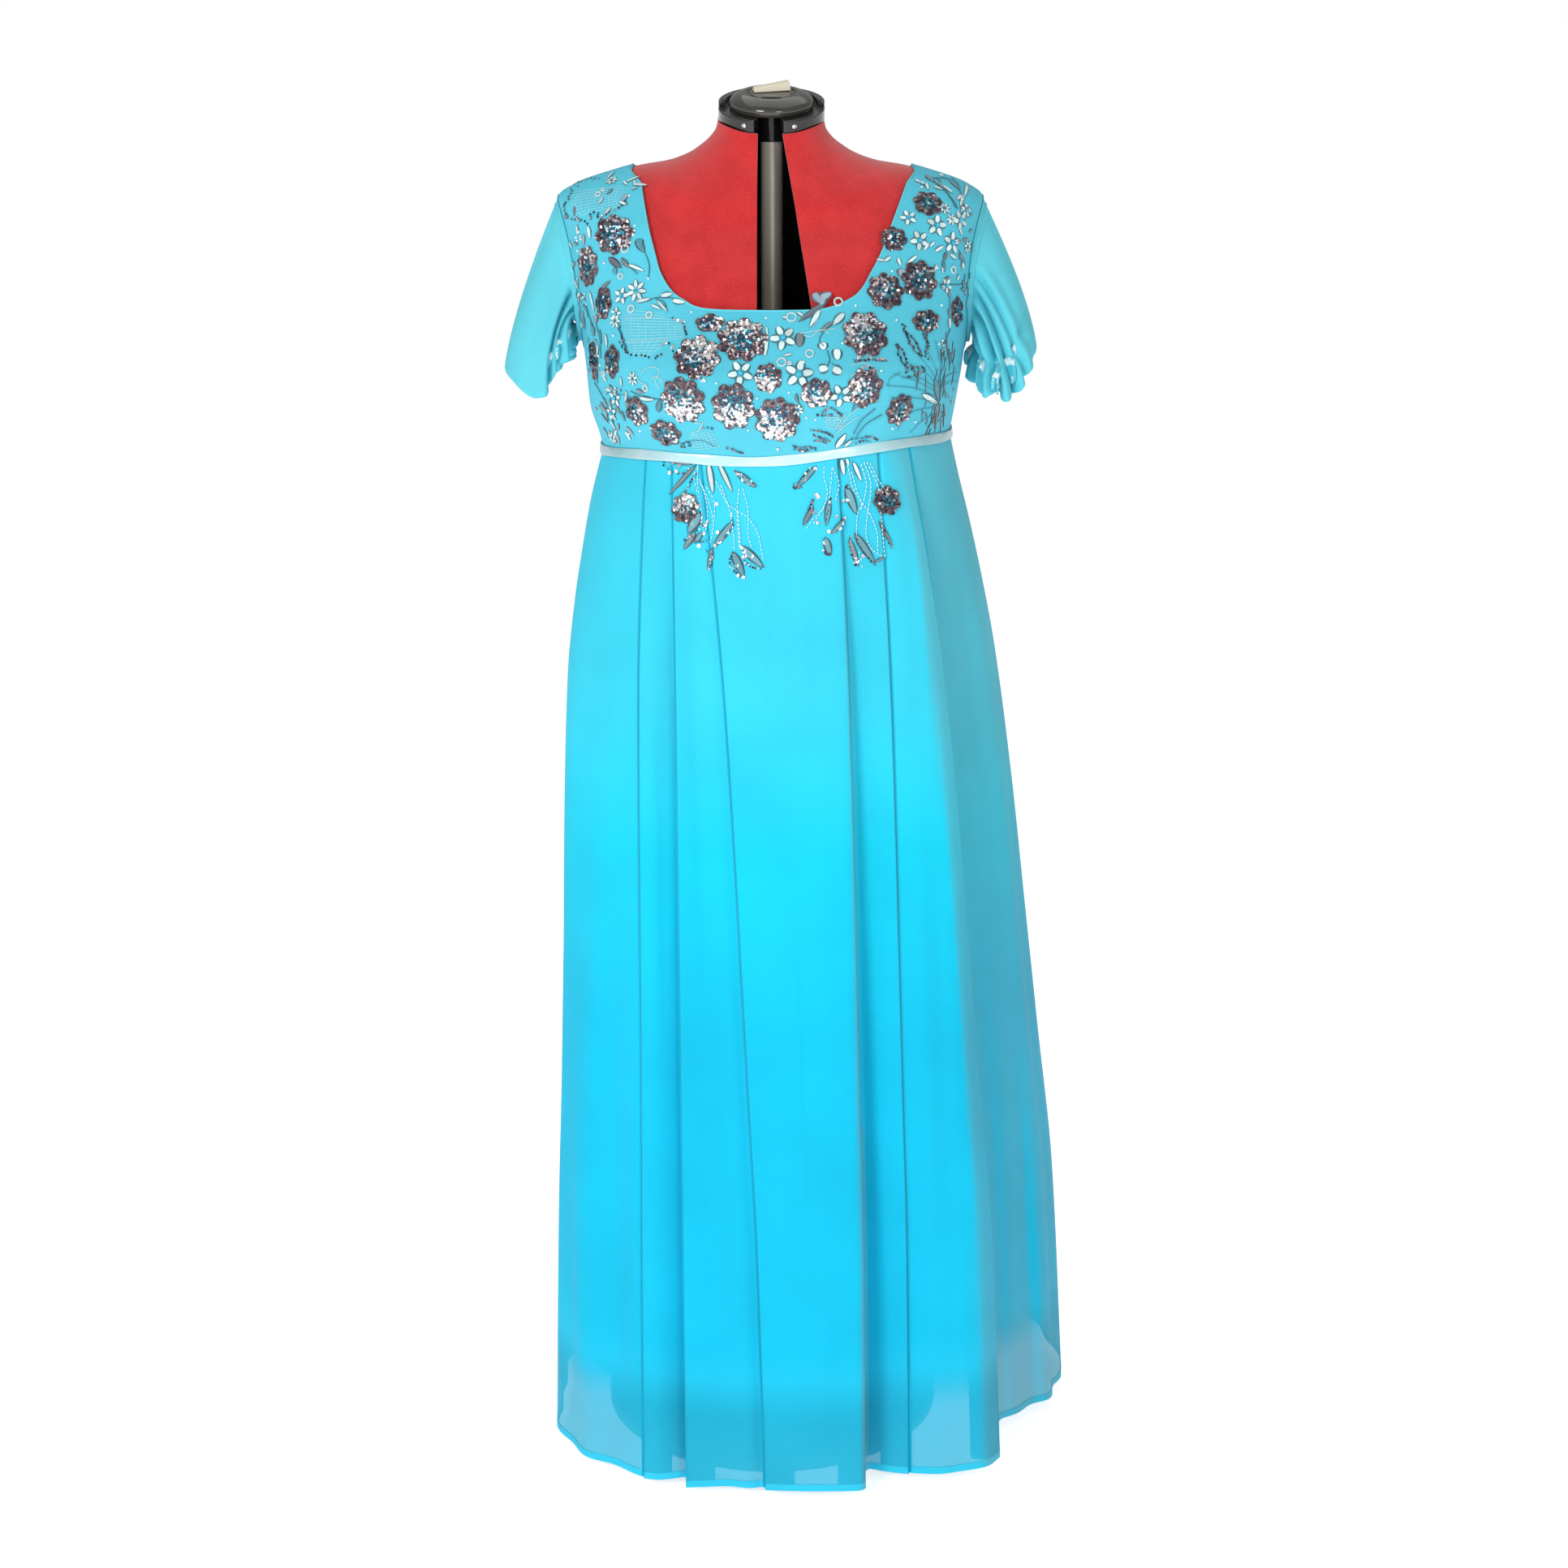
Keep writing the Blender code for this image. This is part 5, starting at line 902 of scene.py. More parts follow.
def frill_grid(side, rows=12, columns=680):
    """Rows of a band that hangs from a ring of the sleeve above its cuff, smoothed of the sleeve's own folds: it
    swings out and back and from side to side as it drops, at twice the pace sideways, so that each wave is a
    loop. Between the loops it lies close inside the cuff."""
    waves, out, drop, reach, full_at = FRILLS[side]
    ring, turn = sleeve_grid(side)[FRILL_ROW], full_turn(columns)
    at = turn / TAU * len(ring)
    line = np.stack([np.interp(at, np.arange(len(ring) + 1), np.append(column, column[0])) for column in ring.T], 1)
    line = sum(np.roll(line, k, axis=0) for k in range(-FRILL_SMOOTH, FRILL_SMOOTH + 1)) / (2 * FRILL_SMOOTH + 1)
    around = unit(np.roll(line, -1, axis=0) - np.roll(line, 1, axis=0))
    radial = together(-np.cos(turn) * side, -np.sin(turn), 0)
    full = column_at(full_at, np.degrees(turn))
    phase = waves * turn + 0.9 * np.sin(3 * turn + 0.4) + 0.5 * np.sin(8 * turn)
    size = reach * full * (1 + 0.3 * np.sin(5.4 * turn + 1))
    t = np.linspace(0, 1, rows)[:, None]
    opened = np.sin(t * PI / 2)
    swing = (out * full - FRILL_HEAD * (1 - full) + size * np.sin(phase)) * opened
    swing += FRILL_HEAD * np.sin(PI * t) * full
    sideways = 0.85 * size * np.sin(2 * phase) * opened ** 1.5
    fall = (FRILL_HEAD + drop * full * (1 + 0.10 * np.sin(phase + 0.7))) * t - 0.0035 * full * np.sin(PI * t)
    return kept_clear(line + radial * swing[..., None] + around * sideways[..., None]
                      - np.array([0, 0, 1.0]) * fall[..., None], side, SLEEVE_CLEAR / 2)


for name, side, flat in (("cuff_frill_left", -1, (0.42, 0.017)), ("cuff_frill_right", 1, (0.66, 0.024))):
    grid = frill_grid(side)
    skin = wall_normals(grid) * FRILL_THICK / 2
    cells = (grid.shape[0] - 1) * grid.shape[1]
    frill = add_wall(name, grid + skin, grid - skin, (sleeve_chiffon, frill_satin_painted_glints), "chiffon",
                     [side < 0] * cells + [side > 0] * cells, uv=cloth_uv(grid))


# ---- Skirt lining ---------------------------------------------------------------------------------
# A plain, narrower underskirt of smooth turquoise cloth, sewn in with the waist seam. Its hem shows through
# the sheer edge of the chiffon.
HEM_Z, LINING_HEM_Z, LINING_INSET = 0.012, 0.088, 0.0068
# Plan of its hem in mm, from the right side round by the back.
LINING_HEM = MM * np.array(((232, 0), (212, 90), (140, 165), (30, 195), (-90, 180), (-180, 115), (-222, 10),
    (-205, -85), (-135, -165), (-20, -192), (100, -180), (190, -105)))
LINING_FLARE = ((0.0, 0.0), (0.10, 0.26), (0.25, 0.52), (0.5, 0.74), (0.75, 0.88), (1.0, 1.0))
LINING_WAVES = ((3, 0.0040, 0.5), (5, 0.0030, 2.1), (9, 0.0015, 4.0))
WAIST_BEARINGS = np.radians(np.linspace(-180, 180, 1441))
WAIST_LINE = np.where((np.abs(WAIST_BEARINGS) <= PI / 2)[:, None],
                      torso(*on_round(WAIST_BEARINGS, waist_height(WAIST_BEARINGS), -1)),
                      torso(*on_round(WAIST_BEARINGS, waist_height(WAIST_BEARINGS), 1)))


def waist_points(bearings):
    """Points of the under-bust seam at bearings in radians."""
    turned_to = (np.asarray(bearings) + PI) % TAU - PI
    return together(*(np.interp(turned_to, WAIST_BEARINGS, column) for column in WAIST_LINE.T))


def plan_normals(rows, closed=False):
    """Normals in plan, to the right of each row's direction, mitred between the steps at each point."""
    steps = unit((np.roll(rows, -1, axis=1) - rows if closed else np.diff(rows, axis=1))[..., :2])
    after = steps if closed else np.concatenate([steps, steps[:, -1:]], axis=1)
    before = np.roll(steps, 1, axis=1) if closed else np.concatenate([steps[:, :1], steps], axis=1)
    total = unit(after + before)
    total /= np.clip(np.sum(total * after, axis=-1, keepdims=True), 0.72, 1)
    return together(total[..., 1], -total[..., 0], 0)


lining_cloth = new_finish("lining_cloth", (0.012, 0.46, 0.66), 0.50, Sheen_Weight=0.2, Sheen_Roughness=0.4)
wire(lining_cloth, shades(lining_cloth, noise(lining_cloth, 9, at="UV"), (0.0, (0.008, 0.42, 0.62)),
                          (1.0, (0.016, 0.50, 0.70))), "Base Color")
relief(lining_cloth, noise(lining_cloth, 900, at="UV"), 0.15)


def lining_grid(rows=60, columns=220):
    """Rows of the lining from its hem up: the waist drawn in a little, opened towards its plan at the hem,
    with a few cosine waves that grow downwards."""
    down = np.linspace(1, 0, rows)[:, None]
    turns = PI / 2 + full_turn(columns)
    waist = waist_points(turns)
    waist[:, :2] *= 1 - LINING_INSET / np.linalg.norm(waist[:, :2], axis=1, keepdims=True)
    hem = smooth_curve(LINING_HEM, columns, closed=True)
    opened = column_at(LINING_FLARE, down)[..., None]
    plan = waist[:, :2] * (1 - opened) + hem * opened
    wave = sum(size * np.cos(count * turns + start) for count, size, start in LINING_WAVES)
    z = (waist[:, 2] - SEAM) * (1 - down) + (LINING_HEM_Z + wave) * down
    grid = np.concatenate([plan, z[..., None]], axis=-1)
    return grid - plan_normals(grid, True) * (0.6 * np.abs(wave) * down)[..., None]


grid = lining_grid()
lining = add_wall("skirt_lining", grid, grid - plan_normals(grid, True) * CLOTH, (lining_cloth,), "lining",
                  uv=cloth_uv(grid), sharp=60)


# ---- Skirt ----------------------------------------------------------------------------------------
# A long skirt of the same chiffon in a front and a back, joined at the sides. The front is laid in three
# knife pleats on each side of a plain middle, pressed at the seam and loose below; the back is gathered.
# The way down, then how far the left side and the right have opened there from the waist to the hem.
FLARE = ((0.000, 0.00, 0.000), (0.049, 0.21, 0.085), (0.080, 0.31, 0.145), (0.144, 0.49, 0.255),
         (0.208, 0.61, 0.350), (0.341, 0.70, 0.497), (0.476, 0.75, 0.620), (0.614, 0.81, 0.745),
         (0.757, 0.90, 0.876), (1.000, 1.00, 1.000))
LAYER_GAP, UNDERLAY_GAP, UNDERLAY_TOP, UNDERLAY_HEM, PLEAT_RETURN = 0.0008, 0.0016, 0.014, 0.030, 0.0055
SIDE_SEAM = 0.00045
# Panels from the middle out: where the fold that ends each lies at the waist, its columns, and its plan at the
# hem, in mm.
PANELS = {1: ((67, 26, ((45, -250), (80, -249.5), (97, -248), (103, -243.5))),
              (108, 24, ((108, -201), (130, -208.5), (150, -212.5))),
              (140, 34, ((157, -211), (185, -212.5), (209, -206.5), (239, -196), (255, -175))),
              (None, 44, ((263, -88), (281, -74), (304, -55), (331, -16), (343, 35)))),
          -1: ((-70, 26, ((45, -250), (20, -249), (-6, -247.5))),
              (-100, 28, ((-11.5, -240.5), (-25, -243), (-50, -239), (-92.5, -242))),
              (-127, 24, ((-95, -219), (-122, -225), (-140, -222.5))),
              (None, 40, ((-145.5, -216.5), (-164, -203), (-184, -186), (-209, -168), (-230, -144), (-239, -122),
                     (-243, -84), (-246, -30))))}
BACK_HEM = MM * np.array(((343, 35), (336, 110), (293, 190), (190, 246), (50, 268), (-90, 256), (-190, 204),
    (-236, 110), (-246, -30)))
SIDE_WAVES, SIDE_WAVE_DEPTH, BACK_WAVES, BACK_WAVE_DEPTH = 2.5, 0.005, 9.0, 0.008
# Soft creases of the front's panels: x and z of one end and of the other, width and depth, in mm.
SKIRT_CREASES = MM * np.array(((-4, 1120, -8, 830, 4.5, -0.8), (28, 1110, 34, 860, 9, 1.2),
    (-38, 1100, -26, 760, 10, -1.2), (52, 900, 60, 400, 12, 1.2), (10, 700, 22, 120, 16, -1.6),
    (102, 1000, 112, 620, 6, -1.2), (110, 640, 126, 180, 9, 1.5), (150, 1060, 170, 760, 8, 1.2),
    (172, 700, 192, 240, 12, -1.8), (-83, 980, -68, 560, 7, 1.2), (-62, 600, -50, 120, 10, -1.6),
    (-113, 900, -112, 500, 6, 1), (-160, 1060, -168, 640, 12, -3), (-190, 1000, -204, 500, 14, 3.5),
    (-165, 560, -168, 60, 14, 3), (-212, 560, -214, 80, 12, -3.5), (196, 1040, 240, 620, 11, -3),
    (245, 700, 282, 240, 14, 3.5), (262, 560, 300, 100, 10, -3), (-6, 240, -10, 40, 6, 1.4),
    (70, 320, 78, 60, 10, -1.4), (205, 330, 214, 60, 11, 1.6)))


def bearing_at(x):
    """Bearing of the front waist at a distance from the middle."""
    front = np.abs(WAIST_BEARINGS) <= PI / 2
    return float(np.interp(x, WAIST_LINE[front, 0], WAIST_BEARINGS[front]))


def flare(down, share):
    """How far the skirt has opened, blended from the left side's rate to the right side's."""
    return column_at(FLARE, down) * (1 - eased(share)) + column_at(FLARE, down, 2) * eased(share)


def opened_rows(waist, hem, opened, down):
    """Rows between a waist line and a plan at the hem, whose heights fall evenly."""
    plan = waist[:, :2] * (1 - opened[..., None]) + hem * opened[..., None]
    return np.concatenate([plan, ((waist[:, 2] - SEAM / 2) * (1 - down) + HEM_Z * down)[..., None]], axis=-1)


def panel_rows(hem_plan, cells, start, end, down, wave_depth):
    """One panel: its waist run opened towards its plan at the hem, with sine waves and soft creases."""
    waist = waist_points(np.linspace(start, end, cells + 1))
    rows = opened_rows(waist, smooth_curve(MM * np.array(hem_plan), cells + 1),
                       flare(down, (waist[:, 0] + 0.13) / 0.05), down)
    share = np.linspace(0, 1, cells + 1)
    wave = wave_depth * down * np.sin(PI * share) * np.sin(TAU * SIDE_WAVES * share)
    return rows + plan_normals(rows) * (wave + creased(rows, SKIRT_CREASES))[..., None]


def beside_end(rows, distance):
    """Each row's point at a distance back from its end, and its direction there."""
    found = []
    for line, back in zip(rows, np.broadcast_to(distance, len(rows))):
        run = run_of(line, 0)
        found.append([[np.interp(run[-1] - back + step, run, column) for column in line.T]
                      for step in (0.0, -0.002, 0.002)])
    here, before, after = np.moveaxis(np.array(found), 1, 0)
    return here, unit((after - before)[:, :2])


def fold_rows(upper, lower, side, down):
    """The hidden layers of a knife pleat in every row, corners cut: under the upper panel's edge, back along
    it, and out again to the lower panel."""
    underlay = UNDERLAY_TOP * (1 - down) + UNDERLAY_HEM * down

    def place(distance, depth, ahead=0.0):
        here, way = beside_end(upper, distance)
        inward = together(-way[:, 1], way[:, 0]) * side
        plan = here[:, :2] + inward * np.reshape(depth, (-1, 1)) + way * ahead
        return np.concatenate([plan, here[:, 2:]], axis=1)

    edge, way = beside_end(upper, 0.0)
    inward = together(-way[:, 1], way[:, 0]) * side
    drop = np.maximum(np.sum((lower[:, 0, :2] - edge[:, :2]) * inward, axis=1), 0)
    turned_in = 2 * CLOTH + LAYER_GAP
    middle, low = np.maximum(turned_in, 0.5 * drop), np.maximum(turned_in + LAYER_GAP, 0.82 * drop)
    points = [upper[:, -1], place(0.0, turned_in / 2, turned_in / 2), place(0.0, turned_in),
              place(underlay / 2, (turned_in + middle) / 2), place(underlay, middle),
              place(underlay, middle + UNDERLAY_GAP / 2, -UNDERLAY_GAP / 2),
              place(underlay, middle + UNDERLAY_GAP), place(underlay / 2, (middle + UNDERLAY_GAP + low) / 2),
              place(0.0, low), lower[:, 0]]
    points = np.stack(points, axis=1)
    for _ in range(2):
        cut = np.stack([0.75 * points[:, :-1] + 0.25 * points[:, 1:],
                        0.25 * points[:, :-1] + 0.75 * points[:, 1:]], axis=2).reshape(len(points), -1, 3)
        points = np.concatenate([points[:, :1], cut, points[:, -1:]], axis=1)
    return points[:, 2:-2:2]


def front_half(side, down):
    """Half the front, from the middle of its centre panel out to the side seam."""
    parts, start = [], bearing_at(0.0)
    for fold_x, cells, hem_plan in PANELS[side]:
        end = side * SIDE_BEARING if fold_x is None else bearing_at(fold_x * MM)
        rows = panel_rows(hem_plan, cells, start, end, down, SIDE_WAVE_DEPTH if fold_x is None else 0.0)
        if parts:
            parts.append(fold_rows(parts[-1], rows, side, down[:, 0]))
        parts.append(rows)
        if fold_x is not None:
            start = bearing_at(fold_x * MM + side * PLEAT_RETURN)
    return np.concatenate(parts, axis=1)


def front_rows(down):
    """The whole front, from the left side seam to the right one."""
    left, right = front_half(-1, down), front_half(1, down)
    return np.concatenate([left[:, ::-1], right[:, 1:]], axis=1)


def back_rows(down, front, columns=260):
    """The back from the right side seam round to the left one: gathers that start fine at the waist and run
    together into broad folds."""
    turns = np.linspace(PI / 2, 3 * PI / 2, columns + 1)
    share = np.linspace(0, 1, columns + 1)
    rows = opened_rows(waist_points(turns), smooth_curve(BACK_HEM, columns + 1), flare(down, 1 - share), down)
    ends = np.sqrt(np.sin(PI * share))
    broad = np.sin(TAU * BACK_WAVES * share + 0.5 * np.sin(TAU * 2 * share))
    fine = np.sqrt(np.sin(PI * 3 * BACK_WAVES * share + 0.8 * np.sin(10 * PI * share)) ** 2 + 0.05) - 0.7
    pinch = np.clip(down / 0.03, 0, 1)
    wave = ends * (BACK_WAVE_DEPTH * down * broad + 0.0022 * pinch * np.exp(-down * 5) * fine * 1.4)
    rows = rows + plan_normals(rows) * wave[..., None]
    for end, beside, before in ((0, front[:, -1], front[:, -2]), (-1, front[:, 0], front[:, 1])):
        rows[:, end, :2] = beside[:, :2] + unit((beside - before)[:, :2]) * SIDE_SEAM
        rows[:, end, 2] = beside[:, 2]
    return rows


def fold_marks(rows, columns):
    """1 for each cell of the pleats' hidden layers, which take a darker finish as painted shade, so that each
    fold's edge shows as a dark shadow line, and 0 elsewhere.
    """
    plain = [[cells for _, cells, _ in PANELS[side]] for side in (-1, 1)]
    hidden = (columns - 1 - sum(plain[0]) - sum(plain[1])) // (len(plain[0]) + len(plain[1]) - 2)
    left, right = ([mark for k, cells in enumerate(half)
                    for mark in ([0] + [1] * (hidden - 2) + [0]) * (k > 0) + [0] * cells] for half in plain)
    return np.tile(left[::-1] + right, 2 * (rows - 1))


def add_skirt(name, rows, marks=()):
    """One wall of the skirt from its rows, turned to run from the hem up."""
    grid = rows[::-1]
    return add_wall(name, grid, grid - plan_normals(grid) * CLOTH, (skirt_chiffon, painted_fold_shade), "chiffon", marks,
                    False, uv=cloth_uv(grid), sharp=60)


SKIRT_STOPS = ((0.0, (0.046, 0.605, 0.800)), (0.21, (0.034, 0.605, 0.810)), (0.36, (0.002, 0.590, 0.810)),
               (0.56, (0.000, 0.515, 0.780)), (0.86, (0.000, 0.515, 0.780)),
               (1.0, (0.028, 0.560, 0.790)))
skirt_chiffon = chiffon_finish("skirt_chiffon", *SKIRT_STOPS, low_alpha=0.64)
# Painted shade: the pleats' hidden layers are coloured darker, standing in for the shadow inside each fold.
painted_fold_shade = chiffon_finish("painted_fold_shade", (0.0, (0.020, 0.470, 0.640)), (1.0, (0.000, 0.400, 0.620)))
down = (np.linspace(0, 1, 96) ** 1.25)[:, None]
front = front_rows(down)
skirt_front = add_skirt("skirt_front", front, fold_marks(*front.shape[:2]))
skirt_back = add_skirt("skirt_back", back_rows(down, front))


# ---- Waist ribbon ---------------------------------------------------------------------------------
# A narrow double-faced satin ribbon stitched over the under-bust seam, white-blue and shiny.
RIBBON_WIDTH, RIBBON_THICK, RIBBON_LIFT = 0.010, 0.001, 0.0012
satin = new_finish("ribbon_satin", (0.50, 0.80, 0.84), 0.22, Anisotropic=0.6, Specular_IOR_Level=0.9)
gleam = shades(satin, noise(satin, 22, at="UV"), (0.0, (0.30, 0.66, 0.73)), (1.0, (0.64, 0.82, 0.85)))
# Painted highlight and shade: the colour is raised across the middle of the front and lowered towards the sides, by
# the distance from the middle along X.
place = add_node(satin, "ShaderNodeTexCoord").outputs["Object"]
spot = add_node(satin, "ShaderNodeSeparateXYZ", (), (("Vector", place),)).outputs["X"]
aside = add_node(satin, "ShaderNodeMath", (), ((0, spot),), operation="ABSOLUTE").outputs[0]
painted_highlight_and_shade = graded(satin, aside, 1.15, 0.62, 0.05, 0.16)
wire(satin, mixed(satin, "VectorMath", "MULTIPLY", gleam, painted_highlight_and_shade), "Base Color")
relief(satin, noise(satin, 1, at="UV", stretch=(40, 5200, 1)), 0.2, 0.0002)


def ribbon_grid(columns=480, rows=7):
    """A flat band about the waist, as far out as the cloth under its two edges, curved over at its selvedges,
    with faint puckers."""
    bearings = np.linspace(-PI, PI, columns, endpoint=False)
    out = together(np.sin(bearings), -np.cos(bearings))
    low_row = np.array([[RIBBON_WIDTH / 2 / (WAIST_Z - HEM_Z)]])
    skirt = np.concatenate([front_rows(low_row)[0], back_rows(low_row, front_rows(low_row))[0]])
    way, far = np.arctan2(skirt[:, 0], -skirt[:, 1]), np.hypot(skirt[:, 0], skirt[:, 1])
    reach = np.array([np.max(far[np.abs((way - b + PI) % TAU - PI) < 0.035]) for b in bearings])
    reach = (np.roll(reach, 2) + np.roll(reach, 1) + reach + np.roll(reach, -1) + np.roll(reach, -2)) / 5
    middle = waist_points(bearings)
    near = np.hypot(middle[:, 0], middle[:, 1])
    height = np.linspace(-1, 1, rows)[:, None]
    above = near + 0.0006
    pucker = 0.00025 * np.sin(41 * bearings + 2 * np.sin(7 * bearings)) * (1 - height ** 2)
    radius = reach * (1 - height) / 2 + above * (1 + height) / 2 + RIBBON_LIFT + 0.0004 * (1 - height ** 4) + pucker
    z = middle[:, 2] + height * (RIBBON_WIDTH / 2 + 0.0003 * np.sin(13 * bearings))
    return np.concatenate([out * radius[..., None], z[..., None]], axis=-1), out


grid, out = ribbon_grid()
ribbon = add_wall("waist_ribbon", grid + np.pad(out * RIBBON_THICK, ((0, 0), (0, 1))), grid, (satin,), "satin",
                  uv=cloth_uv(grid), sharp=60, bevel=0.0003)


# ---- Lace flowers ---------------------------------------------------------------------------------
# Motifs cut from beaded lace and sewn flat to the bodice. Each flower is a scalloped patch of mauve net with
# a dark cord round its petals and between them, and a blue-green heart.
# Places in the lace's tables are a bearing from the front in degrees and a height in mm above LACE_FOOT. Then
# a flower's half width, half height, petals and turn, the way its silver sequins lie and their share; the
# silver sequins are painted glints, gathered where the flower catches the light.
LACE_FOOT = 1000
FLOWERS = ((-61.8, 350, 21.5, 20.5, 8, 10, 60, 0.16), (-69, 316, 16, 20, 8, 35, 100, 0.26),
    (-61.2, 281, 11.5, 16.5, 6, 0, 0, 0.04), (-22.2, 267, 14.5, 9.5, 5, 20, 0, 0.2),
    (-10, 252, 25, 22.5, 9, 5, 90, 0.42), (-24.6, 235, 23.5, 22.5, 8, 40, 55, 0.66),
    (-28.6, 192.5, 23.5, 24.5, 9, 15, -90, 0.66), (-12.2, 187.5, 21.5, 24.5, 8, 30, -80, 0.5),
    (2.2, 173.5, 22, 23.5, 9, 0, -115, 0.66), (-0.8, 216, 13.5, 14.5, 7, 25, -90, 0.6),
    (14.8, 201, 15.5, 15, 7, 45, -90, 0.7), (30.5, 205, 18.5, 21, 7, 10, 190, 0.34),
    (43.5, 179, 16.5, 16.5, 8, 50, -60, 0.14), (33, 256, 23.5, 23.5, 8, 20, 120, 0.45),
    (43.6, 296, 19, 18.5, 8, 0, 100, 0.2), (55.6, 305, 20.5, 20, 8, 30, 45, 0.16),
    (54.8, 265, 18, 11, 7, 15, 0, 0.12), (67.3, 379, 15, 14.5, 7, 5, 0, 0.05), (52, 346, 13.5, 12.5, 7, 40, 0, 0.04),
    (-46, 176.5, 15.5, 15.5, 6, 20, -60, 0.22), (-36.5, 156, 17.5, 14.5, 7, 0, 0, 0.22),
    (-55.5, 224, 12.5, 16.5, 6, 35, 0, 0.05), (-67.5, 220, 12.5, 20, 6, 10, 0, 0.08),
    (69.5, 270, 12.5, 15, 6, 25, -90, 0.1))
# Two more lie on the skirt at the head of each spray. Places there are x and height.
SKIRT_FLOWERS = ((-87, 80, 14.5, 15.5, 8, 10, 95, 0.75), (118.5, 86, 15.5, 15, 7, 30, 80, 0.15))
PETAL_DIP, NET_LOW, NET_RISE, NET_DOME = 0.30, 0.00015, 0.0008, 0.0009
# The skirt's relief map: its low corner, its cell and how many cells up and across.
FIELD_X, FIELD_Z, FIELD_STEP, FIELD_ROWS, FIELD_COLUMNS = -0.150, 0.960, 0.0015, 130, 200
chance = np.random.default_rng(1811)

near = front_rows(np.linspace(0, 0.17, 170)[:, None])
near = np.concatenate([near[:, :-1] * (1 - t) + near[:, 1:] * t for t in np.arange(6) / 6], axis=1).reshape(-1, 3)
near = near[(np.abs(near[:, 0]) < -FIELD_X - FIELD_STEP) & (near[:, 2] > FIELD_Z)]
field = np.zeros((FIELD_ROWS, FIELD_COLUMNS))
np.minimum.at(field, (((near[:, 2] - FIELD_Z) / FIELD_STEP).astype(int),
                      ((near[:, 0] - FIELD_X) / FIELD_STEP).astype(int)), near[:, 1])
for axis in (0, 1):
    field = np.minimum(np.minimum(field, np.roll(field, 1, axis)), np.roll(field, -1, axis))


def skirt_cloth(points):
    """The foremost cloth of the skirt in line with each point, weighed from the four nearest cells of its
    relief map, and the way out from it."""
    column = (points[..., 0] - FIELD_X) / FIELD_STEP - 0.5
    row = (points[..., 2] - FIELD_Z) / FIELD_STEP - 0.5
    j, i = np.clip(column, 0, FIELD_COLUMNS - 2).astype(int), np.clip(row, 0, FIELD_ROWS - 2).astype(int)
    b, a = np.clip(column - j, 0, 1), np.clip(row - i, 0, 1)
    y = ((field[i, j] * (1 - b) + field[i, j + 1] * b) * (1 - a)
         + (field[i + 1, j] * (1 - b) + field[i + 1, j + 1] * b) * a)
    return together(points[..., 0], y, points[..., 2]), unit(together(4.5 * points[..., 0], -1.0, 0.27))


def cloth_at(places, on_skirt=False):
    """The cloth at places in a table: a bearing in degrees and a height in mm on the bodice, or x and z in mm
    on the skirt. Gives the point, the way out from it, and its angle and ring on the torso."""
    places = np.asarray(places, float)
    z = (places[..., 1] + LACE_FOOT) * MM
    if on_skirt:
        return *skirt_cloth(together(places[..., 0] * MM, 0, z)), None
    at = on_round(np.radians(places[..., 0]), z)
    return torso(*at), torso_skin(*at), at


def frame_of(skin):
    """Two ways along the cloth: level, and up it."""
    level = unit(np.cross((0, 0, 1.0), skin))
    return level, np.cross(skin, level)


def laid(form, places, long, wide, turn, aside=0.0, on_skirt=False):
    """Copies of a flat form (along, across, height) laid on the cloth: sized in mm, moved aside along their
    own length, turned in degrees, and then each point set down on the cloth nearest to it."""
    middle, skin, at = cloth_at(places, on_skirt)
    level, up = frame_of(skin)
    long, wide, turn, aside = (np.broadcast_to(v, len(middle))[:, None]
                               for v in (long, wide, np.radians(turn), aside))
    u, v = form[..., 0] * long * MM + aside * MM, form[..., 1] * wide * MM
    across, along = u * np.cos(turn) - v * np.sin(turn), u * np.sin(turn) + v * np.cos(turn)
    flat = middle[:, None] + level[:, None] * across[..., None] + up[:, None] * along[..., None]
    if on_skirt:
        foot, skin = skirt_cloth(flat)
    else:
        at = nearest(flat, *(np.broadcast_to(guess[:, None], flat.shape[:2]) for guess in at))
        foot, skin = torso(*at), torso_skin(*at)
    return foot + skin * form[..., 2:]


def copies(faces, corners, count):
    """The same faces once for each copy of a form with that many corners."""
    return (faces[None] + corners * np.arange(count)[:, None, None]).reshape(-1, faces.shape[1])


def threads(lines, skins, radius, sides=5):
    """Round threads along lines of points: a circle about each point, square to the line, pinched shut at
    both ends. Gives points and faces."""
    lines, skins = (np.concatenate([part[:, :1], part, part[:, -1:]], axis=1) for part in (lines, skins))
    way = np.gradient(lines, axis=1)
    side = unit(np.cross(way, skins))
    size = np.broadcast_to(np.reshape(radius, (-1, 1)), lines.shape[:2]).copy()
    size[:, [0, -1]] = 0
    turn = full_turn(sides)[:, None]
    points = (lines[:, :, None] + size[..., None, None]
              * (np.cos(turn) * skins[:, :, None] + np.sin(turn) * side[:, :, None]))
    count = lines.shape[1]
    return points.reshape(-1, 3), copies(grid_quads(count, sides, True), count * sides, len(lines))


def joined(*parts):
    """Several sets of points, faces and tints as one."""
    starts = np.cumsum([0] + [len(points) for points, _, _ in parts])
    return (np.vstack([points for points, _, _ in parts]),
            np.vstack([faces + start for (_, faces, _), start in zip(parts, starts)]),
            np.vstack([np.column_stack([np.broadcast_to(tint, (len(points), 3)), np.ones(len(points))])
                       for points, _, tint in parts]))


def tinted(name, roughness, metallic, stitches, **inputs):
    """A finish that takes its colour from the piece's own tint, a little uneven, with stitches or crackle in
    its relief."""
    finish = new_finish(name, (0.5, 0.5, 0.5), roughness, Metallic=metallic, **inputs)
    tint = add_node(finish, "ShaderNodeVertexColor", layer_name="tint").outputs[0]
    grain = noise(finish, stitches)
    uneven = graded(finish, grain, 0.82, 1.14, 0.3, 0.7)
    wire(finish, mixed(finish, "VectorMath", "MULTIPLY", tint, uneven), "Base Color")
    relief(finish, grain, 0.35)
    return finish


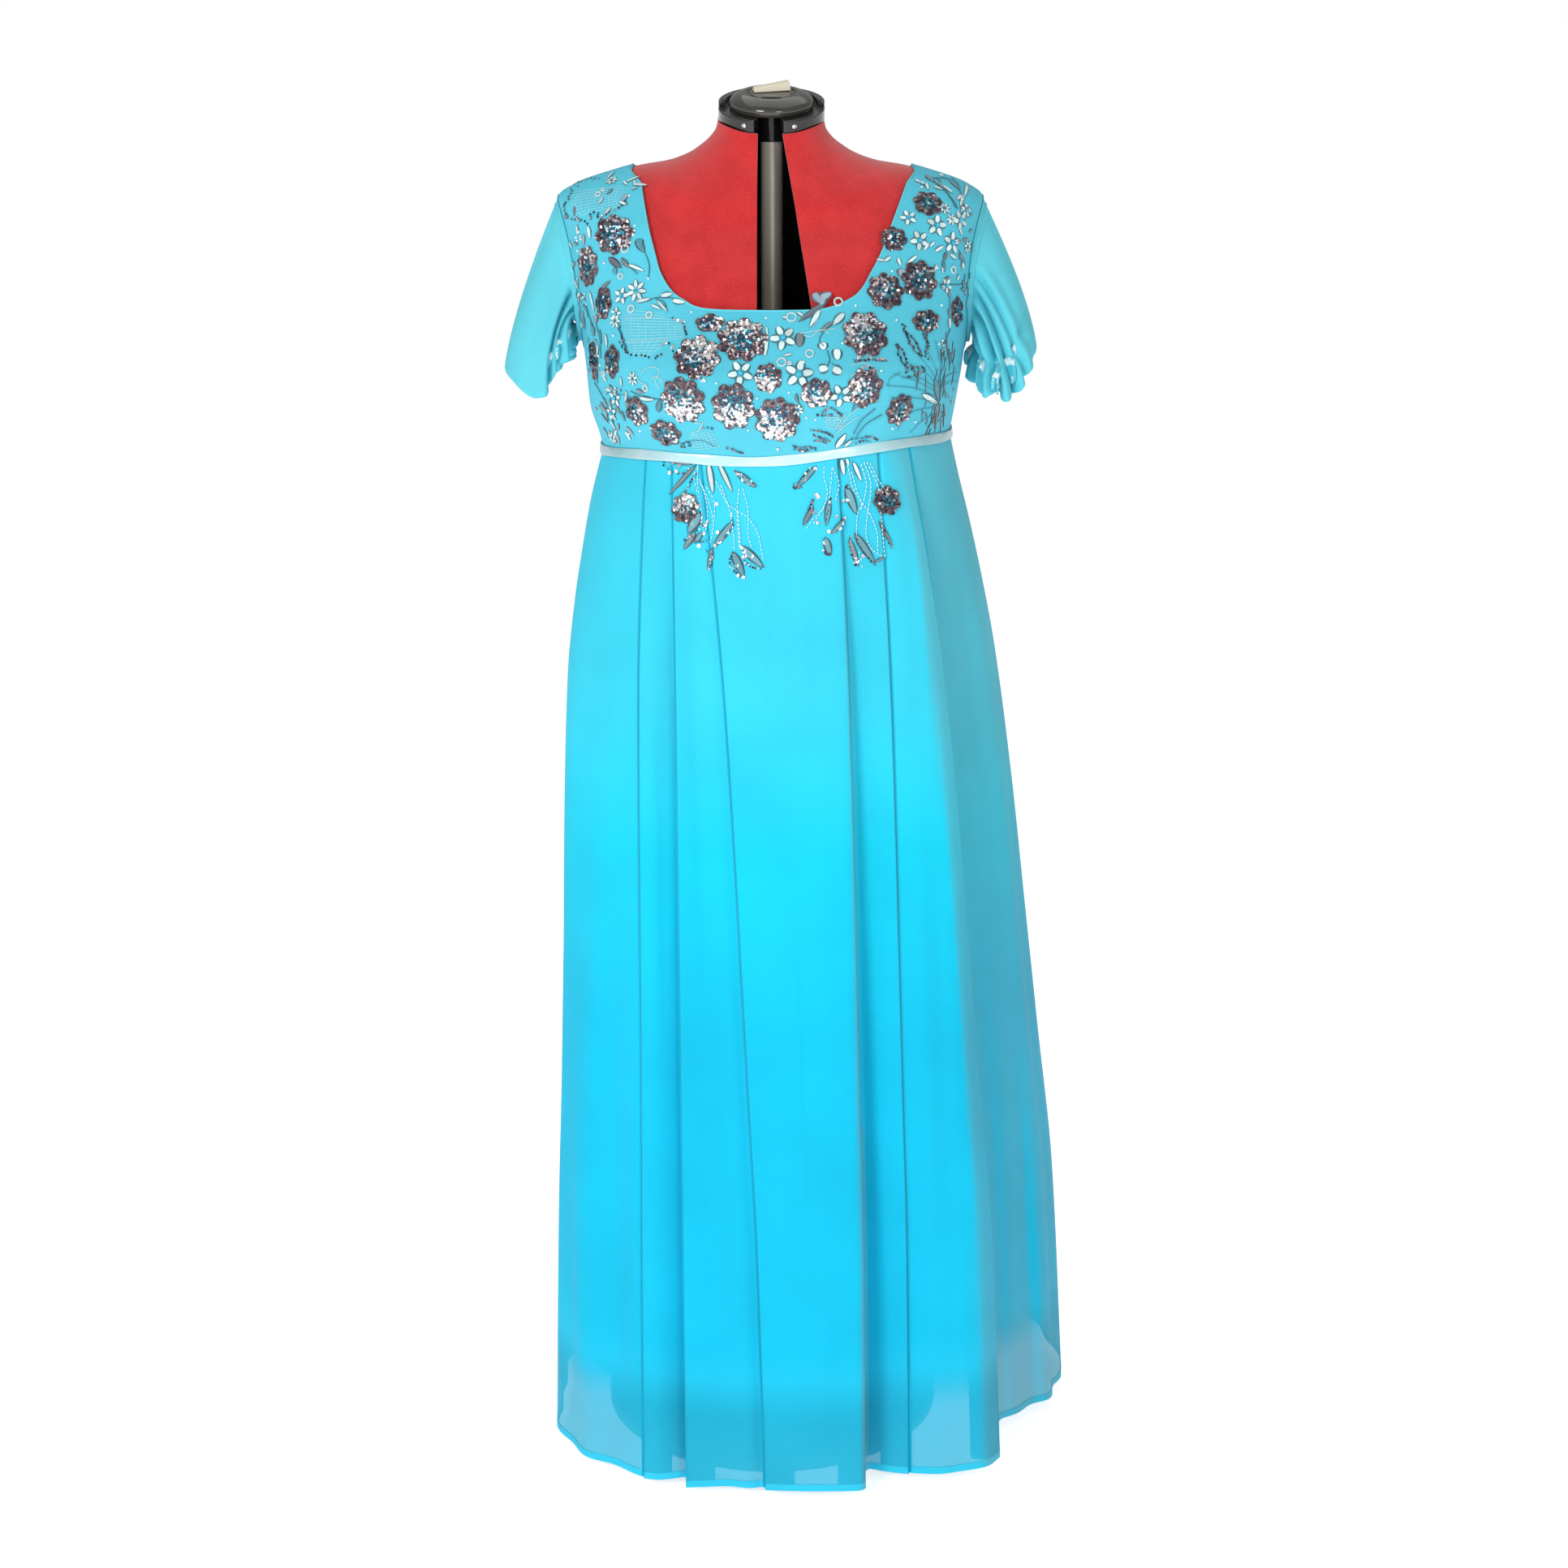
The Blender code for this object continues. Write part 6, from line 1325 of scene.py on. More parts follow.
lace_net = tinted("lace_net", 0.72, 0.0, 1900.0, Sheen_Weight=0.2)
NET_MAUVE, NET_HEART, CORD_DARK = (0.150, 0.105, 0.125), (0.030, 0.170, 0.250), (0.075, 0.055, 0.065)


def scallops(rho, theta, petals, turn):
    """Share of the half size reached at a share of the way out: full at each petal's tip, drawn in between
    petals by a power of a cosine. Also gives that power, for the petals' relief."""
    wave = np.abs(np.cos(petals * (theta - np.radians(turn)) / 2)) ** 0.75
    return 1.04 * rho * (1 - PETAL_DIP * (1 - wave) * np.clip(1.6 * rho - 0.3, 0, 1)), wave


def net_relief(rho, wave):
    """A low dome with a rounded ridge along each petal."""
    return NET_RISE + NET_DOME * (1 - rho ** 2) + 0.0004 * (wave - 0.5) * np.clip(rho * 2 - 0.5, 0, 1)


def flower_patches(rows, on_skirt=False):
    """The net, its outline cord and the cords between petals, for the flowers of one table."""
    place, (wide, high, petals, turn) = np.array(rows)[:, :2], np.array(rows)[:, 2:6].T[..., None]
    theta = np.tile(full_turn(72), 8)
    rho = np.repeat((0, 0.25, 0.5, 0.72, 0.9, 1.0, 1.0, 0), 72)
    r, wave = scallops(rho, theta, petals, turn)
    height = np.where(np.repeat(np.arange(8), 72) < 6, net_relief(rho, wave), NET_LOW)
    net = laid(together(r * np.cos(theta), r * np.sin(theta), height), place, wide[:, 0], high[:, 0], 0,
               on_skirt=on_skirt)
    heart = np.exp(-(rho / 0.42) ** 2)[None, :, None]
    tint = np.array(NET_MAUVE) * (1 - heart) * (0.6 + 0.5 * wave[..., None]) + np.array(NET_HEART) * heart
    parts = [(net.reshape(-1, 3), copies(grid_quads(8, 72, True), 8 * 72, len(rows)), tint.reshape(-1, 3))]
    theta = np.linspace(0, TAU, 73)
    r, wave = scallops(1.0, theta, petals, turn)
    rim = together(r * np.cos(theta), r * np.sin(theta), net_relief(1.0, wave))
    vein_rho, vein = np.linspace(0.42, 0.97, 5), np.arange(9)[:, None]
    count = petals[..., None]
    theta = np.radians(turn)[..., None] + (2 * np.minimum(vein, count - 1) + 1) * PI / count
    spokes = together(vein_rho * np.cos(theta), vein_rho * np.sin(theta), net_relief(vein_rho, 0.0))
    for form, radius in ((rim, 0.00045), (spokes.reshape(len(rows), -1, 3), 0.00032)):
        line = laid(form, place, wide[:, 0], high[:, 0], 0, on_skirt=on_skirt)
        line = line.reshape(-1, 73 if form is rim else 5, 3)
        skin = (skirt_cloth(line)[1] if on_skirt
                else torso_skin(*on_round(np.arctan2(line[..., 0], -line[..., 1]), line[..., 2])))
        parts.append((*threads(line, skin, radius), CORD_DARK))
    return parts


def add_lace(name, parts, finish, replaces=(), sharp=None):
    """A piece of the lace from its parts, each a set of points, faces and tint."""
    points, faces, tint = joined(*parts)
    return add_piece(name, points, faces, (finish,), "lace", tint=tint, replaces=replaces, sharp=sharp)


add_lace("lace_flowers", flower_patches(FLOWERS), lace_net, [f"flower_{n:02d}" for n in range(1, len(FLOWERS) + 1)])


# ---- Bound edges and seams ------------------------------------------------------------------------
# The neckline is bound with a narrow roll of the chiffon, and the sleeves are set in with a pressed seam.
seam_shade = chiffon_finish("seam_shade", (0.0, (0.015, 0.240, 0.330)))
rolls, seams = [], []
for side in (-1, 1):
    for facing in (-1, 1):
        edge = smooth_curve(neckline(side, facing), 90)
        over = np.stack(on_side(side, SEAM, np.array(SHOULDER_SEAM_Z), facing), -1)
        line = np.stack(on_face(*edge.T, facing), -1)
        rolls.append(np.vstack([line, line[-1:] * 0.5 + over * 0.5, over[None]]))
        seams.append(np.stack(armhole(side, facing, np.linspace(0.02, 0.99, 60)), -1))
for name, lines, radius, finish, lift in (("neckline_binding", rolls, 0.0011, sleeve_chiffon, -0.0003),
                                          ("armhole_seams", seams, 0.0008, seam_shade, 0.0001)):
    at = np.moveaxis(np.array(lines), -1, 0)
    points, faces = threads(torso(*at) + torso_skin(*at) * lift, torso_skin(*at), radius, 8)
    add_piece(name, points, faces, (finish,), "chiffon")


# ---- Sequins --------------------------------------------------------------------------------------
# Cupped foil sequins sewn edge over edge on the flowers, in mauve, blue-green and silver, the flowers' silver
# gathered where they glint as a painted highlight, and single ones in trails between them and on the sprays.
SEQUIN_PITCH, SEQUIN_RADIUS, SEQUIN_LIFT = 2.60, 0.00172, 0.00035
MAUVES = ((0.105, 0.070, 0.090), (0.190, 0.135, 0.150), (0.060, 0.045, 0.070), (0.300, 0.230, 0.235))
TEALS = ((0.020, 0.130, 0.210), (0.030, 0.220, 0.310), (0.075, 0.330, 0.400), (0.030, 0.060, 0.120))
# Silver tints: for silver sequins, and on the flowers for painted glints.
SILVER_AND_GLINT_TINTS = ((0.90, 0.88, 0.87), (0.80, 0.72, 0.75), (0.70, 0.78, 0.82), (0.95, 0.93, 0.90))
# Single sequins on the bodice: how many, 0 dark or 1 silver, and the places of the line that they follow.
TRAILS = ((13, 0, -86.5, 394, -86.1, 398, -84.2, 401, -82, 401),
    (13, 0, -79.5, 378, -79.8, 371, -78, 364, -74.9, 362, -71.4, 362, -70.2, 359),
    (16, 0, -69.3, 364, -69.6, 370, -68.5, 370, -67, 364, -66.4, 369, -65.5, 372, -64.8, 376, -65.1, 381),
    (7, 0, -78.8, 378, -80.1, 386, -83.6, 391, -82.7, 393),
    (22, 0, -53.7, 261, -52.4, 252, -51, 245, -49.7, 238, -46.9, 233, -42.8, 234, -39.3, 232, -36.6, 236),
    (5, 0, -52.3, 244, -51.1, 240, -49.5, 236), (5, 0, -31, 266, -30.2, 262, -29.4, 256),
    (5, 1, -35.7, 271, -32.6, 268, -31.1, 267), (7, 1, -37.1, 245, -35.3, 247, -33.1, 244, -33.2, 240),
    (5, 1, -24.2, 216, -22.7, 216, -21.4, 213), (8, 0, -32.2, 143, -28.9, 149, -28.8, 145, -30.8, 143),
    (9, 0, -16.2, 143, -13.9, 142, -12, 139, -10, 138), (4, 0, -23.3, 163, -21.6, 165, -20.1, 164),
    (5, 1, -58.2, 196, -54.5, 197, -51.3, 196), (6, 1, -64.5, 218, -62.6, 211, -58.5, 208),
    (6, 1, -60, 173, -57.7, 167, -61.6, 161), (6, 1, -67.2, 144, -62.5, 143, -61.4, 138),
    (5, 1, -70.4, 288, -76.2, 279, -70, 278), (16, 1, 27.9, 233, 31.2, 236, 34.2, 232, 37.7, 232),
    (10, 1, 28.1, 221, 30.9, 226, 34.4, 221), (14, 0, 27.5, 231, 31.9, 232, 37.8, 230),
    (14, 0, 46.6, 256, 47.1, 246, 48.9, 236, 50.7, 232), (14, 0, 46.6, 256, 48.5, 249, 50.1, 240, 50.7, 232),
    (11, 0, 42.5, 244, 42.8, 234, 43.4, 226, 44.5, 222), (10, 0, 42.5, 244, 44, 238, 44.6, 230, 44.5, 222),
    (4, 0, 46.1, 264, 46.2, 260, 46.3, 257), (9, 0, 52.9, 257, 53.2, 249, 53.5, 239),
    (7, 0, 53.7, 256, 54.1, 249, 54, 241), (9, 0, 44.2, 217, 46.9, 220, 50.7, 221, 51.8, 217),
    (7, 0, 45.2, 212, 48.2, 215, 51.4, 216), (6, 0, 46.1, 224, 47.2, 217, 49, 209),
    (7, 1, 60.2, 244, 60.6, 235, 60.1, 227), (5, 0, 64.6, 229, 65.9, 223, 65, 219),
    (6, 0, 65.9, 186, 69.8, 179, 73.1, 172), (5, 0, 71.2, 190, 73.1, 183, 72.1, 176),
    (6, 0, 53.3, 175, 53.5, 169, 54.5, 163), (5, 0, 55.2, 172, 56.3, 165, 56.1, 160),
    (11, 0, 13.8, 163, 16, 162, 19.4, 159, 21.3, 155), (9, 0, 14.3, 158, 16.9, 155, 19.9, 151),
    (6, 0, 15.4, 152, 17.7, 151, 19.5, 149), (13, 0, 8.2, 146, 10.6, 143, 13.2, 145, 16.1, 142),
    (9, 0, 8.9, 142, 11.3, 141, 14.2, 141), (13, 0, 28.8, 152, 31.6, 152, 34.4, 153, 37.4, 149),
    (6, 0, 30.1, 147, 32.5, 149, 34.4, 148), (11, 0, 17, 181, 18.9, 186, 21.1, 183, 23.4, 177),
    (10, 0, 58.2, 176, 58.2, 167, 60.8, 158, 62.8, 152), (8, 0, 62, 177, 64.7, 168, 63.9, 158),
    (5, 0, 53.3, 238, 52.2, 232, 52.9, 228), (6, 0, 15.5, 179, 17.7, 178, 19.7, 179))
SPRAY_TRAILS = ((-36, 118, -25, 112, -15, 104), (-40, 36, -41, 28, -39, 20, -32, 14), (-27, 28, -18, 22, -8, 22),
    (28, 107, 35, 116, 40, 122), (24, 106, 24, 102, 30, 103), (43, 90, 41, 84, 39, 80), (60, 90, 59, 82, 57, 68),
    (77, 103, 78, 101, 78, 101), (53, 39, 57, 35, 60, 36), (81, 50, 82, 38, 86, 22),
    (87, 53, 90, 43, 99, 30, 106, 22), (112, 63, 119, 50, 123, 40), (-88, 92, -82, 106, -76, 114),
    (-97, 126, -111, 124, -105, 118, -93, 114, -84, 118), (-88, 48, -82, 52, -79, 48, -74, 46, -67, 47),
    (-65, 37, -60, 33, -63, 19), (-41, 76, -40, 74, -39, 66, -45, 54), (-73, 76, -70, 61, -78, 56))
# Large silver ones on the sprays.
SILVER_DISCS = np.reshape((-34, 116, -28, 110, -23, 106, -18, 106, -64, 67, -67, 63, -68, 55, -79, 64, -73, 42,
    -44, 58, -49, 51, -57, 43, -52, 47, -54, 57, -30, 42, -27, 38, -24, 34, -28, 32, -19, 34, -35, 24, -34, 14,
    -28, 12, -55, 85, 45, 121, 36, 112, 34, 110, 46, 95, 48, 93, 43, 78, 48, 67, 73, 88, 78, 89, 67, 73, 75, 70,
    73, 66, 70, 61, 64, 58, 59, 58, 55, 47, 94, 31, 88, 26, 86, 30, -93, 122, -100, 124, -103, 114, -96, 116),
    (-1, 2))


def in_pairs(line):
    """A row of numbers as places, two numbers each."""
    return np.reshape(line, (-1, 2))


sequin_foil = tinted("sequin_foil", 0.20, 0.72, 900.0, Coat_Weight=0.3)


def discs(centres, skins, sizes, lean, profile=((0, -0.12), (1, 0), (0, -0.34)), sides=8):
    """Small turned forms: a profile of radius and height, in shares of the size, about each centre's own
    axis, which leans from the cloth's way out."""
    level, up = frame_of(skins)
    axis = unit(skins + level * lean[:, :1] + up * lean[:, 1:])
    level, up = frame_of(axis)
    r, h = np.array(profile).T
    turn = full_turn(sides)
    level, up, axis, centres = (way[:, None, None] for way in (level, up, axis, centres))
    ring = (np.cos(turn)[:, None] * level + np.sin(turn)[:, None] * up) * r[:, None, None]
    points = centres + np.reshape(sizes, (-1, 1, 1, 1)) * (ring + axis * h[:, None, None])
    return points.reshape(-1, 3), copies(grid_quads(len(r), sides, True), len(r) * sides, len(centres))


def foil_tints(silver_and_glint, teal):
    """A colour for each sequin, drawn from the three sets with the given chances, a little lighter or darker."""
    draw, pick = chance.random(len(silver_and_glint)), chance.integers(0, 4, len(silver_and_glint))
    kind = np.where(draw < silver_and_glint, 2, np.where(draw < silver_and_glint + teal, 1, 0))
    return np.array((MAUVES, TEALS, SILVER_AND_GLINT_TINTS))[kind, pick] * chance.uniform(0.82, 1.12, (len(silver_and_glint), 1))


def flower_sequins(rows, on_skirt=False):
    """Sequins on a jittered hexagonal net inside each flower's outline, leaning outwards and at random; the
    silver ones gather on one side as painted glints, where the flower catches the light, and the blue-green
    ones at the heart."""
    rows = np.array(rows, float)
    i, j = (n.ravel() for n in np.meshgrid(np.arange(-14, 15), np.arange(-16, 17)))
    u, v = (i + 0.5 * (j % 2)) * SEQUIN_PITCH, j * SEQUIN_PITCH * 0.866
    u, v = (n + chance.uniform(-0.35, 0.35, (len(rows), len(n))) for n in (u, v))
    wide, high, petals, turn, way, share = rows[:, 2:].T[..., None]
    theta = np.arctan2(v / high, u / wide)
    reach, wave = scallops(1.0, theta, petals, turn)
    rho = np.hypot(u / wide, v / high) / reach
    flower, spot = np.nonzero(rho < 0.97)
    picked = [np.broadcast_to(n, rho.shape)[flower, spot] for n in (u, v, rho, theta, wave, way, share)]
    u, v, rho, theta, wave, way, share = picked
    form = together(u, v, net_relief(rho, wave) + SEQUIN_LIFT)[:, None]
    centres = laid(form, rows[flower, :2], 1, 1, 0, on_skirt=on_skirt)[:, 0]
    skins = cloth_at(rows[flower, :2], on_skirt)[1]
    # Painted highlight: the chance of the silver glint tint grows towards the side of each flower that its table
    # gives.
    side = rho * np.cos(theta - np.radians(way))
    silver_and_glint = np.clip(share * (0.70 + 1.35 * side), 0.03, 0.80)
    teal = (1 - silver_and_glint) * 0.92 * np.exp(-(rho / 0.58) ** 4)
    lean = 0.16 * rho[:, None] * together(np.cos(theta), np.sin(theta)) + chance.normal(0, 0.20, (len(rho), 2))
    return (*discs(centres, skins, SEQUIN_RADIUS * chance.uniform(0.9, 1.1, len(rho)), lean),
            np.repeat(foil_tints(silver_and_glint, teal), 24, axis=0))


def single_sequins(places, size, silver_and_glint, on_skirt=False):
    """Sequins one by one at places on the cloth, lying nearly flat."""
    centres, skins, _ = cloth_at(places, on_skirt)
    lean = chance.normal(0, 0.14, (len(centres), 2))
    return (*discs(centres + skins * 0.0011, skins, size * chance.uniform(0.85, 1.1, len(centres)), lean),
            np.repeat(foil_tints(np.broadcast_to(silver_and_glint, len(centres)), np.full(len(centres), 0.35)), 24, axis=0))


trail = np.vstack([smooth_curve(in_pairs(line), count) for count, _, *line in TRAILS])
trail_silver = np.repeat([0.75 * row[1] for row in TRAILS], [row[0] for row in TRAILS])
spray_trail = np.vstack([smooth_curve(in_pairs(line), 9) for line in SPRAY_TRAILS])
add_lace("sequins", [flower_sequins(FLOWERS), flower_sequins(SKIRT_FLOWERS, True),
                     single_sequins(trail + chance.normal(0, 0.25, trail.shape), 0.00140, trail_silver),
                     single_sequins(spray_trail + chance.normal(0, 0.5, spray_trail.shape), 0.00130, 0.05, True),
                     single_sequins(SILVER_DISCS, 0.00205, 1.0, True)], sequin_foil, sharp=50)


# ---- Leaves and petals ----------------------------------------------------------------------------
# Leaves, buds and small flowers embroidered in satin stitch, silver, teal or grey, with a dark outline and a
# sunk vein, on the bodice and hanging in two sprays from the waist seam.
# Place, half length, half width, turn and tone.
LEAVES = ((-72, 402, 7.7, 1.2, 38, 0), (-67.6, 397, 8, 1.4, -1, 0), (-71.9, 398, 4.5, 1, -42, 0),
    (-81, 405, 8.6, 1.2, 106, 0), (-52.2, 318, 9.8, 1.4, -18, 0), (-46.9, 287, 8.2, 1.5, 14, 0),
    (-42.1, 281, 6.3, 1.2, -21, 0), (-40, 282, 8.6, 1.2, -41, 0), (-39.7, 293, 6.4, 2.1, 12, 0),
    (-35, 287, 6.9, 2.1, -7, 0), (-41.4, 191, 9.8, 1.9, 0, 0), (-37, 185, 7.8, 2.3, 66, 1),
    (-5.9, 239, 7.6, 1.5, 58, 0), (-1.7, 244, 8.5, 1.4, 84, 0), (1.4, 254, 4.7, 1.7, 4, 0),
    (-51.3, 205, 5.2, 1.2, -86, 0), (-49.7, 191, 6.3, 1.4, 67, 0), (-60.8, 148, 14.7, 1.7, -117, 1),
    (-59.2, 322, 9.5, 2.3, -29, 3), (-55.9, 322, 7.4, 1.7, -40, 2), (-61.2, 299, 8.1, 1.4, 37, 2),
    (-53.2, 339, 8.1, 2.5, -51, 1), (-58.6, 314, 3.9, 1.7, -68, 1), (-66.6, 282, 10.5, 0.9, -65, 0),
    (-62, 247, 7.1, 1.4, -73, 1), (-58.8, 244, 7.1, 1.4, -73, 0), (-66.9, 253, 7.6, 2.1, -55, 1),
    (-63.7, 172, 11.7, 1.7, -6, 2), (-58.3, 180, 5.8, 1.5, -102, 1), (-54.7, 176, 6.1, 1.7, -59, 2),
    (-52.5, 169, 5.7, 1.5, -73, 1), (-64.2, 162, 7.8, 1.5, -31, 1), (-67.3, 146, 5.6, 1.4, -70, 1),
    (-60.4, 146, 10.8, 1.2, -135, 0), (-43.6, 198, 5.6, 1.4, -12, 2), (-54.7, 194, 5.3, 1.5, -135, 2),
    (-56.8, 197, 4.8, 1.4, -25, 1), (-72.8, 284, 9, 1.7, -14, 2), (-79.3, 283, 5.5, 1.4, -62, 0),
    (-72.6, 283, 6.8, 1, -163, 0), (-77, 270, 4.3, 1.2, -76, 0), (72.8, 400, 3.2, 1.4, -44, 0),
    (73.2, 398, 4.1, 1.4, -44, 0), (77.4, 402, 6.9, 2.5, -79, 1), (74.4, 393, 5.3, 1.4, -35, 0),
    (76.2, 392, 7.6, 1.5, -62, 0), (76.4, 396, 6.4, 1.5, -52, 2), (80, 395, 8.6, 1.7, -86, 1),
    (81, 390, 14.2, 1.5, -141, 0), (75.7, 381, 8.7, 1.4, -128, 0), (58.1, 366, 3, 1.2, -41, 0),
    (45.5, 326, 4.3, 1.2, -15, 0), (47.9, 327, 4.5, 1.5, 31, 0), (51, 324, 4.6, 1.5, -75, 0),
    (55.3, 326, 7.3, 1.4, 33, 0), (64.2, 335, 6.3, 1.5, 24, 0), (64.7, 318, 6.1, 1.7, -89, 1),
    (65.5, 301, 3.8, 1.7, -105, 0), (63.4, 297, 4.2, 1.5, -15, 1), (65.7, 290, 4, 1.5, -116, 2),
    (74.7, 291, 10.8, 1.2, -8, 1), (64.7, 260, 5.6, 1.9, -87, 0), (64.9, 270, 4.6, 1.4, -82, 2),
    (16.7, 272, 10.9, 2.1, -121, 0), (25.1, 271, 9.1, 2.7, -136, 0), (20.3, 264, 8.9, 1.5, -143, 2),
    (16.2, 278, 17.6, 2.1, -144, 2), (11.5, 276, 3.9, 1.2, -35, 0), (5.5, 273, 2.5, 1.4, -12, 0),
    (58.5, 196, 12.8, 2.9, 120, 1), (55.9, 186, 16.5, 2.3, -23, 0), (61.6, 165, 15.1, 1.9, 106, 3),
    (66.6, 169, 9.9, 1.2, 128, 3), (24.5, 150, 9.4, 2.5, 64, 0), (27.2, 147, 5.2, 1.4, 50, 0),
    (6, 238, 4.2, 1, 14, 0), (-1.3, 260, 5.3, 1, -81, 0), (-1.4, 247, 8.5, 1.4, -93, 0), (27.6, 188, 7.5, 1, -110, 1),
    (8.5, 196, 4.3, 1.2, -79, 2), (75.2, 373, 8.9, 1.7, -11, 2), (75.4, 366, 8.9, 1.2, 2, 1))
BUDS = ((72.9, 316, 4.3, 3.4, -87, 0), (79.2, 303, 5.7, 3.7, -67, 1), (78.9, 286, 4.4, 2.4, -72, 0),
    (10.4, 252, 7.7, 4.4, -92, 2), (18.1, 246, 4.3, 4.7, -87, 0), (22.4, 238, 6.5, 4.7, -92, 0),
    (17.4, 225, 5.1, 4.4, 9, 0), (21.7, 223, 5.4, 4.7, -29, 0), (18.9, 291, 6.8, 4.2, -55, 4),
    (22.3, 293, 6.6, 4, 25, 4), (20.6, 288, 6.4, 3.6, -105, 4), (-64.6, 264, 4.6, 3.7, -97, 2),
    (-66.7, 251, 5.5, 4.4, -96, 1), (-53.9, 342, 4.7, 4, -84, 1), (71.8, 325, 4.9, 2.4, -70, 2),
    (65.7, 327, 4.7, 2.4, -122, 2), (50.7, 313, 5, 5, -93, 4))
# Place, radius, turn, and 1 for a star or 0 for a round one.
STARS = ((-81.8, 279, 8.8, 0, 1), (59.6, 366, 7.8, 37, 1), (65.1, 358, 9.9, 2, 1), (72.5, 362, 8.8, 39, 1),
    (75, 371, 6.4, 4, 1), (59.1, 344, 9.2, 41, 1), (68.8, 340, 9.9, 6, 1), (4.5, 254, 11.6, 43, 1),
    (9.3, 220, 12.7, 8, 1), (22.6, 198, 10.6, 45, 1), (-54.7, 290, 7.8, 10, 1), (-9.8, 221, 11.3, 47, 1),
    (-55.2, 187, 8.1, 12, 1), (64.9, 298, 7.1, 49, 1), (-55.6, 272, 6, 14, 1), (-50.1, 296, 9.9, 51, 0),
    (-76.6, 400, 6, 16, 0), (-55.6, 265, 6.7, 53, 0), (-46.2, 210, 6.4, 18, 0), (69.6, 374, 6, 55, 0),
    (69.7, 363, 5.3, 20, 0), (75.2, 334, 6, 57, 0), (8.9, 184, 6, 22, 0), (-63.4, 142, 7.1, 59, 0),
    (-58.4, 170, 7.8, 24, 1))
# The sprays' leaves and net fingers, on the skirt.
SPRAY_LEAVES = ((-61, 111, 17.1, 3.8, -77, 0), (-46, 112, 17.9, 3.1, -62, 0), (73, 122, 9.4, 3.5, -85, 0),
    (88, 117, 11.8, 3.1, -71, 0), (78, 127, 4.2, 2.3, -81, 0), (-90, 108, 21.7, 2.6, -130, 2),
    (-94, 125, 15.7, 2, 175, 2), (-78, 65, 13, 6.1, -120, 5), (-83, 47, 10.8, 3.8, -121, 2),
    (-62, 29, 12.5, 2.6, -98, 2), (-25, 110, 13.5, 3.8, -38, 5), (-49, 54, 18.7, 4, -125, 5),
    (-19, 33, 16.8, 4.7, -43, 5), (-33, 25, 15.2, 4.7, -64, 5), (-74, 50, 7.4, 3.1, -124, 5),
    (36, 113, 15.9, 3.4, -136, 5), (38, 74, 11.9, 3.1, -121, 2), (58, 77, 14.3, 3.5, -101, 5),
    (82, 88, 15.9, 5.3, -73, 5), (69, 63, 11.5, 3.1, -139, 5), (58, 43, 10.5, 4.4, -78, 5),
    (85, 35, 15.8, 3.4, -76, 2), (96, 39, 19.7, 4.7, -59, 5), (118, 52, 15.8, 2.6, -65, 2), (112, 27, 7, 1.5, 21, 2))
#        fill                   outline
TONES = (((0.62, 0.80, 0.80), (0.030, 0.130, 0.165)), ((0.045, 0.270, 0.340), (0.020, 0.090, 0.120)),
         ((0.170, 0.230, 0.260), (0.040, 0.075, 0.095)), ((0.085, 0.110, 0.135), (0.025, 0.035, 0.045)),
         ((0.270, 0.380, 0.460), (0.070, 0.110, 0.140)), ((0.120, 0.330, 0.400), (0.040, 0.080, 0.105)))
ALONG, ACROSS = np.linspace(-1, 1, 9), np.array((-1, -0.66, -0.54, 0, 0.54, 0.66, 1))
lace_stitch = tinted("lace_stitch", 0.42, 0.0, 2600.0, Sheen_Weight=0.3)


def leaf_form(blunt):
    """A domed leaf pointed at both ends, fuller towards its foot, on a flat underside; blunt is the power
    that rounds its ends."""
    u, v = (n.ravel() for n in np.meshgrid(ALONG, ACROSS, indexing="ij"))
    half = (1 - u * u) ** blunt * (1 - 0.22 * u)
    top = 0.00055 + 0.00075 * (1 - v * v) * (1 - u ** 4) - 0.00030 * np.exp(-(v / 0.3) ** 2) * (1 - u * u)
    return np.vstack([together(u, v * half, top), together(u, v * half, 0.00012)])


def leaves(rows, blunt=0.8, aside=0.0, on_skirt=False, broad=1.0):
    """Leaves of one table, tinted from fill to outline at their edges."""
    rows = np.array(rows, float)
    form = leaf_form(blunt)
    points = laid(form[None], rows[:, :2], rows[:, 2] * (0.9 + 0.1 * broad), rows[:, 3] * broad, rows[:, 4], aside,
                  on_skirt)
    edge = np.tile(((np.abs(ACROSS) > 0.6)[None] | (np.abs(ALONG) == 1)[:, None]).ravel(), 2)
    fill = np.array(TONES)[rows[:, 5].astype(int)]
    tint = np.where(edge[None, :, None], fill[:, 1:2], fill[:, :1] * chance.uniform(0.8, 1.15, (len(rows), 1, 1)))
    return points.reshape(-1, 3), copies(wall_faces(9, 7), 126, len(rows)), tint.reshape(-1, 3)


petals, reach = [], []
for bearing, z, radius, turn, star in STARS:
    count = 5 if star else 7
    petals += [(bearing, z, 0.46 * radius, (0.40 if star else 0.30) * radius, turn + 360 * k / count, 0)
               for k in range(count)]
    reach += [0.72 * radius] * count
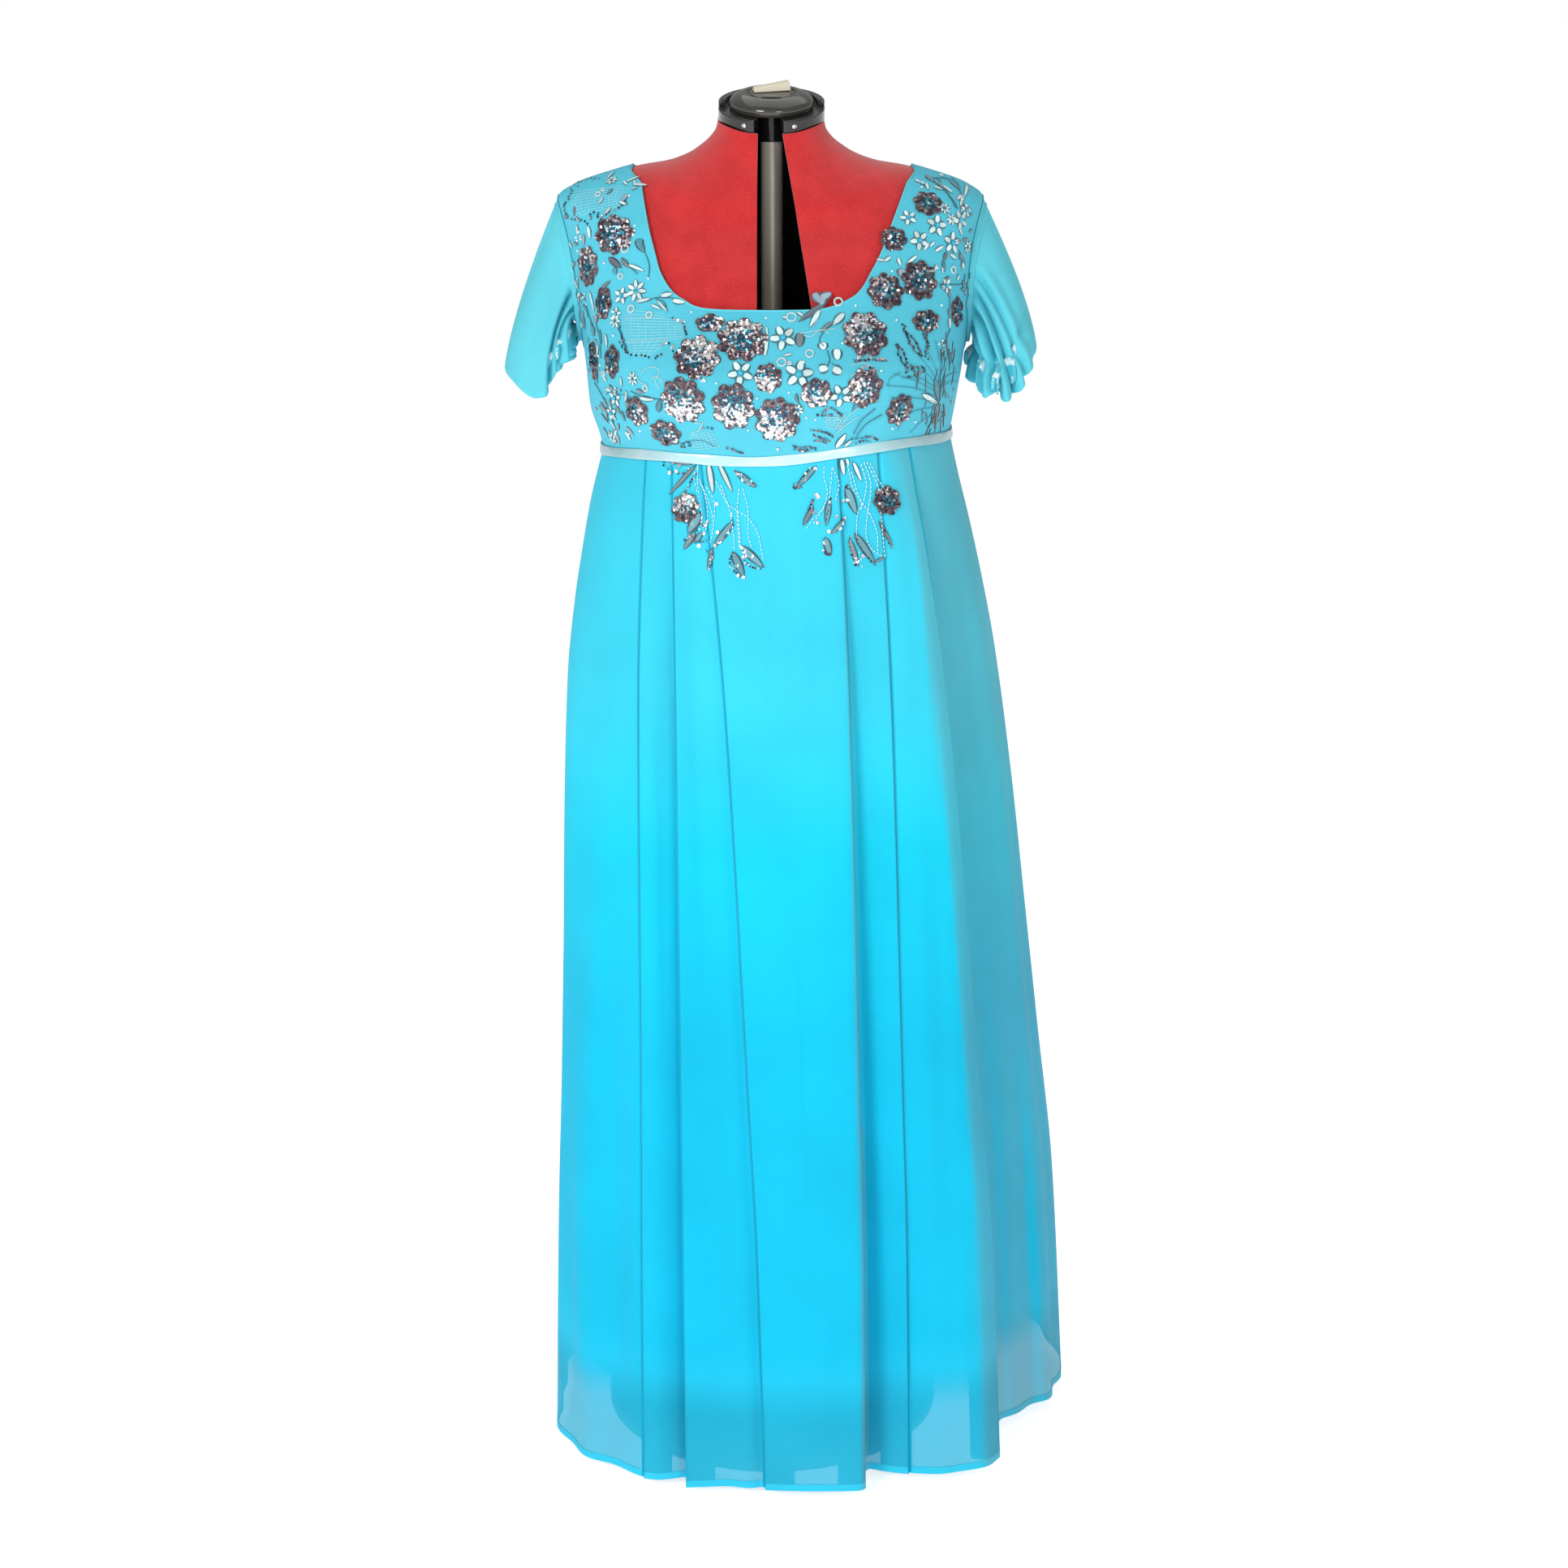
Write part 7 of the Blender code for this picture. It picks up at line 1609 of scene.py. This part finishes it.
# Small leaves lie thick along both side seams, and dark blades of grass fill the lower right one: a line from
# the shoulder down, how many, half length, half width and tones.
THICKETS = (((-70, 398, -73, 330, -75, 262, -63, 196, -57, 142), 64, 6.0, 2.5, (0, 2, 4, 0, 1)),
            ((78, 402, 70, 350, 77, 296, 74, 262), 34, 5.6, 2.5, (0, 2, 4, 0, 1)),
            ((62, 236, 60, 190, 64, 146), 34, 11.0, 0.9, (3, 2, 3, 5, 2)))
filling = []
for line, count, long, wide, shares in THICKETS:
    spots = smooth_curve(in_pairs(line), count) + chance.normal(0, 1, (count, 2)) * (4.2, 3.0)
    grass = wide < 1
    filling += [(bearing, z, long * size, wide * size, -90 + (16 if grass else 55) * lean, tone)
                for (bearing, z), size, lean, tone in zip(spots, chance.uniform(0.6, 1.2, count),
                                                          chance.normal(0, 1, count), chance.choice(shares, count))
                if abs(bearing) < 84 and z < 408]
add_lace("lace_leaves", [leaves(LEAVES, broad=1.7), leaves(BUDS, 0.5, broad=1.2), leaves(filling, 0.7),
                         leaves(petals, 0.55, np.array(reach))], lace_stitch)
for name, side in (("spray_left", -1), ("spray_right", 1)):
    fingers = [row for row in SPRAY_LEAVES if row[0] * side > 0]
    head = [row for row in SKIRT_FLOWERS if row[0] * side > 0]
    add_lace(name, [leaves(fingers, 0.7, on_skirt=True), *flower_patches(head, True)], lace_stitch, (name,))


# ---- Stems, nets and rings ------------------------------------------------------------------------
# Couched threads that join the motifs: dark and silver stems, fine teal twigs, darned nets and small rings.
DARK_STEMS = ((-51.5, 334, -49.4, 326, -47.9, 317, -47.4, 307), (-57.6, 327, -54.4, 319, -51.1, 312),
    (-43, 289, -39.9, 286, -37.9, 278), (-45.4, 286, -42.5, 290, -37, 290), (-72.7, 276, -68.9, 267, -66.5, 256),
    (-64.5, 260, -62.1, 243, -61.5, 225), (-68.3, 198, -63.1, 187, -60.9, 175, -61.6, 161),
    (-55.8, 190, -55.1, 177, -59, 158), (-47.4, 197, -42.8, 193, -36.6, 192), (76, 398, 74.4, 388, 72.1, 374),
    (84.2, 401, 79.1, 391, 76.2, 382), (77.9, 402, 81.7, 401, 80.5, 395), (75.6, 394, 74.1, 385, 72.4, 373),
    (66.5, 333, 65.1, 324), (71.1, 332, 72.4, 320), (62.1, 300, 67.8, 298, 77.2, 296),
    (74.1, 307, 74.4, 298, 78, 290), (66, 289, 65.2, 273), (64.8, 254, 61.4, 240, 60, 226, 59.7, 207, 61.1, 185),
    (22.5, 287, 17.8, 280, 11.8, 270), (23.3, 268, 19.3, 260, 17.1, 251, 18.4, 246),
    (19.3, 242, 19.7, 233, 18.4, 226), (8.5, 201, 9.1, 192, 10.7, 185), (28.3, 157, 30.2, 171, 34.4, 183),
    (29.6, 155, 32.1, 167, 37.1, 176), (20.1, 230, 21.9, 226))
SILVER_STEMS = ((-67.9, 290, -66.2, 276, -64.4, 265), (-42.7, 217, -39.8, 224, -36.1, 221, -37.5, 210, -36.1, 203),
    (-45.1, 216, -43.4, 208, -40.6, 206), (-39.5, 212, -37, 215, -34.7, 210), (-27.6, 157, -23.9, 163, -22.4, 172),
    (-25.7, 170, -23.1, 168, -24.7, 160), (10.6, 258, 16.5, 260, 23.6, 262),
    (11.8, 256, 14.5, 255, 18.3, 261, 21, 257), (15.6, 264, 17.9, 272, 19.3, 280),
    (17.9, 171, 20.4, 176, 23.2, 172, 21.5, 162), (23, 163, 26, 178, 28.8, 185), (22.2, 158, 25.5, 168, 29.3, 176),
    (26.4, 228, 30.6, 229, 33.5, 225), (25.4, 217, 29.1, 221, 33.2, 220))
TWIGS = ((60.7, 188, 49.1, 206, 39.9, 217), (60.5, 190, 50.5, 209, 43, 212), (60.2, 194, 51.8, 215, 45.2, 226),
    (59.8, 197, 53.2, 220, 49.5, 232), (59.7, 202, 55.6, 222, 52.7, 240), (59.6, 206, 58.5, 226, 57.2, 245),
    (59.6, 209, 61.7, 222, 65.2, 229), (60.9, 202, 64.7, 207, 71.9, 207), (61.9, 196, 66.8, 199, 75.5, 195),
    (59.5, 186, 48.1, 200, 37.6, 206), (58.9, 182, 48.1, 190, 39.5, 193),
    (58.7, 176, 49.9, 176, 45.2, 167, 44.2, 157), (60, 168, 54, 164, 49.5, 152), (53.3, 259, 53.3, 249, 53.4, 238),
    (37.7, 205, 38.7, 213, 42.4, 218), (-25.9, 269, -22.2, 264, -17.8, 268), (-32.2, 146, -24.8, 151, -19.6, 144),
    (-46.4, 190, -51.5, 192, -58.5, 192))
# Threads each way, and the four corners.
NETS = ((9, -80.1, 388, -70.9, 396, -64.7, 378, -73.7, 365), (9, -52.4, 270, -31.4, 270, -30.5, 252, -50.1, 245),
    (6, -49.6, 247, -35.4, 252, -39.7, 236, -47.7, 235), (7, -27.8, 155, -20.2, 161, -18.1, 144, -27.4, 140),
    (3, -50.8, 277, -38.8, 275, -38.4, 271, -52, 268), (6, 18.2, 178, 24.9, 179, 24.1, 163, 19.2, 165))
RINGS = ((-57.4, 336, 4.7), (-56.3, 309, 3.5), (-50.3, 278, 4.4), (-43.6, 273, 4), (-41.4, 202, 3.7),
    (83.3, 404, 2.4), (68.2, 313, 4.2), (26.4, 287, 5), (8, 273, 5.4), (13.3, 239, 4.7), (3.7, 231, 5),
    (6.4, 230, 2.4), (-73.4, 387, 3.4), (-73.9, 391, 2.4), (-60.4, 210, 3.4))
THREADS = ((DARK_STEMS, (0.030, 0.120, 0.155), 0.00048), (SILVER_STEMS, (0.520, 0.680, 0.680), 0.00042),
           (TWIGS, (0.025, 0.230, 0.300), 0.00034))
lace_thread = tinted("lace_thread", 0.5, 0.0, 3200.0, Sheen_Weight=0.2)


def couched(lines, radius, lift=0.0009):
    """Threads along lines of bearing and height, laid on the bodice."""
    points, skins, _ = cloth_at(lines)
    return threads(points + skins * lift, skins, radius)


parts = [(*couched([smooth_curve(in_pairs(line), 14) for line in lines], radius), tint)
         for lines, tint, radius in THREADS]
for count, *corners in NETS:
    a, b, c, d = in_pairs(corners)
    share, run = np.linspace(0, 1, count)[:, None, None], np.linspace(0, 1, 9)[None, :, None]
    for p, q, r, s in ((a, b, c, d), (a, d, c, b)):
        lines = (p * (1 - share) + s * share) * (1 - run) + (q * (1 - share) + r * share) * run
        parts.append((*couched(lines, 0.00020, 0.0004), (0.48, 0.78, 0.82)))
round_at = np.linspace(0, 2.08 * PI, 14)
rings = np.array(RINGS)
form = together(np.cos(round_at), np.sin(round_at), 0.0010)[None]
lines = laid(form, rings[:, :2], rings[:, 2] - 0.8, rings[:, 2] - 0.8, 0)
skins = np.repeat(cloth_at(rings[:, :2])[1][:, None], 14, axis=1)
parts.append((*threads(lines, skins, 0.0010), (0.52, 0.68, 0.68)))
add_lace("lace_threads", parts, lace_thread)


# ---- Beads ----------------------------------------------------------------------------------------
# Pearls scattered between the motifs, blue glass beads at the hearts of the small flowers, and lines of thin
# glass tubes that hang down the sprays.
PEARLS = np.reshape((-66, 386, -57.4, 358, -62.6, 321, -47.3, 308, -29.5, 277, -1.7, 272, -55.6, 250, -17.4, 211,
    -4.3, 196, -7.6, 163, -51.8, 151, -46.3, 156, 2.5, 142, 32.1, 283, 44.3, 268, 71, 394, 47.7, 315, 62.2, 316,
    61.5, 279, 58.5, 241, 24.7, 248, 5.9, 202, 35.7, 221, 41.8, 160, 50.6, 164, 2.5, 143, 14.9, 174, 11.9, 176,
    11.6, 140, 11.1, 231, -83.2, 350, -82.1, 344, -73.5, 341, -72.8, 350, -72.1, 346, -73.9, 344, -71.8, 343,
    -73.2, 331, -63.1, 227, -62.2, 218, -35.5, 247, -23.2, 217, -22.1, 213), (-1, 2))
BEAD_LINES = ((-74, 122, -74, 102, -70, 76, -70, 67), (-72, 108, -66, 91, -64, 71, -67, 55),
    (-71, 106, -63, 87, -58, 67, -61, 47), (-65, 101, -58, 89, -57, 73),
    (-55, 107, -44, 86, -34, 78, -32, 62, -31, 44), (-50, 103, -42, 80, -38, 56, -37, 42),
    (-32, 100, -34, 80, -33, 56, -32, 44), (-28, 100, -23, 80, -23, 56, -20, 44), (-33, 78, -23, 72, -13, 56, -8, 32),
    (-74, 120, -78, 112, -75, 98), (54, 122, 54, 112, 57, 100, 55, 86, 44, 68), (62, 121, 61, 107, 59, 88),
    (63, 121, 69, 106, 66, 91), (78, 123, 83, 101, 92, 86, 88, 74, 87, 55),
    (82, 116, 90, 90, 100, 75, 108, 55, 109, 37), (92, 123, 97, 105, 95, 90, 92, 80),
    (95, 125, 101, 107, 101, 91, 98, 72, 97, 54, 101, 40, 112, 31), (101, 124, 108, 110, 114, 100),
    (98, 125, 107, 106, 110, 98), (112, 74, 114, 53, 116, 31), (37, 63, 44, 72, 53, 81), (90, 35, 92, 27, 93, 21))
BALL = tuple((math.sin(a), -math.cos(a)) for a in np.linspace(0, PI, 6))
TUBE_PITCH, TUBE_LENGTH, TUBE_RADIUS = 3.9, 3.0, 0.00052
bead_glass = tinted("bead_glass", 0.14, 0.0, 500.0, Coat_Weight=0.6, Coat_Roughness=0.05)


def balls(places, radius, tint, on_skirt=False):
    """Round beads sunk a little into the cloth."""
    centres, skins, _ = cloth_at(places, on_skirt)
    radius = np.broadcast_to(radius, len(centres))
    return (*discs(centres + skins * radius[:, None] * 0.9, skins, radius, np.zeros((len(centres), 2)), BALL), tint)


hearts = np.array([(b, z, r) for b, z, r, _, star in STARS])
star_hearts = np.array([bool(star) for *_, star in STARS])
hung = []
for line in map(in_pairs, BEAD_LINES):
    count = max(2, int(run_of(line, 0)[-1] / TUBE_PITCH))
    middles = smooth_curve(line, count)
    way = np.gradient(middles, axis=0)
    way *= TUBE_LENGTH / 2 / np.linalg.norm(way, axis=1, keepdims=True)
    hung.append(np.stack([middles - way, middles + way], axis=1))
points, skins, _ = cloth_at(np.concatenate(hung), True)
add_lace("beads", [balls(PEARLS, 0.0013, (0.80, 0.84, 0.84)),
                   balls(hearts[star_hearts, :2], 0.24 * MM * hearts[star_hearts, 2] + 0.0003,
                         (0.010, 0.400, 0.600)),
                   balls(hearts[~star_hearts, :2], 0.0010, (0.050, 0.100, 0.120)),
                   (*threads(points + skins * 0.0012, skins, TUBE_RADIUS, 6), (0.62, 0.90, 0.94))], bead_glass)
